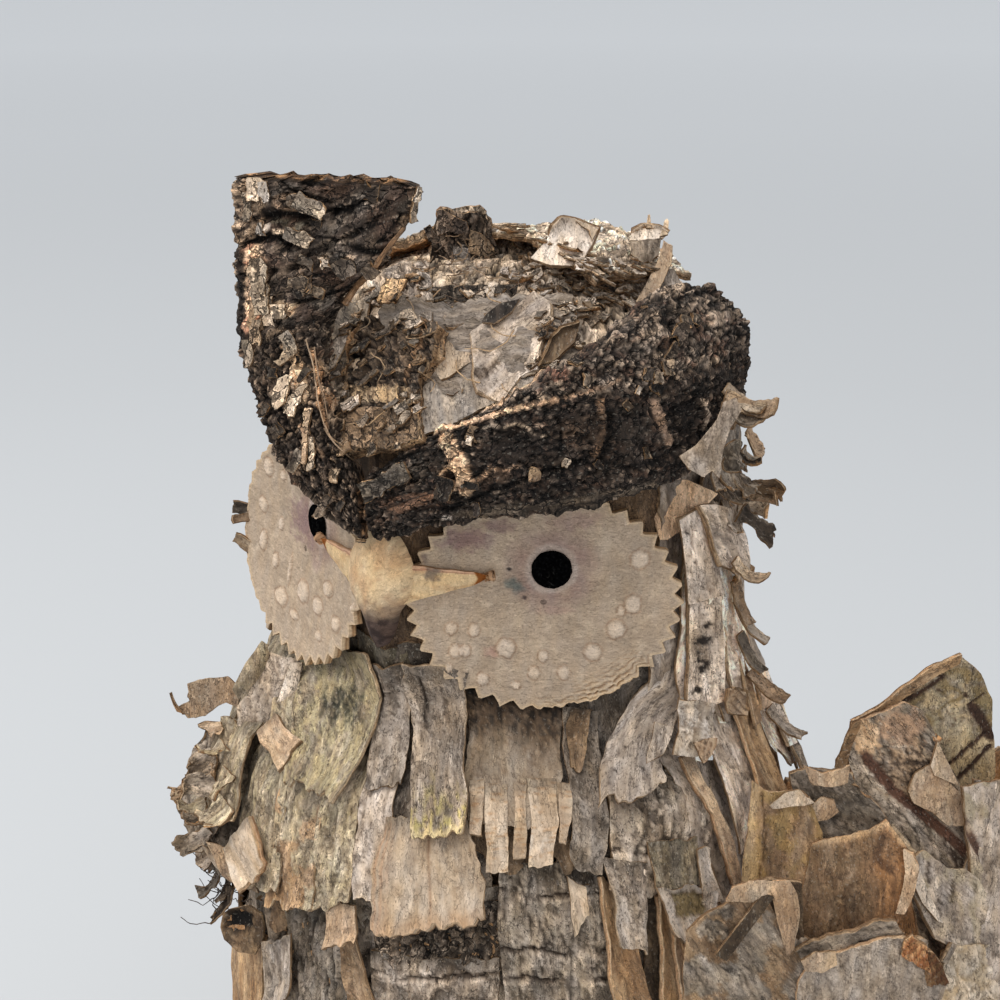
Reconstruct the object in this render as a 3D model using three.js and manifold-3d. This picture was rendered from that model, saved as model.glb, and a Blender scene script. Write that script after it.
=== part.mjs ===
// Birch-bark owl figurine: a standing horned owl about 400 mm tall.
// A bark-clad body and head carry overlapping rows of bark strips that lie like feathers,
// two serrated round face discs with dark pupils and a small beak between them, two thick
// rough-bark brow slabs that meet in a V above the beak and rise to the ears, a half-raised
// left wing of broad bark sheets, a folded right wing, a short tail and a low log-slice base.
//
// Frame: millimetres, +Z up, origin at the centre of the base's underside, the owl faces -Y,
// so its own left side is at +X. Angles named "th" turn about Z from the front (-Y) towards +X.
import * as THREE from "three";
import { mergeVertices } from "three/addons/utils/BufferGeometryUtils.js";
import Module from "manifold-3d";

const wasm = await Module();
wasm.setup();

// ---------------------------------------------------------------- driving dimensions, mm
const GAP = 0.35; // clearance kept between neighbouring pieces
const BASE_R = 84; // log slice
const BASE_H = 14;
const CORE_IN = 2.2; // the core lies this far below the strips' bedding surface
const DEPTH_SHARE = 0.96; // the body is a little less deep than wide
// body and head profile: height, radius of the bark-clad core
const PROFILE = [
  [14.35, 57], [30, 66], [70, 77], [120, 82], [170, 83], [200, 84], [215, 82], [230, 76],
  [245, 71], [260, 69], [290, 70], [320, 70], [338, 66], [351, 56], [360, 40], [365, 20],
];
const TOP_Z = 366;
const CROWN_TILT = 0.22; // the crown slopes down towards the brow
const FACE_TURN = 30; // each face disc is turned this far out from straight ahead, degrees
const FACE_D = 57.6; // distance of the flats under the discs from the axis
const TUCK_D = 53.2; // and of the recess under their lower edge, where the breast strips are tucked in
const FACE_Z = [224, 250, 265, 326, 330]; // neck, recess, flat's foot, flat's head, forehead
const DISC_A = 39.5; // half width of a face disc
const DISC_B = 34; // half height
const DISC_T = 2.4; // thickness
const DISC_D = 58.0; // back face of a disc, from the axis
const DISC_SIDE = 12.2; // disc centre, sideways from the foot of the flat's normal
const DISC_Z = 281.5;
const TEETH = 40; // saw-tooth edge of a disc
const TOOTH = 3.0;
const PUPIL_R = 5.7;
const PUPIL_T = 1.6;
const STRIP_T = 1.8; // bark strip thickness
const LEFT_PUPIL = [2.2, 10]; // offset from the disc centre: outwards, up
const RIGHT_PUPIL = [-9.4, 11.4];

// ---------------------------------------------------------------- colours
const mat = (hex, rough = 0.9) =>
  new THREE.MeshStandardMaterial({ color: hex, roughness: rough, metalness: 0 });
const PALE = mat(0xa39b90), GREY = mat(0x8d857a), OLIVE = mat(0x8f8a70), TAN = mat(0xb29470),
  DARK = mat(0x4a4038), FACE = mat(0xb5aa9b, 0.8), BLACK = mat(0x0b0c0d, 0.3),
  CREAM = mat(0xc9b596, 0.7), WOOD = mat(0xa98d68), CREST = mat(0x6b6256);

// ---------------------------------------------------------------- helpers
const rad = (d) => (d * Math.PI) / 180;
const lerp = (a, b, t) => a + (b - a) * t;
const clamp01 = (x) => Math.min(1, Math.max(0, x));

function radiusAt(z) {
  const p = PROFILE;
  if (z <= p[0][0]) return p[0][1];
  for (let i = 1; i < p.length; i++)
    if (z <= p[i][0])
      return lerp(p[i - 1][1], p[i][1], (z - p[i - 1][0]) / (p[i][0] - p[i - 1][0]));
  return p[p.length - 1][1];
}
// The body's surface: round, with two flats for the discs and a recess under each.
function surfaceRadius(th, z) {
  const round = radiusAt(z), a = Math.abs(rad(((th + 540) % 360) - 180)), turn = rad(FACE_TURN);
  const facing = Math.sin(a) * Math.sin(turn) + DEPTH_SHARE * Math.cos(a) * Math.cos(turn);
  if (facing < 0.4 || z <= FACE_Z[0] || z >= FACE_Z[4]) return round;
  const d = lerp(TUCK_D, FACE_D, clamp01((z - FACE_Z[1]) / (FACE_Z[2] - FACE_Z[1])));
  const w = Math.min(clamp01((z - FACE_Z[0]) / (FACE_Z[1] - FACE_Z[0])), clamp01((FACE_Z[4] - z) / (FACE_Z[4] - FACE_Z[3])));
  return lerp(round, Math.min(round, d / facing), w);
}
// A point at angle th (degrees), radius r and height z, with the crown's slope.
function around(th, r, z) {
  const a = rad(th);
  const x = r * Math.sin(a), y = -DEPTH_SHARE * r * Math.cos(a);
  const tilt = CROWN_TILT * y * clamp01((z - 320) / 43);
  return new THREE.Vector3(x, y, z + tilt);
}
// A repeatable wobble between -1 and 1.
const wobble = (a, b = 0) => Math.sin(a * 12.9898 + b * 78.233) * 0.6 + Math.sin(a * 4.7 + b * 3.1) * 0.4;

// Closed plate over a grid: f(u, v, w) with u, v in 0..1 and w 0 on the inner face, 1 on the outer.
function plate(nu, nv, f) {
  const pts = [], idx = [];
  const at = (i, j, w) => (w * (nv + 1) + j) * (nu + 1) + i;
  for (let w = 0; w < 2; w++)
    for (let j = 0; j <= nv; j++)
      for (let i = 0; i <= nu; i++) pts.push(...f(i / nu, j / nv, w).toArray());
  const quad = (a, b, c, d) => idx.push(a, b, c, a, c, d);
  for (let j = 0; j < nv; j++)
    for (let i = 0; i < nu; i++) {
      quad(at(i, j, 1), at(i + 1, j, 1), at(i + 1, j + 1, 1), at(i, j + 1, 1));
      quad(at(i, j, 0), at(i, j + 1, 0), at(i + 1, j + 1, 0), at(i + 1, j, 0));
    }
  for (let i = 0; i < nu; i++) {
    quad(at(i, 0, 0), at(i + 1, 0, 0), at(i + 1, 0, 1), at(i, 0, 1));
    quad(at(i, nv, 1), at(i + 1, nv, 1), at(i + 1, nv, 0), at(i, nv, 0));
  }
  for (let j = 0; j < nv; j++) {
    quad(at(0, j, 1), at(0, j + 1, 1), at(0, j + 1, 0), at(0, j, 0));
    quad(at(nu, j, 0), at(nu, j + 1, 0), at(nu, j + 1, 1), at(nu, j, 1));
  }
  const g = new THREE.BufferGeometry();
  g.setAttribute("position", new THREE.Float32BufferAttribute(pts, 3));
  g.setIndex(idx);
  return g;
}

function solidOf(geometry) {
  const g = new THREE.BufferGeometry();
  const src = geometry.index ? geometry.toNonIndexed() : geometry;
  g.setAttribute("position", src.getAttribute("position"));
  const m = mergeVertices(g, 1e-4);
  let s = new wasm.Manifold(new wasm.Mesh({
    numProp: 3,
    vertProperties: new Float32Array(m.attributes.position.array),
    triVerts: new Uint32Array(m.index.array),
  }));
  if (s.volume() < 0) {
    const t = new Uint32Array(m.index.array);
    for (let i = 0; i < t.length; i += 3) [t[i], t[i + 1]] = [t[i + 1], t[i]];
    s = new wasm.Manifold(new wasm.Mesh({
      numProp: 3, vertProperties: new Float32Array(m.attributes.position.array), triVerts: t,
    }));
  }
  return s;
}
function geometryOf(solid) {
  const m = solid.getMesh(), n = m.numProp;
  const v = new Float32Array(m.numVert * 3);
  for (let i = 0; i < m.numVert; i++) v.set(m.vertProperties.subarray(i * n, i * n + 3), i * 3);
  const g = new THREE.BufferGeometry();
  g.setAttribute("position", new THREE.BufferAttribute(v, 3));
  g.setIndex(new THREE.BufferAttribute(new Uint32Array(m.triVerts), 1));
  g.computeVertexNormals();
  return g;
}
// The largest of a solid's separate bodies: slivers left by a cut are dropped.
function largest(solid) {
  const parts = solid.decompose();
  return parts.reduce((a, b) => (b.volume() > a.volume() ? b : a), parts[0]);
}
const boxesMeet = (a, b) => {
  const p = a.boundingBox(), q = b.boundingBox();
  return [0, 1, 2].every((k) => p.min[k] <= q.max[k] && q.min[k] <= p.max[k]);
};

const owl = new THREE.Group();
const keepouts = []; // every placed piece, grown by the gap
// Adds a named mesh. body(g) makes the shape grown by g; the piece is trimmed by what is already there.
function place(name, body, material, trim = true) {
  let s = solidOf(body(0));
  if (trim)
    for (const k of keepouts) if (boxesMeet(s, k)) s = s.subtract(k);
  s = largest(largest(s).simplify(0.1));
  const grown = solidOf(body(GAP));
  keepouts.push(grown);
  const mesh = new THREE.Mesh(geometryOf(s), material);
  mesh.name = name;
  owl.add(mesh);
  return s;
}

// ---------------------------------------------------------------- body and base
function bodyGeometry(g) {
  const SEG = 32, pts = [], idx = [];
  const heights = [14.35, 30, 70, 120, 170, 200, 215, ...FACE_Z.slice(0, 3), 295, ...FACE_Z.slice(3), 338, 351, 360, 365];
  const rings = heights.map((z, i) => (i === 0 ? z - g : z));
  pts.push(0, 0, rings[0]);
  for (const z of rings)
    for (let i = 0; i < SEG; i++) {
      const th = (i * 360) / SEG;
      pts.push(...around(th, surfaceRadius(th, z) - CORE_IN * clamp01((FACE_Z[2] - z) / 4) + g, z).toArray());
    }
  pts.push(...around(0, 0, TOP_Z + g).toArray());
  const at = (j, i) => 1 + j * SEG + (i % SEG), top = 1 + rings.length * SEG;
  for (let i = 0; i < SEG; i++) {
    idx.push(0, at(0, i), at(0, i + 1));
    for (let j = 0; j < rings.length - 1; j++)
      idx.push(at(j, i), at(j + 1, i), at(j + 1, i + 1), at(j, i), at(j + 1, i + 1), at(j, i + 1));
    idx.push(top, at(rings.length - 1, i + 1), at(rings.length - 1, i));
  }
  const geo = new THREE.BufferGeometry();
  geo.setAttribute("position", new THREE.Float32BufferAttribute(pts, 3));
  geo.setIndex(idx);
  return geo;
}

function baseGeometry(g) {
  const geo = new THREE.CylinderGeometry(BASE_R + g, BASE_R - 1.5 + g, BASE_H + g, 36, 1);
  geo.rotateX(Math.PI / 2);
  geo.translate(0, 0, (BASE_H + g) / 2);
  return geo;
}

// ---------------------------------------------------------------- face
function toFace(geo, side) {
  // local: x outwards along the disc, y up, z out of the disc, z = 0 at the disc's back
  const m = new THREE.Matrix4();
  const a = rad(side * FACE_TURN);
  const n = new THREE.Vector3(Math.sin(a), -Math.cos(a), 0);
  const out = new THREE.Vector3(side * Math.cos(a), side * Math.sin(a), 0);
  const up = new THREE.Vector3(0, 0, 1);
  const centre = n.clone().multiplyScalar(DISC_D).addScaledVector(out, DISC_SIDE);
  centre.z = DISC_Z;
  m.makeBasis(out, up, n).setPosition(centre);
  geo.applyMatrix4(m);
  return geo;
}
function discGeometry(side, g) {
  const outline = [];
  for (let k = 0; k < TEETH; k++) {
    const a0 = (k / TEETH) * 2 * Math.PI, a1 = ((k + 0.5) / TEETH) * 2 * Math.PI;
    const tip = g * 1.2 + 0.5 * wobble(k, side);
    outline.push(new THREE.Vector2((DISC_A + tip) * Math.cos(a0), (DISC_B + tip) * Math.sin(a0)));
    outline.push(new THREE.Vector2((DISC_A + tip - TOOTH) * Math.cos(a1), (DISC_B + tip - TOOTH) * Math.sin(a1)));
  }
  const geo = new THREE.ExtrudeGeometry(new THREE.Shape(outline), { depth: DISC_T + 2 * g, bevelEnabled: false });
  geo.translate(0, 0, -g);
  return toFace(geo, side);
}
function pupilGeometry(side, at, g) {
  const profile = [new THREE.Vector2(0, -g), new THREE.Vector2(PUPIL_R + g, -g),
    new THREE.Vector2(PUPIL_R + g, 0.5 + g), new THREE.Vector2(PUPIL_R * 0.7 + g, PUPIL_T * 0.85 + g),
    new THREE.Vector2(0, PUPIL_T + g)];
  const geo = new THREE.LatheGeometry(profile, 20);
  geo.rotateX(Math.PI / 2);
  geo.translate(at[0], at[1], DISC_T + 0.4);
  return toFace(geo, side);
}
// The beak: a rounded ridge between the discs, its tip turned down, with a thin flare over each disc.
const BEAK = [ // height, half width, depth in front of the face ridge
  [303, 4, 3], [299, 7.5, 5], [294, 10, 7], [288, 10.8, 8.2], [283, 9.2, 8.2], [279, 5.8, 7.4],
  [274, 4.4, 6.2], [270, 3.2, 4.8], [267.6, 1.3, 3]];
const RIDGE_Y = -66.7;
const FLARE = [[-44, -1.2], [-20, 5.8], [-14, 8.6], [-20, 9.8], [-44, 12.6]];
const FLARE_T = 1.6;
function beakGeometry(g) {
  const N = 8, pts = [], idx = [], n = BEAK.length - 1;
  BEAK.forEach(([z, w, d], j) => {
    const zz = z + (j === 0 ? g : j === n ? -g : 0);
    for (let i = 0; i < N; i++) {
      const a = (i / N) * 2 * Math.PI, c = Math.cos(a), s = Math.sin(a);
      pts.push((w + g) * s, RIDGE_Y - (c > 0 ? (d + g) * c : g * c) + Math.abs(s) * 1.2, zz);
    }
  });
  const at = (j, i) => j * N + (i % N), lo = pts.length / 3, hi = lo + 1;
  pts.push(0, RIDGE_Y - 1.4, BEAK[0][0] + 0.6 + g, 0, RIDGE_Y - 1.6, BEAK[n][0] - 0.8 - g);
  for (let i = 0; i < N; i++) {
    idx.push(lo, at(0, i), at(0, i + 1));
    for (let j = 0; j < n; j++)
      idx.push(at(j, i), at(j + 1, i), at(j + 1, i + 1), at(j, i), at(j + 1, i + 1), at(j, i + 1));
    idx.push(hi, at(n, i + 1), at(n, i));
  }
  const geo = new THREE.BufferGeometry();
  geo.setAttribute("position", new THREE.Float32BufferAttribute(pts, 3));
  geo.setIndex(idx);
  let s = solidOf(geo);
  for (const side of [-1, 1]) {
    const mid = new THREE.Vector2(-30, 6);
    const shape = new THREE.Shape(FLARE.map(([x, y]) => {
      const p = new THREE.Vector2(x, y), d = p.clone().sub(mid);
      return p.addScaledVector(d.normalize(), g);
    }));
    const flare = new THREE.ExtrudeGeometry(shape, { depth: FLARE_T + 2 * g, bevelEnabled: false });
    flare.translate(0, 0, DISC_T + 0.35 - g);
    s = s.add(solidOf(toFace(flare, side)));
  }
  return geometryOf(s);
}

// ---------------------------------------------------------------- brow slabs
// Stations along a slab: outer edge (th, r, z), inner edge (th, r, z), thickness. Catmull-Rom between them.
const LEFT_BROW = [
  [[4, 78, 304], [1, 73, 322], 8], [[18, 80, 311], [17, 75, 336], 9], [[36, 82, 315], [36, 76, 349], 10],
  [[55, 83, 318], [55, 75, 361], 11], [[72, 83, 323], [72, 71, 369], 11], [[86, 81, 335], [88, 69, 367], 9.5],
  [[94, 78, 345], [97, 71, 360], 7]];
const RIGHT_BROW = [
  [[1, 78, 303], [-3, 72, 321], 8], [[-13, 81, 315], [-9, 72, 331], 8.5], [[-25, 82, 331], [-15, 70, 344], 9],
  [[-33, 82, 351], [-18, 64, 360], 9], [[-34, 81, 374], [-8, 52, 375], 8], [[-33, 80, 396], [0, 43, 394], 6]];
function station(list, s) {
  const n = list.length - 1, k = Math.min(n - 1, Math.floor(s * n)), t = s * n - k;
  const pick = (i) => list[Math.min(n, Math.max(0, i))];
  const cr = (a, b, c, d) => 0.5 * (2 * b + (c - a) * t + (2 * a - 5 * b + 4 * c - d) * t * t + (3 * b - a - 3 * c + d) * t ** 3);
  const [a, b, c, d] = [pick(k - 1), pick(k), pick(k + 1), pick(k + 2)];
  const flat = (e) => {
    const q = [a, b, c, d].map((st) => {
      const v = st[e], w = rad(v[0]);
      return [v[1] * Math.sin(w), -v[1] * Math.cos(w), v[2]];
    });
    return new THREE.Vector3(...[0, 1, 2].map((m) => cr(q[0][m], q[1][m], q[2][m], q[3][m])));
  };
  return [flat(0), flat(1), cr(a[2], b[2], c[2], d[2])];
}
function browGeometry(list, turn, g, nv = 12) {
  return plate(4, nv, (u, v, w) => {
    const [lo, hi, t] = station(list, v);
    const e = 1e-3, [l2, h2] = station(list, v > 0.5 ? v - e : v + e);
    const along = new THREE.Vector3().subVectors(l2.lerp(h2, u), lo.clone().lerp(hi, u)).multiplyScalar(v > 0.5 ? -1 : 1);
    const across = new THREE.Vector3().subVectors(hi, lo);
    const uu = u + (g ? (u - 0.5) * 2 * (g / across.length()) : 0);
    const n = along.cross(across).normalize().multiplyScalar(turn);
    const crown = 4 * u * (1 - u) * 3; // the slab bows outwards across its width
    const p = lo.clone().addScaledVector(across, uu);
    const ends = v === 0 ? -g : v === 1 ? g : 0;
    const dir = new THREE.Vector3().subVectors(h2, l2).cross(n).normalize();
    p.addScaledVector(dir, ends * turn);
    return p.addScaledVector(n, crown + (w ? g : -t - g));
  });
}

// ---------------------------------------------------------------- bark strips
// Height that the head of a breast strip at angle th reaches behind a face disc's lower edge.
function discFloor(th, r = 71) {
  const x = r * Math.sin(rad(Math.abs(th) - FACE_TURN)) - DISC_SIDE;
  return Math.abs(x) >= DISC_A ? 400 : DISC_Z - DISC_B * Math.sqrt(1 - (x / DISC_A) ** 2) + 5;
}
// A strip hangs from z0 to z1 at angle th, lying on the body and lifting off it towards its foot.
function stripGeometry(o, g, nu, nv) {
  const { th, z0, z1, w0, w1, skew = 0, in0, in1, t = STRIP_T, jag = 5, flat = 0.25 } = o;
  return plate(nu, nv, (u, v, w) => {
    const s = 2 * u - 1;
    const end = jag * wobble(u * 3.1 + th, z0) * v * v;
    const vv = v + (v === 0 ? -g : v === 1 ? g : 0) / Math.abs(z1 - z0);
    const here = th + (s * lerp(w0, w1, 0) * 90) / (Math.PI * 71);
    const head = z0 > 300 ? z0 : Math.min(z0, discFloor(here > 180 ? here - 360 : here));
    const z = lerp(head, z1, vv) + end;
    const half = lerp(w0, w1, vv) / 2 + g + 0.8 * wobble(v * 5 + th, 1);
    const turned = th + skew * v + ((s * half) / radiusAt(z)) * (180 / Math.PI);
    const r = surfaceRadius(turned, z) + lerp(in0, in1, clamp01(vv) ** 1.5);
    const lift = flat * (s * half) ** 2 / (2 * r);
    return around(turned, r + lift + (w ? t + g : -g), z);
  });
}
// Two laying depths, so that neighbours overlap at their edges: height off the body at the strip's head and foot.
const A = { in0: 0.9, in1: 6.0 }, B = { in0: 3.3, in1: 9.4 };
const RUFF = { in0: 3.3, in1: 14 }, RUFF_A = { in0: 0.9, in1: 11 };
const NECK = [ // th, depth, width at head and foot: beside the face discs and round the back of the head
  [78, A, 24, 28, PALE], [95, B, 32, 36, PALE], [117, A, 32, 36, GREY], [143, B, 46, 50, PALE],
  [171, A, 46, 50, GREY], [201, B, 48, 52, PALE], [231, A, 46, 50, GREY], [259, B, 44, 46, PALE],
  [282, A, 26, 28, PALE]];
const MANTLE = [ // th, depth, z0, z1, widths, skew
  [-62, RUFF, 256, 177, 30, 38, -2, OLIVE], [-41, A, 256, 174, 26, 35, 2, OLIVE], [-25, B, 262, 182, 24, 32, -4, OLIVE],
  [-6, A, 266, 188, 28, 32, -4, OLIVE], [16, B, 268, 192, 30, 36, -3, GREY], [32, A, 256, 212, 26, 30, 0, CREAM],
  [46, B, 258, 206, 18, 20, 1, GREY], [60, A, 262, 184, 28, 32, 0, PALE], [80, B, 262, 188, 32, 36, 0, PALE],
  [103, A, 260, 190, 32, 40, 0, GREY], [129, B, 258, 184, 40, 48, 0, PALE], [157, A, 258, 182, 44, 50, 0, GREY],
  [185, B, 258, 184, 44, 50, 0, PALE], [214, A, 258, 182, 44, 50, 0, GREY], [242, B, 258, 180, 44, 52, 0, PALE],
  [271, RUFF_A, 258, 178, 38, 46, 0, OLIVE]];
const FLANK = [ // the first one is the folded right wing
  [-74, RUFF, 84, 70, WOOD], [-21, A, 70, 70, GREY], [24, B, 74, 74, PALE], [66, A, 68, 68, GREY],
  [108, B, 74, 74, GREY], [152, A, 70, 70, PALE], [197, B, 76, 76, GREY], [243, A, 74, 74, PALE]];
const SKIRT = [[-34, A, 66, 60, PALE], [16, B, 74, 66, GREY], [66, A, 66, 60, PALE], [115, B, 72, 64, GREY],
  [166, A, 68, 62, PALE], [217, B, 74, 66, GREY], [270, A, 68, 62, PALE]];

// ---------------------------------------------------------------- free sheets
// A sheet between four corners (top inner, top outer, bottom outer, bottom inner), bowed by "bulge".
function sheetGeometry(c, bulge, t, g, n = 5) {
  const [p, q, r, s] = c.map((a) => new THREE.Vector3(...a));
  const up = new THREE.Vector3().subVectors(p, s).add(new THREE.Vector3().subVectors(q, r));
  const side = new THREE.Vector3().subVectors(q, p).add(new THREE.Vector3().subVectors(r, s));
  const nrm = new THREE.Vector3().crossVectors(side, up).normalize();
  const ku = g / side.length() * 2, kv = g / up.length() * 2;
  return plate(n, n, (u, v, w) => {
    const uu = u + (u === 0 ? -ku : u === 1 ? ku : 0), vv = v + (v === 0 ? -kv : v === 1 ? kv : 0);
    const top = p.clone().lerp(q, uu), bot = s.clone().lerp(r, uu);
    const x = top.lerp(bot, vv);
    const bow = bulge * (1 - (2 * u - 1) ** 2) * (0.6 + 0.4 * (1 - (2 * v - 1) ** 2));
    return x.addScaledVector(nrm, bow + (w ? t + g : -g));
  });
}

// ================================================================ assembly
place("bark_clad_body", bodyGeometry, GREY, false);
place("log_slice_base", baseGeometry, WOOD, false);
place("left_face_disc", (g) => discGeometry(1, g), FACE);
place("right_face_disc", (g) => discGeometry(-1, g), FACE);
place("left_pupil", (g) => pupilGeometry(1, LEFT_PUPIL, g), BLACK);
place("right_pupil", (g) => pupilGeometry(-1, RIGHT_PUPIL, g), BLACK);
place("beak", beakGeometry, CREAM);
place("left_brow_slab", (g) => browGeometry(LEFT_BROW, 1, g, 12), DARK);
place("right_brow_slab", (g) => browGeometry(RIGHT_BROW, -1, g, 10), DARK);

// crown: chips and sheets that lie on the top of the head between the brows
place("forehead_sheet", (g) => sheetGeometry(
  [[-16, -40, 357], [34, -18, 362], [50, -40, 348], [6, -62, 337]], 2.5, 2.2, g, 4), PALE);
place("crown_patch", (g) => sheetGeometry(
  [[4, 50, 366], [50, 26, 361], [38, -14, 366], [-14, 6, 372]], 4, 4, g, 4), CREST);
place("crown_tuft", (g) => sheetGeometry(
  [[-17, -4, 379], [-1, 6, 382], [2, 4, 364], [-20, -8, 361]], 3, 6, g, 3), DARK);
place("crown_back_patch", (g) => sheetGeometry(
  [[-56, 20, 352], [-4, 56, 360], [-18, 8, 371], [-44, -10, 361]], 3, 4, g, 4), CREST);

NECK.forEach(([th, layer, w0, w1, m], i) =>
  place(`neck_strip_${i + 1}`, (g) => stripGeometry({ th, z0: 322, z1: 242, w0, w1, ...layer }, g, i > 2 && i < 8 ? 4 : 2, 3), m));
MANTLE.forEach(([th, layer, z0, z1, w0, w1, skew, m], i) =>
  place(i === 5 ? "breast_fringe" : `mantle_strip_${i + 1}`,
    (g) => stripGeometry({ th, z0, z1, w0, w1, skew, ...layer, jag: i === 5 ? 2 : 5 }, g, 3, i === 5 ? 3 : 4), m));
// left wing, half raised: broad sheets standing out from the shoulder
const wing = (name, corners, bulge, thick, material) =>
  place(`left_wing_${name}`, (g) => sheetGeometry(corners, bulge, thick, g, 3), material);
wing("rear_panel", [[123, 45, 235], [135.2, 55, 245.4], [146, 68, 199], [128, 50, 190]], 3, 3, OLIVE);
wing("front_panel", [[109, 21, 229], [127, 40.5, 237.4], [157, 46, 165], [136, 22, 150]], 4, 3, TAN);
wing("shoulder_sheet", [[93, -17, 225], [133, -9.7, 220.3], [140, -2, 188], [101, -34, 184]], 7, 3, TAN);
wing("lower_sheet", [[91, -46, 192], [147, -6, 184], [149, -5, 96], [95, -39, 112]], 7, 3, GREY);
wing("outer_sheet", [[142, 47, 208], [164, 76, 200], [168, 70, 92], [153, 14, 94]], 6, 3, PALE);
wing("back_sheet", [[152, 84, 204], [81, 48, 190], [79, 54, 112], [158, 84, 100]], 8, 3, GREY);
FLANK.forEach(([th, layer, w0, w1, m], i) =>
  place(i === 0 ? "right_wing_folded" : `flank_plate_${i}`,
    (g) => stripGeometry({ th, z0: i === 0 ? 196 : 204, z1: i === 0 ? 62 : 104, w0, w1, ...layer }, g, 4, 3), m));
SKIRT.forEach(([th, layer, w0, w1, m], i) =>
  place(`skirt_plate_${i + 1}`, (g) => stripGeometry({ th, z0: 122, z1: 22, w0, w1, ...layer, jag: 3 }, g, 3, 3), m));
place("tail_sheet", (g) => sheetGeometry(
  [[-26, 92, 132], [26, 92, 132], [30, 122, 40], [-30, 122, 40]], 6, 3.4, g, 4), OLIVE);

export default owl;
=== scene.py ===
"""Birch-bark owl figurine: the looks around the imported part. Millimetres are scaled to metres when a mesh is made."""
import math
import bpy
import numpy as np
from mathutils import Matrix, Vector


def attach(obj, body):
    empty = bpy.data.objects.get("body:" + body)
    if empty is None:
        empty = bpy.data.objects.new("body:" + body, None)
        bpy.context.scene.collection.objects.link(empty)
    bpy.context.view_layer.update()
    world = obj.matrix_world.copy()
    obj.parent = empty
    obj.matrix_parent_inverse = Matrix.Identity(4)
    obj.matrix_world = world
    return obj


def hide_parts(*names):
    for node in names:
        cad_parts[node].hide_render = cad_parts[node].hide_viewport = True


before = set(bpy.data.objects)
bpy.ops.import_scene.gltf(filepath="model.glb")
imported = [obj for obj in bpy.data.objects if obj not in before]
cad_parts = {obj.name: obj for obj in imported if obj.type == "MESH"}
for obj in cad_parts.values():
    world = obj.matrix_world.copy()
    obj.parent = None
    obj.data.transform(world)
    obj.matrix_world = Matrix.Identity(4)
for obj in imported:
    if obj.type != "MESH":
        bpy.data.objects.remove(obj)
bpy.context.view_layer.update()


# ------------------------------------------------------------------ camera
AZ, EL, DIST, LOOK = math.radians(30), math.radians(20), 531.0, np.array([0.0, 0.0, 290.0])
TOWARD = np.array([math.sin(AZ) * math.cos(EL), -math.cos(AZ) * math.cos(EL), math.sin(EL)])
RIGHT = np.array([math.cos(AZ), math.sin(AZ), 0.0])
UP = np.cross(TOWARD, RIGHT)
EYE = LOOK + TOWARD * DIST
cam_data = bpy.data.cameras.new("camera")
cam = bpy.data.objects.new("camera", cam_data)
bpy.context.scene.collection.objects.link(cam)
cam.location = Vector(EYE / 1000)
cam.rotation_euler = Vector(-TOWARD).to_track_quat("-Z", "Y").to_euler()
cam_data.lens = 61.2
cam_data.sensor_width = 36
cam_data.clip_start = 0.01
cam_data.clip_end = 100
bpy.context.scene.camera = cam


# ------------------------------------------------------------------ small maths
def lerp(a, b, t):
    return a + (b - a) * t


def clamp01(x):
    return np.clip(x, 0.0, 1.0)


def ss(a, b, x):
    t = clamp01((x - a) / (b - a))
    return t * t * (3 - 2 * t)


def unit(v):
    return v / np.maximum(np.linalg.norm(v, axis=-1, keepdims=True), 1e-9)


_R = np.random.default_rng(20)
_P = _R.permutation(1024)
_P = np.concatenate([_P, _P])
_A = _R.random(1024) * 2 * math.pi
_GX, _GY = np.cos(_A), np.sin(_A)
_V = _R.random(1024)


def n2(x, y, seed=0):
    """Gradient noise, about -1 to 1."""
    x, y = np.broadcast_arrays(np.asarray(x, float) + seed * 37.17, np.asarray(y, float) + seed * 11.71)
    xi, yi = np.floor(x).astype(np.int64), np.floor(y).astype(np.int64)
    fx, fy = x - xi, y - yi
    u = fx * fx * fx * (fx * (fx * 6 - 15) + 10)
    v = fy * fy * fy * (fy * (fy * 6 - 15) + 10)
    a, b = _P[xi & 1023], _P[(xi + 1) & 1023]
    y0, y1 = yi & 1023, (yi + 1) & 1023
    h00, h10, h01, h11 = _P[a + y0], _P[b + y0], _P[a + y1], _P[b + y1]
    g00 = _GX[h00] * fx + _GY[h00] * fy
    g10 = _GX[h10] * (fx - 1) + _GY[h10] * fy
    g01 = _GX[h01] * fx + _GY[h01] * (fy - 1)
    g11 = _GX[h11] * (fx - 1) + _GY[h11] * (fy - 1)
    return 1.5 * lerp(lerp(g00, g10, u), lerp(g01, g11, u), v)


def fbm(x, y, octaves=4, seed=0, gain=0.5):
    out, amp, f = 0.0, 1.0, 1.0
    for i in range(octaves):
        out = out + amp * n2(x * f, y * f, seed + 7 * i)
        amp *= gain
        f *= 2.03
    return out


def ridge(x, y, octaves=4, seed=0, gain=0.5):
    """Sharp crests: 0 in the valleys, about 1 on a crest."""
    out, amp, f, total = 0.0, 1.0, 1.0, 0.0
    for i in range(octaves):
        out = out + amp * (1 - np.abs(n2(x * f, y * f, seed + 5 * i))) ** 2
        total += amp
        amp *= gain
        f *= 2.1
    return out / total


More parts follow.
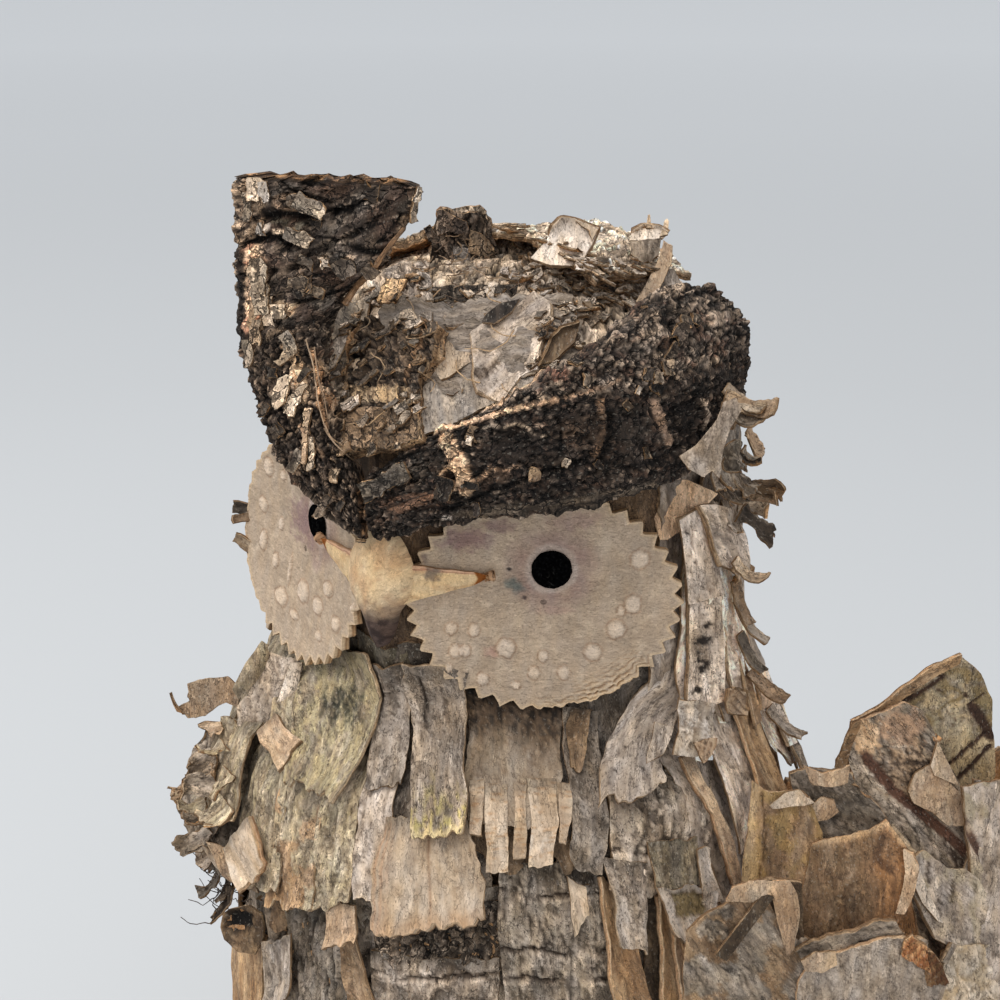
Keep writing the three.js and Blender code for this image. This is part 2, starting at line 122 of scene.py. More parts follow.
def cells(x, y, seed=0, jitter=0.9):
    """Distance to the nearest and second nearest point of a scattered grid, and the nearest one's number 0 to 1."""
    x, y = np.broadcast_arrays(np.asarray(x, float) + seed * 13.3, np.asarray(y, float) + seed * 7.7)
    xi, yi = np.floor(x).astype(np.int64), np.floor(y).astype(np.int64)
    f1 = np.full(x.shape, 9.0)
    f2 = np.full(x.shape, 9.0)
    num = np.zeros(x.shape)
    for dx in (-1, 0, 1):
        for dy in (-1, 0, 1):
            cx, cy = xi + dx, yi + dy
            h = _P[_P[cx & 1023] + (cy & 1023)]
            px = cx + 0.5 + jitter * (_V[h] - 0.5)
            py = cy + 0.5 + jitter * (_V[_P[h]] - 0.5)
            d = np.hypot(x - px, y - py)
            near = d < f1
            f2 = np.where(near, f1, np.minimum(f2, d))
            num = np.where(near, _V[_P[h + 1]], num)
            f1 = np.where(near, d, f1)
    return f1, f2, num


def torn(x, seed=0):
    """The line of a torn edge: notches and steps, about -1 to 1."""
    def value(x, k, stair):
        x = np.asarray(x, float) + (seed + k) * 17.31
        i = np.floor(x).astype(np.int64)
        f = x - i
        if stair:
            f = clamp01((f - 0.36) / 0.28)
        a, b = _V[_P[(i + 31 * k) & 1023]], _V[_P[(i + 1 + 31 * k) & 1023]]
        return (a + (b - a) * f) * 2 - 1
    return 0.50 * value(x / 8.3, 1, False) + 0.42 * value(x / 4.1, 2, True) + 0.26 * value(x / 1.9, 3, True) + 0.16 * value(x / 0.9, 4, False)


def linear(c):
    c = np.clip(np.asarray(c, float) / 255, 0, 1)
    return np.where(c <= 0.04045, c / 12.92, ((c + 0.055) / 1.055) ** 2.4)


def mixc(a, b, t):
    return a + (b - a) * np.asarray(t)[..., None]


# ------------------------------------------------------------------ the part's own dimensions, mm
DEPTH_SHARE, CORE_IN, CROWN_TILT, TOP_Z = 0.96, 2.2, 0.22, 366
BASE_R, BASE_H = 84, 14
PROFILE = np.array([
    [14.35, 57], [30, 66], [70, 77], [120, 82], [170, 83], [200, 84], [215, 82], [230, 76],
    [245, 71], [260, 69], [290, 70], [320, 70], [338, 66], [351, 56], [360, 40], [365, 20]])
FACE_TURN, FACE_D, TUCK_D, FACE_Z = 30, 57.6, 53.2, [224, 250, 265, 326, 330]
DISC_A, DISC_B, DISC_T, DISC_D, DISC_SIDE, DISC_Z = 39.5, 34, 2.4, 58.0, 12.2, 281.5
TEETH, TOOTH = 40, 3.0
PUPIL_R, PUPIL_T = 5.7, 1.6
PUPIL_AT = {1: (2.2, 10.0), -1: (-9.4, 11.4)}


def radius_at(z):
    return np.interp(z, PROFILE[:, 0], PROFILE[:, 1])


def surface_radius(th, z):
    th, z = np.broadcast_arrays(np.asarray(th, float), np.asarray(z, float))
    rnd = radius_at(z)
    a = np.abs(np.radians(((th + 540) % 360) - 180))
    turn = math.radians(FACE_TURN)
    facing = np.sin(a) * math.sin(turn) + DEPTH_SHARE * np.cos(a) * math.cos(turn)
    d = lerp(TUCK_D, FACE_D, clamp01((z - FACE_Z[1]) / (FACE_Z[2] - FACE_Z[1])))
    w = np.minimum(clamp01((z - FACE_Z[0]) / (FACE_Z[1] - FACE_Z[0])), clamp01((FACE_Z[4] - z) / (FACE_Z[4] - FACE_Z[3])))
    flat = lerp(rnd, np.minimum(rnd, d / np.maximum(facing, 0.1)), w)
    return np.where((facing < 0.4) | (z <= FACE_Z[0]) | (z >= FACE_Z[4]), rnd, flat)


def around(th, r, z):
    a = np.radians(th)
    x, y = r * np.sin(a), -DEPTH_SHARE * r * np.cos(a)
    x, y, z = np.broadcast_arrays(x, y, z)
    return np.stack([x, y, z + CROWN_TILT * y * clamp01((z - 320) / 43)], -1)


def disc_floor(th, r=71.0):
    th = ((np.asarray(th, float) + 540) % 360) - 180
    x = r * np.sin(np.radians(np.abs(th) - FACE_TURN)) - DISC_SIDE
    inside = np.abs(x) < DISC_A
    return np.where(inside, DISC_Z - DISC_B * np.sqrt(np.maximum(0, 1 - (np.where(inside, x, 0) / DISC_A) ** 2)) + 5, 400)


# ------------------------------------------------------------------ meshes
class Bag:
    """Closed meshes that end up in one object."""

    def __init__(self):
        self.v, self.q, self.t, self.c, self.s, self.n = [], [], [], [], [], 0

    def add(self, v, q, t, c, s):
        self.v.append(v)
        if len(q):
            self.q.append(np.asarray(q) + self.n)
        if len(t):
            self.t.append(np.asarray(t) + self.n)
        self.c.append(c)
        self.s.append(s)
        self.n += len(v)

    def make(self, name, slot, nodes=(), material=None, sharp=62):
        v, c, s = np.concatenate(self.v), np.concatenate(self.c), np.concatenate(self.s)
        q = np.concatenate(self.q) if self.q else np.zeros((0, 4), int)
        t = np.concatenate(self.t) if self.t else np.zeros((0, 3), int)
        me = bpy.data.meshes.new(name)
        me.vertices.add(len(v))
        me.vertices.foreach_set("co", (v / 1000).astype(np.float32).ravel())
        loops = np.concatenate([q.ravel(), t.ravel()])
        me.loops.add(len(loops))
        me.loops.foreach_set("vertex_index", loops.astype(np.int32))
        start = np.concatenate([np.arange(len(q)) * 4, len(q) * 4 + np.arange(len(t)) * 3])
        me.polygons.add(len(q) + len(t))
        me.polygons.foreach_set("loop_start", start.astype(np.int32))
        me.polygons.foreach_set("use_smooth", np.ones(len(start), bool))
        me.update(calc_edges=True)
        me.validate()
        col = me.attributes.new("Col", "FLOAT_COLOR", "POINT")
        rgba = np.ones((len(v), 4), np.float32)
        rgba[:, :3] = linear(c * np.array([1.03, 0.972, 0.925]))
        col.data.foreach_set("color", rgba.ravel())
        st = me.attributes.new("st", "FLOAT_VECTOR", "POINT")
        st.data.foreach_set("vector", s.astype(np.float32).ravel())
        me.set_sharp_from_angle(angle=math.radians(sharp))
        me.materials.append(material or MATERIALS[slot])
        ob = bpy.data.objects.new(name, me)
        bpy.context.scene.collection.objects.link(ob)
        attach(ob, "root")
        if nodes:
            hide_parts(*nodes)
        return ob


def grid_normals(p):
    return unit(np.cross(np.gradient(p, axis=0), np.gradient(p, axis=1)))


CARRIERS = {}
RIMS = {  # colours of the layers in a torn edge, outer first
    "plain": [(166, 144, 114), (112, 88, 64), (150, 126, 96), (78, 60, 45)],
    "orange": [(218, 202, 174), (190, 150, 112), (206, 178, 146), (140, 106, 76)],
    "pale": [(212, 200, 180), (166, 144, 116), (200, 182, 154), (110, 88, 68)],
    "dark": [(96, 80, 64), (52, 42, 34), (84, 68, 52), (36, 29, 24)],
}


def keep(name, p, n):
    CARRIERS[name] = (p.reshape(-1, 3), n.reshape(-1, 3))


def sheet_arrays(p0, relief, t, col, st, under, seed=0, rows=3, rag=0.35, coarse=2, rim=None, keep_as=None):
    """A closed sheet over a grid: rows run down, columns to the right, as seen from its outside. t: thickness, a number
    or a value at each point. The rim shows layers; the underside has every coarse-th point."""
    nv, nu = p0.shape[0] - 1, p0.shape[1] - 1
    n = grid_normals(p0)
    top = p0 + n * relief[..., None]
    tt = np.broadcast_to(np.asarray(t, float), relief.shape)
    low = p0 - n * (tt + np.minimum(0, relief) * 0.0)[..., None]
    low = low + n * np.minimum(0, relief + tt - 0.35)[..., None]
    if keep_as:
        keep(keep_as, top, n)
    ji = [(j, 0) for j in range(nv + 1)] + [(nv, i) for i in range(1, nu + 1)]
    ji += [(j, nu) for j in range(nv - 1, -1, -1)] + [(0, i) for i in range(nu - 1, 0, -1)]
    J, I = np.array([a for a, _ in ji]), np.array([b for _, b in ji])
    m = len(ji)
    ids = np.arange((nv + 1) * (nu + 1)).reshape(nv + 1, nu + 1)
    loop = ids[J, I]
    q = [np.stack([ids[:-1, :-1], ids[1:, :-1], ids[1:, 1:], ids[:-1, 1:]], -1).reshape(-1, 4)]
    verts, cols, sts = [top.reshape(-1, 3)], [col.reshape(-1, 3)], [st.reshape(-1, 3)]
    total = len(verts[0])
    te, be, ne, se, ce = top[J, I], low[J, I], n[J, I], st[J, I], col[J, I]
    tang = unit(np.roll(te, -1, 0) - np.roll(te, 1, 0))
    out = unit(np.cross(tang, ne))
    arc = np.concatenate([[0], np.cumsum(np.linalg.norm(np.diff(te, axis=0), axis=1))])
    if rim is None:
        rim = RIMS["plain"]
    elif isinstance(rim, str):
        rim = RIMS[rim]
    prev = loop
    for k in range(1, rows + 1):
        f = k / (rows + 1)
        jit = rag * (n2(arc / 2.1, k * 3.7, seed + k) * 0.9 + n2(arc / 0.7, k * 9.1, seed + 31 + k) * 0.5) - 0.12 * (k % 2)
        row = lerp(te, be, f) + out * jit[:, None]
        cc = np.array(rim[(k - 1) % len(rim)], float)
        cc = cc * (1 + 0.16 * n2(arc / 3.1, k * 1.7, seed + 11))[:, None]
        cc = lerp(cc, np.array([218.0, 200, 170]), (ss(0.05, 0.45, n2(arc / 7.0, k * 0.4, seed + 13)) * (0.65 if k < rows else 0.25))[:, None])
        cc = lerp(ce, cc, 0.82)
        verts.append(row)
        cols.append(cc)
        s2 = se.copy()
        s2[:, 2] += k * 0.6
        sts.append(s2)
        cur = total + np.arange(m)
        q.append(np.stack([np.roll(prev, -1), prev, cur, np.roll(cur, -1)], -1))
        prev = cur
        total += m
    lj, li = np.arange(0, nv + 1, coarse), np.arange(0, nu + 1, coarse)
    lows = low[np.ix_(lj, li)]
    lid = total + np.arange(len(lj) * len(li)).reshape(len(lj), len(li))
    q.append(np.stack([lid[:-1, :-1], lid[:-1, 1:], lid[1:, 1:], lid[1:, :-1]], -1).reshape(-1, 4))
    verts.append(lows.reshape(-1, 3))
    sl = st[np.ix_(lj, li)].copy()
    sl[..., 2] += 5
    sts.append(sl.reshape(-1, 3))
    uc = np.asarray(under, float)
    uc = np.broadcast_to(uc, col.shape)[np.ix_(lj, li)] if uc.ndim > 1 else np.broadcast_to(uc, lows.shape)
    tone = 1 + 0.18 * fbm(sl[..., 0] / 3.0, sl[..., 1] / 9.0, 3, seed + 50)
    cols.append((uc * tone[..., None]).reshape(-1, 3))
    tri = []
    lower = lid[J[::coarse] // coarse, I[::coarse] // coarse]
    h = max(1, coarse // 2)
    fine = prev.reshape(-1, coarse)
    nxt = np.roll(prev, -1).reshape(-1, coarse)
    c0, c1 = lower, np.roll(lower, -1)
    for k in range(coarse):
        tri.append(np.stack([nxt[:, k], fine[:, k], c0 if k < h else c1], -1))
    if coarse > 1:
        tri.append(np.stack([fine[:, h], c0, c1], -1))
    else:
        tri.append(np.stack([nxt[:, 0], c0, c1], -1))
    return np.concatenate(verts), np.concatenate(q), np.concatenate(tri), np.concatenate(cols), np.concatenate(sts)


# ------------------------------------------------------------------ bark colours, 0..255
PAL = {
    "grey": dict(a=(172, 161, 147), b=(142, 130, 115), c=(196, 187, 174), d=(78, 65, 53), e=(214, 198, 172), lichen=0.0, crack=0.55),
    "pale": dict(a=(188, 178, 166), b=(162, 151, 138), c=(208, 200, 189), d=(92, 78, 66), e=(220, 205, 180), lichen=0.0, crack=0.45),
    "olive": dict(a=(168, 157, 132), b=(136, 124, 102), c=(190, 181, 157), d=(80, 69, 53), e=(206, 193, 160), lichen=0.40, crack=0.6),
    "tan": dict(a=(202, 176, 145), b=(180, 150, 117), c=(216, 197, 168), d=(126, 94, 66), e=(222, 200, 166), lichen=0.0, crack=0.3),
    "wood": dict(a=(186, 156, 117), b=(154, 121, 86), c=(206, 180, 142), d=(88, 64, 44), e=(216, 184, 140), lichen=0.0, crack=0.5),
    "cream": dict(a=(212, 195, 170), b=(192, 171, 143), c=(222, 210, 190), d=(146, 116, 88), e=(226, 212, 184), lichen=0.0, crack=0.25),
    "white": dict(a=(214, 208, 198), b=(194, 186, 173), c=(226, 222, 214), d=(136, 118, 98), e=(226, 216, 196), lichen=0.0, crack=0.2),
    "brown": dict(a=(150, 125, 97), b=(120, 97, 72), c=(178, 154, 124), d=(66, 50, 37), e=(198, 168, 128), lichen=0.1, crack=0.45),
    "rough": dict(a=(108, 95, 81), b=(74, 63, 52), c=(150, 137, 120), d=(34, 28, 23), e=(158, 141, 117), lichen=0.0, crack=0.8),
    "weathered": dict(a=(152, 141, 126), b=(112, 101, 87), c=(186, 176, 161), d=(58, 49, 40), e=(196, 181, 156), lichen=0.10, crack=0.8),
    "dark": dict(a=(70, 60, 52), b=(44, 36, 30), c=(100, 88, 76), d=(20, 16, 13), e=(112, 97, 80), lichen=0.0, crack=0.8),
}


def fissure(s, t, seed, across=3.3, along=15.0, width=0.05):
    """Thin cracks along the grain: 1 on a crack."""
    warp = 1.4 * fbm(s / 6, t / 12, 2, seed + 4)
    return ss(1 - 3 * width, 1 - 0.6 * width, 1 - np.abs(n2((s + warp) / across, t / along, seed + 5))) * ss(-0.15, 0.2, n2(s / 7, t / 17, seed + 6))


def scales(s, t, seed, size=(5, 9), lift=0.7):
    """Overlapping scaly flakes: a height, and 0..1 for the dark line under each flake."""
    ws = s + 1.6 * fbm(s / 5, t / 6, 3, seed)
    wt = t + 2.2 * fbm(s / 6, t / 8, 3, seed + 3)
    f1, f2, num = cells(ws / size[0], wt / size[1], seed)
    gap = f2 - f1
    return lift * (num - 0.5) + lift * 0.8 * ss(0, 0.35, gap), 1 - ss(0.02, 0.16, gap), num


ROUGHNESS = {"rough": 1.6, "dark": 1.5, "weathered": 1.0, "olive": 0.75, "brown": 0.75, "wood": 0.85, "grey": 0.65, "pale": 0.6,
             "tan": 0.4, "cream": 0.35, "white": 0.45}


def surface(kind, s, t, edge, seed, amount=1.0, scaly=0.0, edge_w=0.8, lenticels=0.5, peel=1.0, size=(5, 9)):
    """Relief (mm) and colour of a bark surface: s across and t along the grain in mm, edge the distance to the torn edge."""
    p = {k: np.array(v, float) if isinstance(v, tuple) else v for k, v in PAL[kind].items()}
    k = ROUGHNESS[kind]
    ws = s + 1.5 * fbm(s / 14, t / 22, 2, seed + 15)
    big = fbm(s / 14, t / 30, 3, seed)
    long = 2.2 if kind in ("wood", "tan", "brown") else 1.0
    mid = fbm(ws / 3.4, t / (8.5 * long), 4, seed + 1, 0.6)
    fibre = fbm(ws / 1.3, t / (11 * long), 3, seed + 2, 0.6)
    grit = fbm(s / 1.7, t / 2.1, 2, seed + 3, 0.6)
    col = mixc(p["a"], p["b"], ss(-0.05, 0.5, big + 0.35 * mid) * 0.8)
    col = mixc(col, p["c"], ss(0.02, 0.45, 0.5 * mid - 0.7 * big + 0.15 * fibre) * 0.8)
    light_scab = ss(0.30, 0.36, fbm(s / 4.2, t / 5.5, 5, seed + 31, 0.62)) * ss(-0.1, 0.3, n2(s / 13, t / 17, seed + 32))
    dark_scab = ss(0.33, 0.38, fbm(s / 3.2, t / 4.6, 5, seed + 33, 0.62)) * ss(0.0, 0.4, n2(s / 11, t / 14, seed + 34))
    h = k * (0.13 * fibre + 0.16 * mid + 0.05 * grit)
    # layers that have peeled off along the grain, with a small step; the dark line just below the step is painted
    # shadow and the light line on the upper layer's lip is a painted highlight
    pf = fbm(ws / 6.5, t / (13 * long), 5, seed + 22, 0.56) + 0.12 * big
    step = ss(0.19, 0.225, pf)
    deep = ss(-0.3, 0.3, n2(s / 15, t / 19, seed + 28))[..., None]
    col = mixc(col, (p["b"] * 0.55 + p["d"] * 0.45) * deep + (p["e"] * 0.5 + p["b"] * 0.42) * (1 - deep), step * 0.6 * peel)
    dark = np.exp(-np.abs(pf - 0.222) / 0.022) * (pf > 0.185) * 0.7 * peel
    light = np.exp(-np.abs(pf - 0.165) / 0.025) * (pf <= 0.19) * 0.5 * peel
    h = h - 0.5 * k * step * peel
    flat_kind = 0.25 if kind in ("cream", "white", "tan", "wood") else 1.0
    col = mixc(col, p["c"] * 1.04, light_scab * 0.6 * flat_kind)
    col = mixc(col, p["d"], dark_scab * 0.22 * flat_kind)
    h = h + k * (0.35 * light_scab - 0.45 * dark_scab) * flat_kind
    speck = ss(0.60, 0.68, n2(s / 1.15, t / 0.95, seed + 35)) * ss(-0.2, 0.3, n2(s / 8, t / 9, seed + 36))
    pf2 = fbm(s / 3.6, t / 9.0, 3, seed + 25, 0.5)
    up2 = ss(0.36, 0.40, pf2)
    col = mixc(col, p["c"], up2 * 0.65 * peel)
    # painted shadow: a dark line just outside each raised second layer
    dark = np.maximum(dark, np.exp(-np.abs(pf2 - 0.345) / 0.016) * (pf2 < 0.37) * 0.55 * peel)
    h = h + 0.3 * k * up2 * peel
    if p["lichen"]:
        li = (0.45 * ss(0.14, 0.40, fbm(s / 6, t / 11, 5, seed + 9, 0.6)) + 0.65 * ss(0.16, 0.21, fbm(s / 4.6, t / 8, 5, seed + 10, 0.66))) * p["lichen"]
        col = mixc(col, np.array([192, 186, 136.0]), clamp01(li))
    crack = np.maximum(fissure(s, t, seed, 4.4, 30.0, 0.035), 0.8 * fissure(s + 40, t, seed + 60, 2.6, 16.0, 0.045))
    cross = fissure(t, s, seed + 80, 6.0, 9.0, 0.03) * ss(0.15, 0.4, n2(s / 14, t / 20, seed + 81))
    crack = np.maximum(crack, cross * 0.8)
    dark = np.maximum(dark, crack * p["crack"])
    h = h - 0.6 * k * crack * p["crack"]
    dash = ss(0.45, 0.62, n2(s / 5.5, t / 0.9, seed + 7)) * ss(0.1, 0.45, n2(s / 11, t / 9, seed + 8))
    dark = np.maximum(dark, dash * lenticels * 0.7)
    if kind in ("pale", "grey", "olive", "weathered", "white"):
        dark = np.maximum(dark, speck * 0.4 * min(1.0, lenticels * 2))
    if scaly:
        sh, line, num = scales(s, t, seed + 5, size)
        h = h + scaly * sh
        dark = np.maximum(dark, line * min(1.0, 0.8 * scaly))
        col = col * (1 + 0.30 * min(scaly, 1.2) * (num - 0.5))[..., None]
    # the painted highlight along the lips of the peeled layers
    col = mixc(col, p["e"], light)
    # the 0.16 * h term paints the colour lighter where the relief stands high and darker where it sinks: painted light
    # and shade; fibre and grit are the bark's own tone
    col = col * (1 + 0.05 * fibre + 0.03 * grit + 0.16 * np.clip(h, -0.8, 0.8))[..., None]
    # dark holds the bark's cracks, lenticels and specks, and the painted shadow lines at the layer steps
    col = mixc(col, p["d"], clamp01(dark))
    rimline = np.exp(-np.maximum(edge, 0) / edge_w) * clamp01(0.30 + 1.2 * n2(s / 6, t / 6, seed + 12))
    col = mixc(col, p["e"], rimline * 0.75)
    h = amount * h * ss(-0.2, 1.6, edge)
    lum = col.mean(-1, keepdims=True)
    wash = {"tan": 0.20, "wood": 0.12, "brown": 0.14, "cream": 0.22, "white": 0.2}.get(kind, 0.30)
    return h, np.clip((col + (lum - col) * wash) * (0.93 if kind in ("cream", "olive", "tan") else 0.97), 4, 250)


# ------------------------------------------------------------------ strips that hang on the body
def strip(bag, th, z0, z1, w0, w1, off0, off1, skew=0.0, kind="grey", seed=0, res=0.85, t=0.9, curl=0.0, curl_from=0.75,
          side=(0.0, 0.0), jag=4.0, comb=0.0, wave=0.8, flat=0.25, coarse=2, under=(176, 140, 102), rim=None, tuck=True,
          relief=1.0, scaly=0.0, edge_w=0.8, keep_as=None, lenticels=0.5, top_jag=1.2, bend=0.0, feature=None, rows=3, peel=1.0, tone=1.0):
    length = abs(z0 - z1)
    w = max(w0, w1)
    res = res * 1.45
    nu = coarse * max(2, int(round(w / res / coarse)))
    nv = coarse * max(3, int(round(length / res / coarse)))
    u = np.linspace(-1, 1, nu + 1)[None, :]
    v = np.linspace(0, 1, nv + 1)[:, None]
    tear = lambda a, sd: 0.10 * w * n2(a / 17.0, sd * 1.3, seed + sd) + 1.0 * n2(a / 4.3, sd * 2.1, seed + sd) + 0.55 * n2(a / 1.3, 7.7, seed + sd)
    al = v * length
    half_l = lerp(w0, w1, v) / 2 + tear(al, 61)
    half_r = lerp(w0, w1, v) / 2 + tear(al, 62)
    x = np.where(u < 0, u * half_l, u * half_r) + bend * np.sin(v * math.pi)
    xm = u * w / 2
    foot = jag * torn(xm, seed + 63)
    if comb:
        foot = foot - comb * ss(0.25, 0.5, n2(xm / 3.4, 1.9, seed + 66))
    head = top_jag * (0.8 * n2(xm / 7.0, 2.3, seed + 67) + 0.4 * n2(xm / 2.2, 4.1, seed + 68))
    th_here = th + skew * v + np.degrees(x / radius_at(np.clip(lerp(z0, z1, v), 20, 350)))
    if tuck and z0 < 300:
        hz = np.minimum(z0, disc_floor(th_here[:1, :]))
    else:
        hz = np.full((1, nu + 1), float(z0))
    span = (hz - z1) + foot - head
    a = v * span
    phi = wave * 0.05 * fbm(xm / 14 + 0 * v, a / 12, 2, seed + 70)
    if curl:
        cf = curl_from * length * (1 + 0.12 * n2(xm / 8, 1.1, seed + 71))
        phi = phi + np.radians(curl) * clamp01((a - cf) / np.maximum(span - cf, 1.0)) ** 1.1
    da = np.diff(a, axis=0, prepend=a[:1] * 0)
    out = np.cumsum(np.sin(phi) * da, 0)
    down = np.cumsum(np.cos(phi) * da, 0)
    z = hz - head - down
    off = lerp(off0, off1, clamp01(a / length) ** 1.5) + out
    r = surface_radius(th_here, np.clip(z, 16, 352))
    # smooth the body's radius along the strip, so that a strip bridges a hollow
    k = max(1, int(3.0 / res))
    pad = np.concatenate([np.repeat(r[:1], k, 0), r, np.repeat(r[-1:], k, 0)])
    cs = np.cumsum(np.concatenate([np.zeros((1, nu + 1)), pad]), 0)
    r = (cs[2 * k + 1:] - cs[:-2 * k - 1]) / (2 * k + 1)
    lift = flat * x ** 2 / (2 * np.maximum(r, 20))
    edge_up = np.where(u < 0, side[0] * clamp01((-u - 0.55) / 0.45) ** 2, side[1] * clamp01((u - 0.55) / 0.45) ** 2) * clamp01(0.25 + v)
    off = off + lift + edge_up + wave * 0.35 * fbm(x / 13 + 0 * v, a / 17, 2, seed + 72)
    p0 = around(th_here, r + off, z)
    edge = np.minimum(np.minimum((1 - np.abs(u)) * w / 2 + 0 * v, (1 - v) * span), 3 + v * span)
    h, col = surface(kind, x + 0 * v, a, edge, seed, relief, scaly, edge_w, lenticels, peel)
    if feature is not None:
        col, h = feature(col, h, u + 0 * v, x + 0 * v, a, v + 0 * u, edge)
    # painted shade: the upper part of a strip that lies close to the body is darkened, where the disc and the pieces
    # above shade it
    deep = 1 - 0.28 * ss(0.3, 0.0, v) * (off0 < 9)
    col = col * tone * np.broadcast_to(deep, h.shape)[..., None]
    st = np.stack(np.broadcast_arrays(x, a, seed * 3.1 + 0 * v), -1)
    tt = t * (1 + 0.2 * fbm(x / 5 + 0 * v, a / 7, 2, seed + 73))
    bag.add(*sheet_arrays(p0, h, tt, col, st, under, seed, rows, 0.4, coarse, rim, keep_as))


# ------------------------------------------------------------------ free sheets between four corners
def panel(bag, corners, bulge, t=1.6, kind="tan", seed=0, res=1.0, jag=1.6, edges=(0, 0, 0, 0), kind2=None, wave=1.0, flip=False,
          relief=1.0, scaly=0.0, coarse=2, under=(176, 140, 102), rim=None, keep_as=None, feature=None, shift=0.0, grain=0,
          edge_w=0.9, lenticels=0.5, rows=3, peel=1.0, size=(5, 9), tone=1.0):
    """corners: top inner, top outer, bottom outer, bottom inner. edges: how far the top, right, bottom and left edge
    roll outwards, mm. grain 1 runs across instead of down."""
    p, q, r, s_ = [np.array(c, float) for c in corners]
    res = res * 1.2
    wid = (np.linalg.norm(q - p) + np.linalg.norm(r - s_)) / 2
    hei = (np.linalg.norm(s_ - p) + np.linalg.norm(r - q)) / 2
    nu = coarse * max(3, int(round(wid / res / coarse)))
    nv = coarse * max(3, int(round(hei / res / coarse)))
    u = np.linspace(0, 1, nu + 1)[None, :]
    v = np.linspace(0, 1, nv + 1)[:, None]
    um, vm = u * wid + 0 * v, v * hei + 0 * u
    du = jag / wid * (n2(vm / 9, 1.1, seed + 1) + 0.5 * n2(vm / 2.6, 2.2, seed + 2) + 0.3 * n2(vm / 0.9, 2.9, seed + 22))
    du2 = jag / wid * (n2(vm / 9, 3.1, seed + 3) + 0.5 * n2(vm / 2.6, 4.2, seed + 4) + 0.3 * n2(vm / 0.9, 4.9, seed + 24))
    dv = 1.5 * jag / hei * torn(um, seed + 5)
    dv2 = 1.5 * jag / hei * torn(um, seed + 7)
    uu = u + lerp(du, du2, u) * np.abs(2 * u - 1) ** 2
    vv = v + lerp(dv, dv2, v) * np.abs(2 * v - 1) ** 2
    top = p + (q - p) * uu[..., None]
    bot = s_ + (r - s_) * uu[..., None]
    base = top + (bot - top) * vv[..., None]
    nrm = unit(np.cross((q - p) + (r - s_), (p - s_) + (q - r)))
    bow = bulge * (1 - (2 * u - 1) ** 2) * (0.6 + 0.4 * (1 - (2 * v - 1) ** 2)) + 0 * uu
    roll = (edges[0] * clamp01(1 - v / 0.22) ** 2 + edges[2] * clamp01((v - 0.78) / 0.22) ** 2
            + edges[1] * clamp01((u - 0.8) / 0.2) ** 2 + edges[3] * clamp01(1 - u / 0.2) ** 2)
    wob = wave * (0.9 * fbm(um / 26, vm / 26, 2, seed + 9) + 0.3 * fbm(um / 8, vm / 8, 2, seed + 10))
    p0 = base + nrm * (bow + roll + wob + t + shift)[..., None]
    s, tt = (um, vm) if not grain else (vm, um)
    edge = np.minimum(np.minimum(u, 1 - u) * wid, np.minimum(v, 1 - v) * hei)
    h, col = surface(kind, s, tt, edge, seed, relief, scaly, edge_w, lenticels, peel, size)
    if kind2:
        _, other = surface(kind2, s, tt, edge, seed + 40, relief, scaly, edge_w, lenticels, peel, size)
        col = mixc(col, other, ss(-0.05, 0.12, fbm(um / 17, vm / 17, 4, seed + 44)))
    if feature is not None:
        col, h = feature(col, h, u + 0 * v, v + 0 * u, um, vm, edge)
    col = col * tone
    st = np.stack(np.broadcast_arrays(s, tt, seed * 3.1 + 0 * s), -1)
    th = t * (1 + 0.2 * fbm(um / 5, vm / 7, 2, seed + 73))
    bag.add(*sheet_arrays(p0, h, th, col, st, under, seed, rows, 0.4, coarse, rim, keep_as))


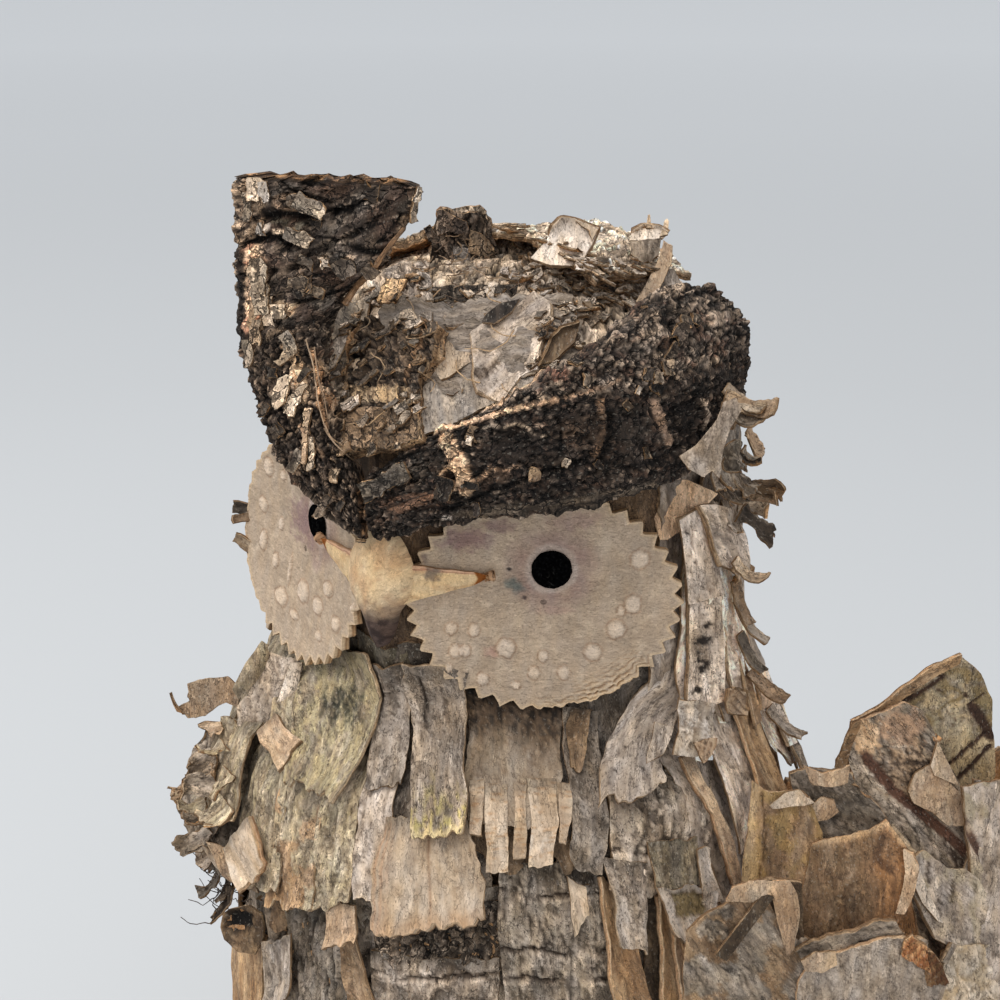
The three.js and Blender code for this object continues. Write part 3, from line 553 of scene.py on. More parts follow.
def leaf(bag, pos, nrm, up, w, l, kind="cream", seed=0, roll=0.0, pitch=0.0, power=1.5, anchor=0.1, res=0.7, t=0.9, jag=1.2,
         taper=1.0, lift=0.4, twist=0.0, under=(186, 152, 112), relief=0.7, edge_w=0.9, scaly=0.0, coarse=2, rows=2, rim=None,
         spin=0.0, feature=None, keep_as=None, wave=0.5, peel=0.7, tone=1.0, chip=False):
    """A small flake or curl. pos is where it is fastened, anchor that point's share of the length from its upper end; up is
    the way its upper end points. roll bends it across (its sides lift for a positive angle), pitch along (its foot lifts)."""
    pos, nrm, up = [np.asarray(a, float) for a in (pos, nrm, up)]
    res = res * 1.25
    nrm = unit(nrm)
    up = unit(up - nrm * (up @ nrm))
    if spin:
        a = math.radians(spin)
        up = unit(up * math.cos(a) + np.cross(nrm, up) * math.sin(a))
    rt = np.cross(up, nrm)
    nu = coarse * max(2, int(round(w / res / coarse)))
    nv = coarse * max(2, int(round(l / res / coarse)))
    u = np.linspace(-1, 1, nu + 1)[None, :]
    v = np.linspace(0, 1, nv + 1)[:, None]
    xm = u * w / 2
    al = v * l
    tl = jag * (0.8 * n2(al / 6, 1.3, seed + 1) + 0.5 * n2(al / 1.8, 1.9, seed + 2))
    tr = jag * (0.8 * n2(al / 6, 2.3, seed + 3) + 0.5 * n2(al / 1.8, 2.9, seed + 4))
    half = w / 2 * lerp(1.0, taper, v)
    if chip:
        g = np.random.default_rng(seed + 77).random(10)
        prof = lambda q: np.interp(v, [0, 0.22 + 0.12 * q[4], 0.68 + 0.12 * q[3], 1], 0.25 + 0.85 * q[:4])
        half = np.where(u < 0, w / 2 * prof(g[:5]), w / 2 * prof(g[5:]))
    x = np.where(u < 0, u * np.maximum(0.6, half + tl), u * np.maximum(0.6, half + tr))
    foot = jag * (0.9 * n2(xm / 4, 3.3, seed + 5) + 0.5 * n2(xm / 1.4, 3.9, seed + 6))
    head = jag * 0.7 * (0.9 * n2(xm / 4, 4.3, seed + 7) + 0.5 * n2(xm / 1.4, 4.9, seed + 8))
    a = -head + v * (l + foot + head)
    ya = a - anchor * l
    k = np.radians(pitch) / max(1e-6, (1 - anchor) * l) * np.ones_like(a)
    phi = np.where(ya > 0, np.radians(pitch) * clamp01(ya / ((1 - anchor) * l)) ** power, np.radians(-pitch * 0.25) * clamp01(-ya / max(1e-6, anchor * l)) * 0)
    da = np.gradient(a, axis=0)
    down = np.cumsum(np.cos(phi) * da, 0)
    outw = np.cumsum(np.sin(phi) * da, 0)
    row = int(round(anchor * nv))
    down = down - down[row:row + 1]
    outw = outw - outw[row:row + 1]
    ra = np.radians(roll) * (0.35 + 0.65 * v)
    if roll:
        rad = w / np.where(np.abs(ra) < 0.02, 0.02, ra)
        ang = x / rad
        xs, zs = rad * np.sin(ang), rad * (1 - np.cos(ang))
    else:
        xs, zs = x, 0 * x
    if twist:
        tw = np.radians(twist) * v
        xs, zs = xs * np.cos(tw) - zs * np.sin(tw), xs * np.sin(tw) + zs * np.cos(tw)
    zs = zs + wave * 0.5 * fbm(xm / 5 + 0 * v, al / 6, 2, seed + 9)
    yy = -down + zs * np.sin(phi) * 0.999
    zz = outw + zs * np.cos(phi) + lift + t
    p0 = pos + rt * xs[..., None] + up * yy[..., None] + nrm * zz[..., None]
    edge = np.minimum(np.minimum(np.abs(1 - np.abs(u)) * w / 2 + 0 * v, (1 - v) * l), v * l)
    s, tt = x + 0 * v, a + 0 * u
    h, col = surface(kind, s, tt, edge, seed, relief, scaly, edge_w, 0.4, peel, (3, 5))
    if feature is not None:
        col, h = feature(col, h, u + 0 * v, v + 0 * u, s, tt, edge)
    col = col * tone
    st = np.stack(np.broadcast_arrays(s, tt, seed * 3.1 + 0 * s), -1)
    bag.add(*sheet_arrays(p0, h, t, col, st, under, seed, rows, 0.25, coarse, rim, keep_as))


def thread(bag, pts, r0=0.35, r1=0.12, sides=5, color=(196, 178, 146), seed=0, wob=0.6, n=None):
    """A fibre or splinter: a thin closed rod along points, mm."""
    pts = np.asarray(pts, float)
    seg = np.linalg.norm(np.diff(pts, axis=0), axis=1)
    at = np.concatenate([[0], np.cumsum(seg)])
    n = n or max(6, int(at[-1] / 1.2))
    f = np.linspace(0, at[-1], n)
    line = np.stack([np.interp(f, at, pts[:, i]) for i in range(3)], -1)
    w = np.sin(np.linspace(0, math.pi, n))
    line = line + np.stack([n2(f / 6, i * 3.1, seed + i) for i in range(3)], -1) * (wob * w)[:, None]
    tang = unit(np.gradient(line, axis=0))
    ref = np.array([0.3, 0.2, 0.93])
    s1 = unit(np.cross(tang, ref))
    s2 = np.cross(tang, s1)
    rr = lerp(r0, r1, np.linspace(0, 1, n)) * (1 + 0.25 * n2(f / 1.7, 9.1, seed + 5))
    a = np.arange(sides) / sides * 2 * math.pi
    ring = line[:, None] + (s1[:, None] * np.cos(a)[None, :, None] + s2[:, None] * np.sin(a)[None, :, None]) * rr[:, None, None]
    v = np.concatenate([ring.reshape(-1, 3), line[:1] - tang[:1] * r0 * 0.4, line[-1:] + tang[-1:] * r1 * 1.5])
    ids = np.arange(n * sides).reshape(n, sides)
    q = np.stack([ids[:-1], np.roll(ids, -1, 1)[:-1], np.roll(ids, -1, 1)[1:], ids[1:]], -1).reshape(-1, 4)
    c0, c1 = n * sides, n * sides + 1
    t = np.concatenate([np.stack([np.roll(ids[0], -1), ids[0], np.full(sides, c0)], -1), np.stack([ids[-1], np.roll(ids[-1], -1), np.full(sides, c1)], -1)])
    tone = 1 + 0.2 * n2(np.repeat(f, sides) / 2.5, np.tile(a, n), seed)
    col = np.concatenate([np.array(color, float) * tone[:, None], np.array([color, color], float)])
    st = np.concatenate([np.stack([np.tile(a * rr.mean(), n), np.repeat(f, sides), np.full(n * sides, seed * 1.7)], -1), np.zeros((2, 3))])
    bag.add(v, q, t, np.clip(col, 4, 250), st)


def seen(px, py, off=4.0):
    """The point of the body's surface, raised by off, that the picture shows at (px, py), with the outward normal, th and z."""
    d = unit(-TOWARD + RIGHT * (px - 500) / 1700 + UP * (500 - py) / 1700)
    t = np.arange(330, 760, 0.25)
    q = EYE + d * t[:, None]
    z = q[:, 2].copy()
    for _ in range(6):
        z = q[:, 2] - CROWN_TILT * q[:, 1] * clamp01((z - 320) / 43)
    th = np.degrees(np.arctan2(q[:, 0], -q[:, 1] / DEPTH_SHARE))
    r = np.hypot(q[:, 0], q[:, 1] / DEPTH_SHARE)
    gap = np.maximum(r - surface_radius(th, np.clip(z, 15, 365)) - off, z - TOP_Z - off)
    i = int(np.argmax(gap < 0)) if (gap < 0).any() else int(np.argmin(gap))
    th, z = th[i], z[i]
    zc = min(z, 364.0)
    f = lambda a, b: around(a, surface_radius(a, b) + off, b)
    if z >= 364:
        n = np.array([0, CROWN_TILT * 0.9, 1.0])
    else:
        n = np.cross(f(th + 0.5, zc) - f(th - 0.5, zc), f(th, zc + 0.5) - f(th, zc - 0.5))
    return q[i], unit(n), th, z


def picture(p):
    q = p - EYE
    d = -(q @ TOWARD)
    return 500 + 1700 * (q @ RIGHT) / d, 500 - 1700 * (q @ UP) / d, d


def on(names, px, py):
    """The point of the named pieces that the picture shows at (px, py), and its normal."""
    best = None
    for name in ([names] if isinstance(names, str) else names):
        p, n = CARRIERS[name]
        x, y, d = picture(p)
        ok = np.nonzero((np.hypot(x - px, y - py) < 5) & ((n @ TOWARD) > -0.1))[0]
        if len(ok):
            score = d[ok] + 0.6 * np.hypot(x[ok] - px, y[ok] - py)
            k = ok[np.argmin(score)]
            if best is None or score.min() < best[0]:
                best = (score.min(), p[k], n[k])
    if best is None:
        p, n = seen(px, py)[:2]
        return p, n
    return best[1], best[2]


# ------------------------------------------------------------------ materials
def bark_material(name, rough=0.86, streak=0.30, fine=0.22, crack=0.45, bump=0.35, scale=1.0, aspect=7.0, spec=0.25, warm=0.10, fleck=0.12, layers=0.16, plates=0.0):
    """The vertex colours, varied by grain, pores and fine cracks that follow the piece's own grain, with wear and bump;
    painted shadow lines at the edges of flakes and layers, and a painted highlight along the plates' ledges.
    """
    m = bpy.data.materials.new(name)
    m.use_nodes = True
    nt = m.node_tree
    nt.nodes.clear()
    new, link = nt.nodes.new, nt.links.new
    out = new("ShaderNodeOutputMaterial")
    bsdf = new("ShaderNodeBsdfPrincipled")
    link(bsdf.outputs[0], out.inputs[0])
    bsdf.inputs["Specular IOR Level"].default_value = spec
    colr = new("ShaderNodeAttribute")
    colr.attribute_name = "Col"
    st = new("ShaderNodeAttribute")
    st.attribute_name = "st"

    def mapped(sx, sy, sz=1.0):
        mp = new("ShaderNodeMapping")
        mp.inputs["Scale"].default_value = (sx * scale, sy * scale, sz)
        link(st.outputs["Vector"], mp.inputs["Vector"])
        return mp.outputs[0]

    def noise(vec, sc, detail=5.0, roughness=0.6, distortion=0.0):
        n = new("ShaderNodeTexNoise")
        n.inputs["Scale"].default_value = sc
        n.inputs["Detail"].default_value = detail
        n.inputs["Roughness"].default_value = roughness
        n.inputs["Distortion"].default_value = distortion
        link(vec, n.inputs["Vector"])
        return n.outputs["Fac"]

    def rng(val, a, b, c, d):
        r = new("ShaderNodeMapRange")
        r.inputs["From Min"].default_value = a
        r.inputs["From Max"].default_value = b
        r.inputs["To Min"].default_value = c
        r.inputs["To Max"].default_value = d
        link(val, r.inputs["Value"])
        return r.outputs[0]

    def math_(op, a, b=None, bval=None):
        n = new("ShaderNodeMath")
        n.operation = op
        link(a, n.inputs[0])
        if b is not None:
            link(b, n.inputs[1])
        elif bval is not None:
            n.inputs[1].default_value = bval
        return n.outputs[0]

    def line(val, w):
        return rng(math_("ABSOLUTE", math_("SUBTRACT", val, None, 0.5)), w * 0.45, w, 1.0, 0.0)

    a = 7.0 / aspect
    grain = noise(mapped(1.25, 0.34 * a), 1.0, 2.0, 0.70)
    grit = noise(mapped(2.2, 1.6), 1.0, 2.0, 0.75)
    gate = noise(mapped(0.16, 0.07 * a), 1.0, 1.0, 0.5)
    vein = math_("MULTIPLY", line(noise(mapped(0.42, 0.06 * a), 1.0, 3.0, 0.62, 0.6), 0.012), rng(gate, 0.46, 0.54, 0.0, 1.0))
    vein2 = math_("MULTIPLY", line(noise(mapped(0.8, 0.2 * a), 1.0, 2.0, 0.62), 0.014), rng(gate, 0.46, 0.38, 0.0, 0.6))
    cross = math_("MULTIPLY", line(noise(mapped(0.12, 0.5), 1.0, 3.0, 0.62), 0.012), rng(gate, 0.54, 0.60, 0.0, 0.8))
    vein = math_("MAXIMUM", math_("MAXIMUM", vein, vein2), cross)
    flake_n = noise(mapped(0.42, 0.20 * a), 1.0, 3.0, 0.66)
    flake = rng(flake_n, 0.560, 0.572, 0.0, 1.0)
    lip = rng(math_("ABSOLUTE", math_("SUBTRACT", flake_n, None, 0.553)), 0.003, 0.012, 1.0, 0.0)
    tone = math_("MULTIPLY", rng(grain, 0.28, 0.72, 1 - streak, 1 + streak), rng(grit, 0.28, 0.72, 1 - fine, 1 + fine))
    tone = math_("MULTIPLY", tone, rng(flake, 0.0, 1.0, 1.0, 1.0 + 1.2 * fine))
    # painted shadow: a dark line just outside each raised flake
    tone = math_("MULTIPLY", tone, rng(lip, 0.0, 1.0, 1.0, 1.0 - 1.7 * crack * 0.6))
    if layers:
        layer_n = noise(mapped(0.15, 0.07 * a), 1.0, 4.0, 0.64)
        layer = rng(layer_n, 0.535, 0.541, 0.0, 1.0)
        upper = rng(layer_n, 0.425, 0.419, 0.0, 1.0)
        shade = rng(math_("ABSOLUTE", math_("SUBTRACT", layer_n, None, 0.545)), 0.001, 0.007, 1.0, 0.0)
        tone = math_("MULTIPLY", tone, rng(layer, 0.0, 1.0, 1.0, 1.0 - layers))
        tone = math_("MULTIPLY", tone, rng(upper, 0.0, 1.0, 1.0, 1.0 + 0.7 * layers))
        tone = math_("MULTIPLY", tone, rng(shade, 0.0, 1.0, 1.0, 1.0 - min(0.75, 2.6 * layers)))
    if plates:
        wob = new("ShaderNodeTexNoise")
        wob.inputs["Scale"].default_value = 1.0
        wob.inputs["Detail"].default_value = 2.0
        link(mapped(0.42, 0.34), wob.inputs["Vector"])
        off = new("ShaderNodeVectorMath")
        off.operation = "MULTIPLY_ADD"
        link(wob.outputs["Color"], off.inputs[0])
        off.inputs[1].default_value = (1.1, 1.1, 0.4)
        link(mapped(0.20, 0.125, 0.2), off.inputs[2])
        cell = new("ShaderNodeTexVoronoi")
        cell.feature = "DISTANCE_TO_EDGE"
        cell.inputs["Scale"].default_value = 1.0
        link(off.outputs[0], cell.inputs["Vector"])
        each = new("ShaderNodeTexVoronoi")
        each.inputs["Scale"].default_value = 1.0
        link(off.outputs[0], each.inputs["Vector"])
        part = new("ShaderNodeSeparateColor")
        link(each.outputs["Color"], part.inputs[0])
        split = rng(cell.outputs["Distance"], 0.012, 0.05, 1.0, 0.0)
        ledge = rng(math_("ABSOLUTE", math_("SUBTRACT", cell.outputs["Distance"], None, 0.075)), 0.008, 0.03, 1.0, 0.0)
        tone = math_("MULTIPLY", tone, rng(part.outputs[0], 0.0, 1.0, 1 - 0.42 * plates, 1 + 0.5 * plates))
        # painted highlight: a light band along each plate's ledge, just inside its edge
        tone = math_("MULTIPLY", tone, rng(ledge, 0.0, 1.0, 1.0, 1 + 0.8 * plates))
        tone = math_("MULTIPLY", tone, rng(split, 0.0, 1.0, 1.0, 1 - 0.8 * plates))
    hue = noise(mapped(0.25, 0.09), 1.0, 1.0)
    mul = new("ShaderNodeMix")
    mul.data_type = "RGBA"
    mul.blend_type = "MULTIPLY"
    mul.inputs["Factor"].default_value = 1.0
    link(colr.outputs["Color"], mul.inputs["A"])
    comb = new("ShaderNodeCombineColor")
    link(math_("MULTIPLY", tone, rng(hue, 0.3, 0.7, 1 - warm * 0.3, 1 + warm * 0.6)), comb.inputs[0])
    link(tone, comb.inputs[1])
    link(math_("MULTIPLY", tone, rng(hue, 0.3, 0.7, 1 + warm * 0.5, 1 - warm)), comb.inputs[2])
    link(comb.outputs[0], mul.inputs["B"])
    dark = new("ShaderNodeMix")
    dark.data_type = "RGBA"
    dark.inputs["B"].default_value = (0.035, 0.023, 0.016, 1)
    link(math_("MULTIPLY", vein, None, min(1.0, crack * 1.35)), dark.inputs["Factor"])
    link(mul.outputs["Result"], dark.inputs["A"])
    pale = new("ShaderNodeMix")
    pale.data_type = "RGBA"
    pale.inputs["B"].default_value = (0.62, 0.55, 0.45, 1)
    fleck_n = noise(mapped(1.3, 0.8), 1.0, 1.0, 0.6)
    link(rng(fleck_n, 0.64, 0.68, 0.0, fleck), pale.inputs["Factor"])
    link(dark.outputs["Result"], pale.inputs["A"])
    pit = new("ShaderNodeMix")
    pit.data_type = "RGBA"
    pit.inputs["B"].default_value = (0.05, 0.036, 0.026, 1)
    link(rng(fleck_n, 0.345, 0.305, 0.0, min(1.0, crack * 1.3)), pit.inputs["Factor"])
    link(pale.outputs["Result"], pit.inputs["A"])
    link(pit.outputs["Result"], bsdf.inputs["Base Color"])
    link(rng(grit, 0.2, 0.8, rough - 0.12, min(1.0, rough + 0.1)), bsdf.inputs["Roughness"])
    height = math_("ADD", math_("MULTIPLY", grain, None, 0.36), math_("MULTIPLY", grit, None, 0.42))
    height = math_("ADD", height, math_("MULTIPLY", flake, None, 0.45 * min(1.0, 0.2 + crack * 2.5)))
    if layers:
        height = math_("SUBTRACT", height, math_("MULTIPLY", layer, None, 0.9))
        height = math_("ADD", height, math_("MULTIPLY", upper, None, 0.7))
    if plates:
        height = math_("SUBTRACT", height, math_("MULTIPLY", split, None, 1.6 * plates))
        height = math_("ADD", height, math_("MULTIPLY", part.outputs[1], None, 1.1 * plates))
    bp = new("ShaderNodeBump")
    bp.inputs["Strength"].default_value = 1.0
    bp.inputs["Distance"].default_value = bump / 1000
    link(height, bp.inputs["Height"])
    link(bp.outputs[0], bsdf.inputs["Normal"])
    return m


MATERIALS = {
    "bark_core": bark_material("bark_core", 0.95, 0.36, 0.35, 0.6, 0.6, fleck=0.05),
    "base_wood": bark_material("base_wood", 0.80, 0.18, 0.14, 0.5, 0.30, aspect=5, layers=0.0),
    "face_disc_bark": bark_material("face_disc_bark", 0.84, 0.05, 0.15, 0.02, 0.24, aspect=1.3, warm=0.05, fleck=0.10, layers=0.05),
    "pupil_black": bark_material("pupil_black", 0.7, 0.5, 0.6, 0.0, 0.35, aspect=1.2, spec=0.0, fleck=0.0, layers=0.0),
    "beak_cream": bark_material("beak_cream", 0.72, 0.08, 0.14, 0.12, 0.22, aspect=3, fleck=0.06, layers=0.05),
    "rough_bark": bark_material("rough_bark", 0.92, 0.30, 0.42, 0.75, 0.70, aspect=3, fleck=0.12, layers=0.0, plates=0.8),
    "crown_bark": bark_material("crown_bark", 0.90, 0.22, 0.34, 0.55, 0.50, aspect=3, fleck=0.14, layers=0.14, plates=0.5),
    "inner_bark": bark_material("inner_bark", 0.80, 0.10, 0.15, 0.25, 0.32, fleck=0.10, layers=0.10),
    "tan_bark": bark_material("tan_bark", 0.80, 0.13, 0.24, 0.32, 0.36, fleck=0.14, layers=0.12),
    "pale_bark": bark_material("pale_bark", 0.86, 0.11, 0.19, 0.42, 0.38, fleck=0.16),
    "grey_bark": bark_material("grey_bark", 0.88, 0.14, 0.26, 0.55, 0.45, fleck=0.20),
    "olive_bark": bark_material("olive_bark", 0.88, 0.14, 0.27, 0.50, 0.45, fleck=0.22),
}


# ------------------------------------------------------------------ body and base
def build_body():
    na, nz = 250, 220
    th = np.linspace(0, 360, na, endpoint=False)[None, :]
    z = np.concatenate([np.linspace(14.35, 326, nz - 100), 327 + 38.4 * (1 - (1 - np.linspace(0, 1, 76)) ** 2), np.full(24, 365.4)])[:, None]
    inward = np.concatenate([np.ones(nz - 24), np.linspace(0.955, 0.02, 24)])[:, None]
    smooth_r = (surface_radius(th, z) - CORE_IN * clamp01((FACE_Z[2] - z) / 4)) * inward
    s, t = np.radians(th) * 75 + 0 * z, z + 0 * th
    rough = ridge(s / 7, t / 20, 4, 3) - 0.55
    cx, cy = smooth_r * np.sin(np.radians(th)) + 0.6 * (z - 330), smooth_r * np.cos(np.radians(th)) + 0.5 * (z - 330)
    scale_h, line, num = scales(cx, cy, 9, (4.2, 3.0), 1.0)
    crown = ss(325, 340, z) + 0 * th
    ch = 1.5 * scale_h - 0.9 * line + 1.6 * (ridge(cx / 7, cy / 5, 4, 6) - 0.55) + 0.8 * fbm(cx / 11, cy / 9, 2, 7)
    h = lerp(1.6 * rough, np.clip(ch, -2.2, 1.2), crown)
    face = np.where(surface_radius(th, z) < radius_at(z) - 0.5, 1.0, 0.0)
    h = np.where((face > 0) & (z < 328), np.minimum(h * 0.3, 0.1), h)
    up = crown * ss(346, 361, z)
    p = around(th, smooth_r + h * (1 - up), z)
    p[..., 2] += h * up
    tone = 0.5 + 0.5 * fbm(s / 9, t / 26, 4, 12)
    col = mixc(np.array([58, 47, 38.0]), np.array([104, 88, 70.0]), clamp01(tone))
    streak = fbm(s / 1.4, t / 12, 4, 14, 0.6)
    col = mixc(col, np.array([132, 112, 88.0]), ss(0.2, 0.6, streak) * 0.6)
    _, ccol = surface("weathered", cx, cy, 9 + 0 * s, 17, scaly=0.0)
    ccol = ccol * (0.78 + 0.5 * num)[..., None]
    ccol = mixc(ccol, np.array([176, 164, 146.0]), ss(0.62, 0.8, num) * 0.6)
    # painted shade: the crown is darkened where its relief ch sinks deep, besides the dark lines between the scales
    ccol = mixc(ccol, np.array([40, 32, 26.0]), clamp01(0.85 * line + 0.8 * ss(-0.7, -1.9, ch)))
    col = mixc(col, ccol, crown)
    # painted light and shade: the colour is lighter where the relief h stands high and darker where it sinks
    col = col * (1 + 0.25 * np.clip(h, -1, 1))[..., None]
    st = np.stack([np.where(crown > 0.5, cx, s), np.where(crown > 0.5, cy, t), 0 * s], -1)
    keep("body", p, unit(np.cross(np.gradient(p, axis=1), np.gradient(p, axis=0))))
    n = na * nz
    ids = np.arange(n).reshape(nz, na)
    q = np.stack([ids[:-1], np.roll(ids, -1, 1)[:-1], np.roll(ids, -1, 1)[1:], ids[1:]], -1).reshape(-1, 4)
    v = np.concatenate([p.reshape(-1, 3), around(0, 0, np.array([14.35, 365.9]))])
    tri = np.concatenate([np.stack([np.roll(ids[0], -1), ids[0], np.full(na, n)], -1),
                          np.stack([ids[-1], np.roll(ids[-1], -1), np.full(na, n + 1)], -1)])
    bag = Bag()
    bag.add(v, q, tri, np.concatenate([col.reshape(-1, 3), col[0, :1], col[-1, :1]]), np.concatenate([st.reshape(-1, 3), st[0, :1], st[-1, :1]]))
    bag.make("bark_clad_body_skin", "bark_core", ["bark_clad_body"])


def build_base():
    """A slice of a birch log: cut faces with growth rings and a crack, and papery bark round the edge."""
    na, rings, side = 220, 48, 12
    a = np.linspace(0, 2 * math.pi, na, endpoint=False)[None, :]
    wob = 1 + 0.012 * np.cos(2 * a + 0.6) + 0.008 * np.cos(3 * a - 1)
    rows, cols, sts = [], [], []
    for flip in (0, 1):
        f = np.linspace(0.02, 0.972, rings)[:, None]
        if flip:
            f = f[::-1]
        r = f * (BASE_R - 1.2) * wob * (1 if not flip else 0.985)
        x, y = r * np.cos(a), r * np.sin(a)
        warp = 1.2 * fbm(x / 24, y / 24, 2, 5)
        ringn = np.sin((r + warp) * 2.1 + 0.8 * np.sin(r * 0.31))
        z = (BASE_H - 0.15 + 0.10 * ringn + 0.12 * fbm(x / 2.0, y / 2.0, 2, 8)) if not flip else 0 * x
        crack = ss(0.055, 0.012, np.abs(a - 1.1 - 0.05 * np.sin(r / 7))) * ss(10, 30, r)
        if not flip:
            z = z - 0.9 * crack
        col = mixc(np.array([196, 160, 116.0]), np.array([150, 112, 74.0]), ss(-0.2, 0.9, ringn) * 0.8)
        col = mixc(col, np.array([168, 146, 118.0]), ss(0.0, 0.5, fbm(x / 18, y / 18, 3, 3)) * 0.5)
        col = mixc(col, np.array([66, 46, 32.0]), crack * 0.9)
        col = mixc(col, np.array([96, 66, 44.0]), ss(0.955, 0.972, f + 0 * a) * 0.8)
        rows.append(np.stack([x, y, z], -1))
        cols.append(col)
        sts.append(np.stack(np.broadcast_arrays(a * 20, r, 0.3 + flip + 0 * r), -1))
    zz = np.linspace(1, 0, side)[:, None]
    s, t = a * BASE_R + 0 * zz, zz * BASE_H + 0 * a
    curl = 0.5 * fbm(s / 9, t / 5, 3, 21) + 0.5 * n2(s / 30, t / 9, 22)
    r = (BASE_R - 1.5 * (1 - zz)) * wob - 0.7 + np.clip(curl, -0.9, 0.7)
    _, pale = surface("white", t, s, 5 + 0 * s, 24)
    dash = ss(0.35, 0.5, n2(s / 9, t / 0.9, 26))
    pale = mixc(pale, np.array([84, 66, 52.0]), dash * 0.85)
    pale = mixc(pale, np.array([170, 124, 84.0]), ss(0.25, 0.5, fbm(s / 14, t / 6, 3, 28)) * 0.8)
    z = 0.3 + zz * (BASE_H - 0.6) + 0 * a
    side_p = np.stack([r * np.cos(a), r * np.sin(a), z], -1)
    side_s = np.stack(np.broadcast_arrays(t, s, 3.3 + 0 * s), -1)
    p = np.concatenate([rows[0], side_p, rows[1]])
    c = np.concatenate([cols[0], pale, cols[1]])
    stt = np.concatenate([sts[0], side_s, sts[1]])
    k = len(p)
    ids = np.arange(k * na).reshape(k, na)
    q = np.stack([ids[:-1], ids[1:], np.roll(ids, -1, 1)[1:], np.roll(ids, -1, 1)[:-1]], -1).reshape(-1, 4)
    v = np.concatenate([p.reshape(-1, 3), [[0, 0, BASE_H - 0.15], [0, 0, 0]]])
    tri = np.concatenate([np.stack([ids[0], np.roll(ids[0], -1), np.full(na, k * na)], -1),
                          np.stack([np.roll(ids[-1], -1), ids[-1], np.full(na, k * na + 1)], -1)])
    bag = Bag()
    bag.add(v, q, tri, np.concatenate([c.reshape(-1, 3), [[120, 84, 56], [150, 120, 90]]]), np.concatenate([stt.reshape(-1, 3), np.zeros((2, 3))]))
    bag.make("log_slice", "base_wood", ["log_slice_base"], sharp=50)


# ------------------------------------------------------------------ face
def face_frame(side):
    a = math.radians(side * FACE_TURN)
    n = np.array([math.sin(a), -math.cos(a), 0.0])
    out = np.array([side * math.cos(a), side * math.sin(a), 0.0])
    c = n * DISC_D + out * DISC_SIDE
    c[2] = DISC_Z
    return c, out, np.array([0, 0, 1.0]), n


def to_face(side, x, y, z):
    c, o, u, n = face_frame(side)
    x, y, z = np.broadcast_arrays(x, y, z)
    return c + o * x[..., None] + u * y[..., None] + n * z[..., None]


# blister dots: x outwards, y up from the disc's centre, radius x, radius y (mm)
DOTS = {1: [], -1: []}


def bent(side, x, y):
    """How far the sheet of the owl's right disc stands forward (mm)."""
    x, y = np.broadcast_arrays(x, y)
    if side == 1:
        return 0 * x
    return BEND[0] * clamp01((x - 2) / 40) ** 1.3 + BEND[1] * clamp01((6 - y) / 42) ** 1.3


BEND = (4.0, 8.0)


def unbent(x0, y0):
    """The place on the bent sheet that the picture shows where a flat sheet would show (x0, y0)."""
    x, y = x0, y0
    goal = picture(to_face(-1, np.array(x0), np.array(y0), np.array(DISC_T)))
    for _ in range(12):
        now = picture(to_face(-1, np.array(x), np.array(y), DISC_T + bent(-1, np.array(x), np.array(y))))
        jx = picture(to_face(-1, np.array(x + 0.5), np.array(y), DISC_T + bent(-1, np.array(x + 0.5), np.array(y))))
        jy = picture(to_face(-1, np.array(x), np.array(y + 0.5), DISC_T + bent(-1, np.array(x), np.array(y + 0.5))))
        m = np.array([[jx[0] - now[0], jy[0] - now[0]], [jx[1] - now[1], jy[1] - now[1]]]) / 0.5
        dx, dy = np.linalg.solve(m, [goal[0] - now[0], goal[1] - now[1]])
        x, y = x + 0.8 * dx, y + 0.8 * dy
    return float(x), float(y)


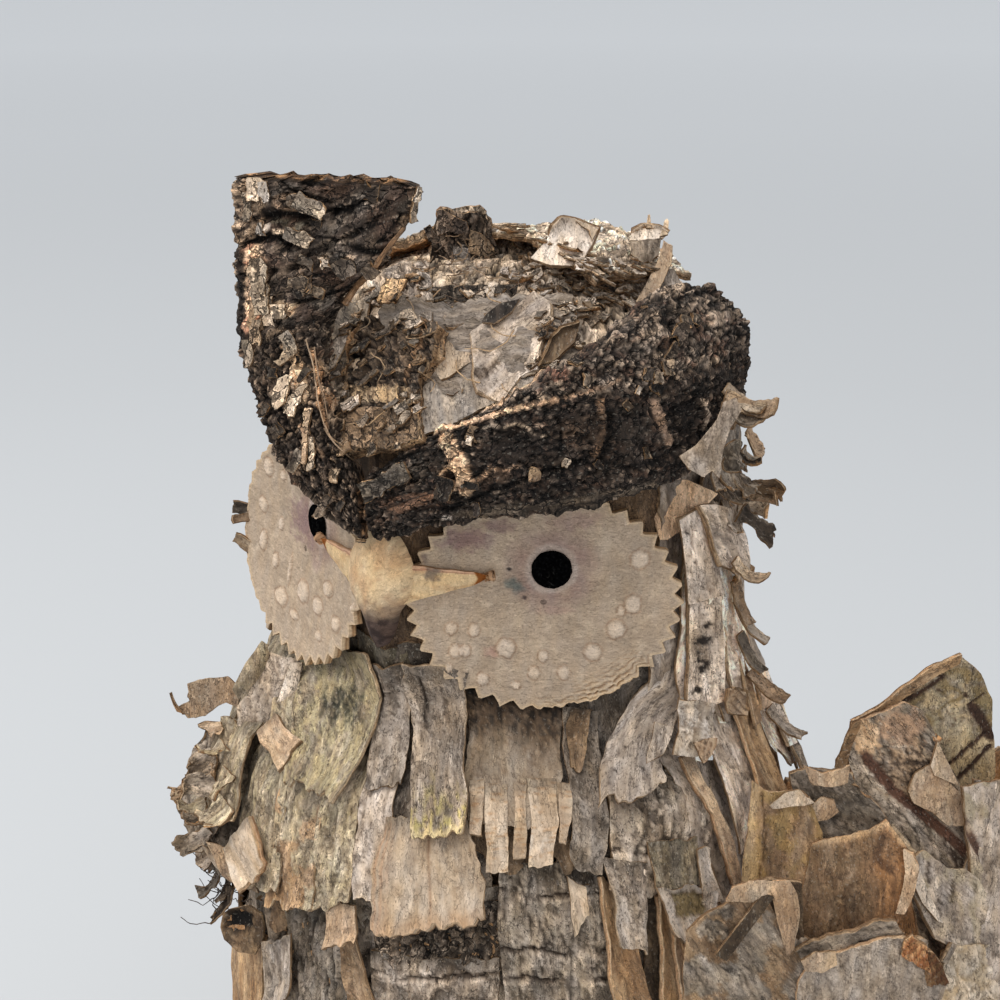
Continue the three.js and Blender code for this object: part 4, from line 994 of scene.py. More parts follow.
def build_disc(side, name, seed):
    nr, na = 62, 300
    f = (np.linspace(0, 1, nr + 1)[1:, None]) ** 0.9
    a = np.linspace(0, 2 * math.pi, na, endpoint=False)[None, :]
    ph = a / (2 * math.pi) * TEETH
    k = np.floor(ph)
    wob = 0.5 * (np.sin(k * 12.9898 + side * 78.233) * 0.6 + np.sin(k * 4.7 + side * 3.1) * 0.4)
    saw = np.abs(((ph + 0.5) % 1.0) - 0.5) * 2  # 0 at a tip, 1 at a notch
    deg = np.degrees(a) % 360
    plain = ss(262, 268, deg) * ss(318, 312, deg) if side == 1 else np.maximum(ss(300, 308, deg), ss(112, 96, deg)) * 0.8
    notch = TOOTH * saw ** 0.9
    notch = lerp(notch, 1.1 + 0.9 * n2(deg / 5, 3.3, seed) + 0.4 * n2(deg / 1.4, 1.1, seed), plain)
    lean = 0.012 * np.sin(a * 3 + seed)
    ra, rb = DISC_A + wob - notch, DISC_B + wob - notch
    inner = 1 - 4.2 / DISC_B
    ra = lerp(DISC_A - TOOTH * 0.5, ra, ss(inner - 0.06, 1.0, f))
    rb = lerp(DISC_B - TOOTH * 0.5, rb, ss(inner - 0.06, 1.0, f))
    x, y = ra * f * np.cos(a + lean), rb * f * np.sin(a + lean)
    h = 0.10 * fbm(x / 7, y / 7, 3, seed) + 0.05 * fbm(x / 1.3, y / 1.3, 3, seed + 1)
    base = np.array([172, 161, 146.0])
    col = mixc(base, np.array([162, 151, 136.0]), ss(-0.3, 0.5, fbm(x / 14, y / 14, 3, seed + 2)))
    col = mixc(col, np.array([185, 175, 159.0]), ss(0.1, 0.6, fbm(x / 6, y / 6, 3, seed + 3)) * 0.7)
    dr = np.hypot(x - PUPIL_AT[side][0] - side * 0, y - PUPIL_AT[side][1]) + 0.5 * fbm(x / 4, y / 4, 2, seed + 4)
    halo = ss(15.5, 8.5, dr) * (0.75 + 0.35 * fbm(x / 6, y / 6, 2, seed + 6))
    col = mixc(col, np.array([138, 120, 116.0]), clamp01(halo) * 0.85)
    col = mixc(col, np.array([176, 168, 162.0]), ss(8.2, 6.7, dr) * 0.8)
    for (sx, sy, rx, ry, c, amt) in DISC_PATCHES[side]:
        d = np.hypot((x - sx) / rx, (y - sy) / ry) + 0.35 * fbm(x / 2.2, y / 2.2, 3, seed + 7)
        col = mixc(col, np.array(c, float), ss(1.0, 0.25, d) * amt)
    for (bx, by, rx, ry) in DOTS[side]:
        if side == -1:
            bx, by = unbent(bx, by)
        d = np.hypot((x - bx) / rx, (y - by) / ry)
        d = d * (1 + 0.16 * n2(np.arctan2(y - by, x - bx) * 1.6, bx, seed + 8))
        up = ss(1.08, 0.72, d)
        crumb = 0.22 * fbm(x / 0.7, y / 0.7, 2, seed + 9)
        h = h + up * (0.62 + crumb) - 0.10 * ss(1.5, 1.1, d) * (1 - up)
        line = ss(0.16, 0.03, np.abs(d - 1.12)) * 0.7
        col = mixc(col, np.array([150, 130, 112.0]), line)
        col = mixc(col, np.array([212, 203, 190.0]), up * (0.75 + 0.2 * crumb))
    edge = (1 - f) * 34 + 0 * a
    if side == 1:  # the lower edge is split into thin layers
        lam = ss(4.8, 0.0, edge) * plain + ss(11, 2, edge) * ss(280, 292, deg) * ss(335, 318, deg)
        lines = np.sin((edge + 0.8 * fbm(deg / 9, edge / 5, 3, seed + 12)) * 4.6)
        h = h - 0.34 * lam * ss(0.0, 0.9, lines)
        col = mixc(col, np.array([140, 116, 90.0]), lam * ss(0.35, 1.0, lines) * 0.75)
        col = mixc(col, np.array([206, 192, 166.0]), lam * ss(0.2, -0.6, lines) * 0.5)
    col = mixc(col, np.array([200, 184, 156.0]), ss(1.6, 0.2, edge) * 0.65)
    h = h * ss(0.0, 0.8, edge) + 0.05
    top = to_face(side, x, y, DISC_T + h + bent(side, x, y))
    warm = 1 + 0.05 * fbm(x / 0.9, y / 0.9, 2, seed + 13)
    col = col * warm[..., None]
    ids = np.arange(nr * na).reshape(nr, na)
    keep(name, top, np.broadcast_to(face_frame(side)[3], top.shape))
    verts, cols, q = [top.reshape(-1, 3)], [col.reshape(-1, 3)], []
    st = np.stack(np.broadcast_arrays(x, y, seed + 0 * x), -1)
    sts = [st.reshape(-1, 3)]
    flip = side < 0

    def quad(i0, i1):
        r0, r1 = np.roll(i0, -1, -1), np.roll(i1, -1, -1)
        f4 = np.stack([i0, i1, r1, r0], -1).reshape(-1, 4)
        return f4[:, ::-1] if flip else f4

    q.append(quad(ids[:-1], ids[1:]))
    total = nr * na
    prev = ids[-1]
    ed = np.stack([x[-1], y[-1]], -1)
    tips = [(0.72, (206, 190, 162)), (0.45, (150, 122, 92)), (0.2, (196, 172, 136)), (0.0, (120, 96, 74))]
    for j, (fz, rgb) in enumerate(tips):
        g = 0.10 * n2(np.arange(na) / 3.0, j * 3.0, seed) - 0.06 * (j % 2)
        rad = np.hypot(ed[:, 0], ed[:, 1])
        e2 = ed * (1 + (g / rad))[:, None]
        verts.append(to_face(side, e2[:, 0], e2[:, 1], DISC_T * fz + bent(side, e2[:, 0], e2[:, 1])))
        cols.append(np.broadcast_to(np.array(rgb, float), (na, 3)) * (1 + 0.12 * n2(np.arange(na) / 4.0, j, seed))[:, None])
        sts.append(np.stack([e2[:, 0], e2[:, 1], np.full(na, seed + 0.5 * j)], -1))
        cur = total + np.arange(na)
        q.append(quad(prev, cur))
        prev = cur
        total += na
    c0 = total
    verts.append(to_face(side, np.array([0.0, 0.0]), np.array([0.0, 0.0]), np.array([DISC_T + h[0].mean(), 0.0])))
    cols.append(np.array([col[0, 0], [150, 130, 110]]))
    sts.append(np.zeros((2, 3)))
    t1 = np.stack([ids[0], np.roll(ids[0], -1), np.full(na, c0)], -1)
    t2 = np.stack([np.roll(prev, -1), prev, np.full(na, c0 + 1)], -1)
    if flip:
        t1, t2 = t1[:, ::-1], t2[:, ::-1]
    bag = Bag()
    bag.add(np.concatenate(verts), np.concatenate(q), np.concatenate([t1, t2]), np.concatenate(cols), np.concatenate(sts))
    bag.make(name + "_bark", "face_disc_bark", [name], sharp=50)


# tinted and darker patches on the discs: x, y, radius x, radius y, colour, amount
DISC_PATCHES = {1: [], -1: []}


def build_pupil(side, name, seed):
    nr, na = 26, 96
    f = np.linspace(0, 1, nr + 1)[1:, None]
    a = np.linspace(0, 2 * math.pi, na, endpoint=False)[None, :]
    rim = PUPIL_R * (1 + 0.025 * n2(a * 3, 1.0, seed) + 0.02 * n2(a * 9, 2.0, seed))
    r = f * rim
    x, y = r * np.cos(a), r * np.sin(a)
    z = PUPIL_T * np.sqrt(np.maximum(0, 1 - f ** 2.6)) * 0.9 + 0.06 * fbm(x / 1.2, y / 1.2, 3, seed)
    col = mixc(np.array([4, 4, 5.0]), np.array([13, 14, 15.0]), ss(0.15, 0.6, fbm(x / 1.0, y / 1.0, 3, seed + 1)))
    scr = ss(0.9, 1.0, 1 - np.abs(n2(x / 2.2, y / 2.2, seed + 2))) * ss(0.25, 0.5, n2(x / 3, y / 3, seed + 3))
    col = mixc(col, np.array([84, 88, 90.0]), scr * 0.4)
    cx, cy = PUPIL_AT[side]
    rows = [(x, y, z + 0 * x, col)]
    for zz, rr in ((0.1, 1.0), (0.0, 0.97)):
        rows.append(((rim * rr * np.cos(a)), (rim * rr * np.sin(a)), np.full((1, na), zz), np.full((1, na, 3), 16.0)))
    px = np.concatenate([b[0] for b in rows]) + cx
    py = np.concatenate([b[1] for b in rows]) + cy
    pz = np.concatenate([b[2] for b in rows]) + DISC_T + 0.4
    c = np.concatenate([b[3] for b in rows])
    k = px.shape[0]
    p = to_face(side, px, py, pz)
    ids = np.arange(k * na).reshape(k, na)
    q = np.stack([ids[:-1], ids[1:], np.roll(ids, -1, 1)[1:], np.roll(ids, -1, 1)[:-1]], -1).reshape(-1, 4)
    v = np.concatenate([p.reshape(-1, 3), to_face(side, np.array([cx, cx]), np.array([cy, cy]), np.array([PUPIL_T * 0.9, 0]) + DISC_T + 0.4)])
    t1 = np.stack([ids[0], np.roll(ids[0], -1), np.full(na, k * na)], -1)
    t2 = np.stack([np.roll(ids[-1], -1), ids[-1], np.full(na, k * na + 1)], -1)
    if side < 0:
        q, t1, t2 = q[:, ::-1], t1[:, ::-1], t2[:, ::-1]
    st = np.stack([px, py, 0 * px + seed], -1).reshape(-1, 3)
    bag = Bag()
    bag.add(v, q, np.concatenate([t1, t2]), np.concatenate([c.reshape(-1, 3), [[14, 14, 15], [14, 14, 15]]]), np.concatenate([st, np.zeros((2, 3))]))
    bag.make(name + "_dome", "pupil_black", [name], sharp=80)


BEAK = np.array([[303, 4, 3], [299, 7.5, 5], [294, 10, 7], [288, 10.8, 8.2], [283, 9.2, 8.2], [279, 5.8, 7.4],
                 [274, 4.4, 6.2], [270, 3.2, 4.8], [267.6, 1.3, 3]])
RIDGE_Y = -66.7
FLARE = np.array([[-44, -1.2], [-20, 5.8], [-14, 8.6], [-20, 9.8], [-44, 12.6]])
FLARE_T = 1.6


def build_beak():
    na, nz = 72, 90
    z = np.linspace(303, 267.6, nz)[:, None]
    w = np.interp(-z, -BEAK[:, 0], BEAK[:, 1])
    d = np.interp(-z, -BEAK[:, 0], BEAK[:, 2])
    k = 4
    sm = lambda q: np.convolve(np.pad(q[:, 0], k, mode="edge"), np.ones(2 * k + 1) / (2 * k + 1), "valid")[:, None]
    w, d = sm(w), sm(d)
    a = np.linspace(0, 2 * math.pi, na, endpoint=False)[None, :]
    c, s = np.cos(a), np.sin(a)
    peak = np.sign(s) * np.abs(s) ** 1.12
    x = w * peak
    y = RIDGE_Y - np.where(c > 0, d * np.abs(c) ** 0.92, 0.0) + np.abs(s) * 1.2
    h = 0.16 * fbm(x / 5, z / 6 + 0 * x, 3, 5) * (c > 0)
    x, y = x + h * s, y - h * np.maximum(c, 0)
    zz = z + 0 * a
    col = mixc(np.array([208, 192, 160.0]), np.array([190, 166, 134.0]), ss(-0.2, 0.6, fbm(x / 6, zz / 8, 3, 2)))
    col = mixc(col, np.array([176, 150, 122.0]), ss(0.35, 0.7, fbm(x / 2, zz / 3, 3, 4)) * 0.5)
    tipm = ss(281.5, 276.5, zz + 1.6 * n2(x / 2.2, zz / 2.2, 8) + np.abs(x) * 0.25)
    tcol = mixc(np.array([82, 70, 66.0]), np.array([54, 44, 42.0]), ss(-0.3, 0.4, fbm(x / 1.8, zz / 3, 3, 9)))
    smear = ss(285.5, 279, zz + 2.2 * n2(x / 1.6, zz / 2.0, 18)) * (1 - tipm) * 0.6
    col = mixc(col, np.array([116, 104, 96.0]), smear)
    col = mixc(col, tcol, tipm)
    p = np.stack([x, y, zz], -1)
    ids = np.arange(nz * na).reshape(nz, na)
    q = np.stack([ids[:-1], np.roll(ids, -1, 1)[:-1], np.roll(ids, -1, 1)[1:], ids[1:]], -1).reshape(-1, 4)
    v = np.concatenate([p.reshape(-1, 3), [[0, RIDGE_Y - 1.4, 303.6], [0, RIDGE_Y - 1.6, 266.9]]])
    tri = np.concatenate([np.stack([np.roll(ids[0], -1), ids[0], np.full(na, nz * na)], -1),
                          np.stack([ids[-1], np.roll(ids[-1], -1), np.full(na, nz * na + 1)], -1)])
    st = np.stack([x * 1.0, zz, 0 * x + 2], -1).reshape(-1, 3)
    bag = Bag()
    bag.add(v, q[:, ::-1], tri[:, ::-1], np.concatenate([col.reshape(-1, 3), [[200, 180, 150], [60, 50, 46]]]), np.concatenate([st, np.zeros((2, 3))]))
    for side in (1, -1):  # the flares: thin tapering sheets, their points orange brown
        lo_x = np.array([-44, -20, -14])
        nl, nw = 92, 30
        f = np.linspace(0, 1, nl + 1)[None, :]
        g = np.linspace(0, 1, nw + 1)[:, None]
        xx = lerp(-44, -13.6, f)
        lo = np.interp(xx, [-44, -20, -13.6], [-1.2, 5.8, 8.9])
        hi = np.interp(xx, [-44, -20, -13.6], [12.6, 9.8, 8.9])
        tipw = ss(1.0, 0.86, f) ** 0.5
        mid = (lo + hi) / 2
        lo, hi = lerp(mid, lo, np.maximum(tipw, 0.03)), lerp(mid, hi, np.maximum(tipw, 0.03))
        yy = lerp(hi, lo, g) + 0.25 * fbm(xx / 5, g * 3, 2, 31)
        xx = xx + 0 * g
        zz = DISC_T + 0.35 + FLARE_T + 0.5 * np.sin(g * math.pi) * (1 - 0.6 * f)
        pts = to_face(side, xx, yy, zz)
        if side == 1:
            pts = pts
        else:
            pts = pts[:, ::-1]
        xr, yr, ff, gg = (xx, yy, f + 0 * g, g + 0 * f) if side == 1 else (xx[:, ::-1], yy[:, ::-1], (f + 0 * g)[:, ::-1], (g + 0 * f)[:, ::-1])
        hh = 0.12 * fbm(xr / 4, yr / 2, 3, 6)
        c1 = mixc(np.array([206, 188, 152.0]), np.array([192, 168, 132.0]), ss(-0.2, 0.5, fbm(xr / 7, yr / 3, 3, 7)))
        c1 = mixc(c1, np.array([196, 160, 138.0]), ss(0.2, 0.0, gg) * 0.8)
        line = ss(0.035, 0.0, np.abs(gg - 0.10 - 0.04 * n2(xr / 4, 1.1, 3))) * ss(0.98, 0.7, ff)
        c1 = mixc(c1, np.array([140, 96, 78.0]), line * 0.8)
        tip = ss(0.0, 0.02, ff - 0.80 - 0.03 * np.sin(gg * math.pi))
        c1 = mixc(c1, np.array([122, 70, 12.0]), tip)
        root = ss(1.0, 0.3, np.hypot((xr + 31) / 3.2, (yr - 9.5) / 3.4) + 0.5 * n2(xr / 1.7, yr / 1.7, 9)) if side == 1 else 0 * xr
        c1 = mixc(c1, np.array([112, 104, 96.0]), root * 0.75)
        stt = np.stack([yr, xr, 0 * xr + 4 + side], -1)
        bag.add(*sheet_arrays(pts, hh, FLARE_T + 0 * hh, c1, stt, (180, 150, 120), 40 + side, 2, 0.12, 2, [(196, 170, 136), (150, 116, 88)]))
    bag.make("beak_ridge_and_flares", "beak_cream", ["beak"], sharp=55)


DOTS[1] = [(-26.0, -8.0, 1.7, 1.9), (-19.5, -8.6, 1.6, 1.9), (-24.6, -15.1, 2.1, 2.1), (-22.2, -15.0, 1.6, 1.8), (-10.5, -14.2, 2.6, 2.8),
           (0.0, -16.7, 1.4, 1.9), (-2.5, -22.0, 1.7, 1.9), (-17.1, -23.9, 1.7, 1.9), (-7.6, -25.8, 1.1, 1.3), (6.0, -22.0, 1.6, 2.2),
           (14.2, -15.4, 2.3, 2.5), (20.6, -8.3, 2.5, 2.8), (25.1, -0.6, 2.2, 2.8), (21.8, -2.7, 1.1, 1.5), (26.7, 13.0, 2.5, 2.7),
           (-26.7, -20.4, 1.1, 1.3), (22.6, 24.0, 0.9, 1.0)]
DOTS[-1] = [(4.5, -15.7, 4.0, 3.1), (22.4, -24.0, 3.6, 2.7), (-14.3, -8.1, 2.8, 2.2), (-6.3, -16.6, 2.9, 2.5), (-19.2, -17.6, 2.4, 2.1),
            (35.2, -9.0, 2.2, 3.0), (33.6, 3.8, 2.4, 2.4), (12.4, -26.6, 3.0, 1.3), (-5.9, -26.6, 2.0, 1.3), (27.6, 18.0, 2.6, 2.9),
            (19.3, 1.6, 1.4, 1.9), (15.8, 18.8, 1.5, 1.6), (-32.0, -7.7, 1.4, 1.5), (25.7, -12.8, 1.7, 2.3), (14.0, -12.0, 0.8, 4.6)]
DISC_PATCHES[1] = [(-8.2, 5.4, 3.2, 2.6, (84, 98, 98), 0.75), (-7.0, 3.6, 2.6, 1.6, (96, 104, 104), 0.6), (-21.5, 18.9, 9.5, 4.6, (126, 106, 108), 0.8),
             (-12.5, 22.6, 6.0, 3.0, (130, 112, 110), 0.75), (8.5, 24.4, 10.0, 4.0, (150, 132, 128), 0.6), (-14.4, -15.6, 2.9, 2.6, (166, 138, 128), 0.75),
             (-35.0, 12.7, 3.0, 3.4, (96, 84, 82), 0.8), (-9.6, 10.0, 1.0, 0.8, (40, 36, 36), 0.9), (-5.4, 1.4, 0.7, 0.9, (48, 40, 42), 0.9),
             (3.0, -2.5, 7.0, 2.0, (164, 140, 134), 0.4)]
DISC_PATCHES[-1] = [(2.0, 8.0, 11.0, 9.0, (132, 112, 116), 0.75), (-8.0, -2.0, 5.0, 3.0, (160, 142, 138), 0.5)]


# ------------------------------------------------------------------ brow slabs of thick rough bark
LEFT_BROW = [
    [[4, 78, 304], [1, 73, 322], 8], [[18, 80, 311], [17, 75, 336], 9], [[36, 82, 315], [36, 76, 349], 10],
    [[55, 83, 318], [55, 75, 361], 11], [[72, 83, 323], [72, 71, 369], 11], [[86, 81, 335], [88, 69, 367], 9.5],
    [[94, 78, 345], [97, 71, 360], 7]]
RIGHT_BROW = [
    [[1, 78, 303], [-3, 72, 321], 8], [[-13, 81, 315], [-9, 72, 331], 8.5], [[-25, 82, 331], [-15, 70, 344], 9],
    [[-33, 82, 351], [-18, 64, 360], 9], [[-34, 81, 374], [-8, 52, 375], 8], [[-33, 80, 396], [0, 43, 394], 6]]


def brow_line(stations, edge, s):
    pts = np.array([[st[edge][1] * math.sin(math.radians(st[edge][0])), -st[edge][1] * math.cos(math.radians(st[edge][0])), st[edge][2]] for st in stations])
    return spline(pts, s)


def spline(pts, s):
    n = len(pts) - 1
    k = np.minimum(n - 1, np.floor(s * n).astype(int))
    t = (s * n - k)[:, None]
    g = lambda i: pts[np.clip(i, 0, n)]
    a, b, c, d = g(k - 1), g(k), g(k + 1), g(k + 2)
    return 0.5 * (2 * b + (c - a) * t + (2 * a - 5 * b + 4 * c - d) * t * t + (3 * b - a - 3 * c + d) * t ** 3)


def rough_skin(s, a, seed, period=5.2, slant=0.0, plates=0.0, lump=1.0, light=1.0):
    """Thick furrowed bark: tilted plates between deep furrows that run along s. Gives relief (mm) and colour."""
    ws = s + 2.4 * fbm(s / 9, a / 7, 3, seed) + 1.0 * fbm(s / 2.6, a / 2.2, 2, seed + 2)
    wa = a + slant * s + 3.4 * fbm(s / 17, a / 11, 2, seed + 1) + 1.5 * fbm(s / 4.5, a / 3.5, 3, seed + 3)
    fur = 1 - np.abs(n2(ws / 24, wa / period, seed + 5))
    furrow = ss(0.87, 0.965, fur) * ss(-0.45, 0.1, n2(s / 13, a / 9, seed + 6))
    f1, f2, num = cells(ws / 7.6, wa / 3.4, seed + 8, 0.95)
    gap = ss(0.20, 0.04, f2 - f1)
    g1, g2, num2 = cells(ws / 2.9 + 7, wa / 1.5, seed + 9, 0.95)
    gap2 = ss(0.24, 0.05, g2 - g1)
    fine = ridge(s / 2.4, a / 1.3, 3, seed + 11)
    big = fbm(s / 17, a / 13, 3, seed + 14)
    h = 1.7 * (num - 0.5) + 0.5 * (1 - f1) - 1.2 * gap * (0.6 + 0.6 * plates) - 2.3 * furrow + 0.55 * (num2 - 0.5) - 0.4 * gap2 + 0.8 * (fine - 0.55) + 1.2 * lump * big
    col = mixc(np.array([76, 65, 56.0]), np.array([124, 112, 98.0]), clamp01(0.65 * num + 0.35 * num2 + 0.3 * fbm(s / 6, a / 4, 3, seed + 17)))
    red = ss(0.18, 0.5, fbm(s / 9, a / 5, 4, seed + 19, 0.6))
    col = mixc(col, np.array([104, 68, 50.0]), red * 0.65)
    # painted highlight: the colour lightens where the relief h stands high
    col = mixc(col, np.array([168, 155, 137.0]), ss(0.45, 1.7, h + 0.9 * (num2 - 0.4)) * (0.35 + 0.6 * ss(-0.1, 0.5, n2(s / 7, a / 5, seed + 21))))
    col = mixc(col, np.array([190, 172, 146.0]), ss(0.46, 0.56, n2(s / 2.6, a / 1.5, seed + 23)) * ss(-0.1, 0.5, n2(s / 9, a / 8, seed + 24)) * 0.75)
    # black in the gaps and furrows, and painted shade where the relief h sinks low
    col = mixc(col, np.array([24, 18, 15.0]), clamp01(np.maximum(np.maximum(gap * (0.55 + 0.4 * plates), furrow), 0.45 * gap2 + 0.8 * ss(-0.7, -1.8, h))))
    shade = ss(-0.05, 0.45, n2(s / 14, a / 8, seed + 27))
    col = col * (light * (1 - 0.40 * shade))[..., None] if np.ndim(light) else col * light * (1 - 0.40 * shade)[..., None]
    return h, np.clip(col, 6, 235), fine


def build_brow(name, node, stations, turn, seed, feature, along=150.0, res=0.68):
    nv = int(along / res)
    v = np.linspace(0, 1, nv)
    lo, hi = brow_line(stations, 0, v), brow_line(stations, 1, v)
    thick = spline(np.array([[st[2], 0, 0] for st in stations], float), v)[:, 0]
    mid = (lo + hi) / 2
    alongv = unit(np.gradient(mid, axis=0))
    across = unit(hi - lo)
    width = np.linalg.norm(hi - lo, axis=1)
    nrm = unit(np.cross(alongv, across)) * turn
    mean = width.mean()
    nf, nt, nb = int(mean / res * 1.05), 15, 16
    rc = 2.4  # corner radius
    loop = []
    for i in range(nf):
        loop.append((0, i / nf))
    for i in range(nt):
        loop.append((1, i / nt))
    for i in range(nb):
        loop.append((2, i / nb))
    for i in range(nt - 4):
        loop.append((3, i / (nt - 4)))
    kind = np.array([k for k, _ in loop])[None, :]
    fr = np.array([f for _, f in loop])[None, :]
    W, T = width[:, None], thick[:, None]
    a = np.select([kind == 0, kind == 1, kind == 2, kind == 3], [fr * W, W + 0 * fr, (1 - fr) * W, 0 * fr * W])
    b = np.select([kind == 0, kind == 1, kind == 2, kind == 3], [0 * fr * W, fr * T, T + 0 * fr, (1 - fr) * T])
    # round the corners
    ca, cb = np.clip(a, rc, W - rc), np.clip(b, rc, T - rc)
    da, db = a - ca, b - cb
    dist = np.maximum(np.hypot(da, db), 1e-6)
    da, db = da / dist, db / dist
    a, b = ca + da * rc, cb + db * rc
    perim = np.cumsum(np.hypot(np.diff(a, axis=1, prepend=a[:, :1]), np.diff(b, axis=1, prepend=b[:, :1])), 1)
    s = np.broadcast_to((v * along)[:, None], a.shape)
    tcoord = np.where(kind == 3, perim - perim[:, -1:], perim)
    h, col, fine = rough_skin(s, tcoord, seed)
    crown = 12 * (a / W) * (1 - a / W)
    base = lo[:, None] + across[:, None] * a[..., None] + nrm[:, None] * (crown - b)[..., None]
    X, Y, _ = picture(base)
    h, col = feature(h, col, s / along, clamp01(a / W), s, tcoord, kind + 0 * s, fine, X, Y)
    ndir = across[:, None] * da[..., None] - nrm[:, None] * db[..., None]
    front = (kind == 0) & (np.abs(a - W / 2) < W / 2 - rc)
    limit = np.where(kind == 2, np.minimum(h, 0.2), h)
    edge_wob = (0.8 * fbm(s / 6, kind * 2.0 + 0 * s, 2, seed + 41) + 0.8 * torn(s, seed + 42)) * (np.abs(da) > 0.3)
    p = base + ndir * (limit + edge_wob)[..., None]
    keep(name, p, unit(ndir))
    rows_p, rows_c, rows_s = [p], [col], [np.stack([tcoord, s, 0 * s + seed], -1)]
    caps = {}
    for end, sign in ((0, -1), (nv - 1, 1)):
        ring, cc = p[end], p[end].mean(0)
        out = []
        for kk in range(1, 9):
            f = kk / 9
            pos = lerp(ring, cc, f)
            bulge = 2.2 * math.sqrt(1 - (1 - f) ** 2) * 0.8
            ruff = 1.3 * fbm(pos[:, 0] / 3 + pos[:, 1] / 4, pos[:, 2] / 3, 3, seed + 50)
            pos = pos + alongv[end] * sign * (bulge + ruff * min(1, f * 3))[:, None]
            c3 = mixc(np.array([88, 70, 54.0]), np.array([150, 122, 92.0]), ss(-0.2, 0.5, fbm(pos[:, 2] / 2.2, pos[:, 0] / 5, 3, seed + 51)))
            c3 = mixc(c3, np.array([34, 27, 22.0]), ss(0.1, 0.5, fbm(pos[:, 2] / 1.2, pos[:, 1] / 2, 2, seed + 52)))
            out.append((pos, c3, np.stack([pos[:, 2], pos[:, 0], pos[:, 1] * 0 + seed + 1], -1)))
        caps[end] = (out, cc + alongv[end] * sign * 2.0)
    nL = a.shape[1]
    allp = [c[0] for c in reversed(caps[0][0])] + list(p) + [c[0] for c in caps[nv - 1][0]]
    allc = [c[1] for c in reversed(caps[0][0])] + list(col) + [c[1] for c in caps[nv - 1][0]]
    alls = [c[2] for c in reversed(caps[0][0])] + list(rows_s[0]) + [c[2] for c in caps[nv - 1][0]]
    P3, C3, S3 = np.array(allp), np.array(allc), np.array(alls)
    k = len(P3)
    ids = np.arange(k * nL).reshape(k, nL)
    q = np.stack([ids[:-1], np.roll(ids, -1, 1)[:-1], np.roll(ids, -1, 1)[1:], ids[1:]], -1).reshape(-1, 4)
    t1 = np.stack([np.roll(ids[0], -1), ids[0], np.full(nL, k * nL)], -1)
    t2 = np.stack([ids[-1], np.roll(ids[-1], -1), np.full(nL, k * nL + 1)], -1)
    if turn > 0:
        q, t1, t2 = q[:, ::-1], t1[:, ::-1], t2[:, ::-1]
    vv = np.concatenate([P3.reshape(-1, 3), [caps[0][1], caps[nv - 1][1]]])
    bag = Bag()
    bag.add(vv, q, np.concatenate([t1, t2]), np.concatenate([C3.reshape(-1, 3), [[70, 58, 46], [70, 58, 46]]]), np.concatenate([S3.reshape(-1, 3), np.zeros((2, 3))]))
    return bag.make(name + "_bark", "rough_bark", [node], sharp=75)


def spots(h, col, X, Y, lines=(), blobs=(), seed=0):
    """Marks traced in the picture's own coordinates: (points, half-width, colour, amount, height) and
    (x, y, radius x, radius y, colour, amount, height)."""
    for i, (pts, w, c, amt, dh) in enumerate(lines):
        m = band(X, Y, pts, w, 0.5, seed + i, 1.0 if w > 1.2 else 0.6)
        tone = 1 + 0.16 * fbm(X / 5, Y / 4, 3, seed + i)
        col = mixc(col, np.array(c, float) * tone[..., None], m * amt)
        h = h + dh * m
    for i, (cx, cy, rx, ry, c, amt, dh) in enumerate(blobs):
        m = blob(X, Y, cx, cy, rx, ry, seed + 50 + i, 0.55, 0.3)
        tone = 1 + 0.22 * fbm(X / 5, Y / 4, 3, seed + 50 + i)
        col = mixc(col, np.array(c, float) * tone[..., None], m * amt)
        h = h + dh * m
    return h, col


K = (20, 15, 12)


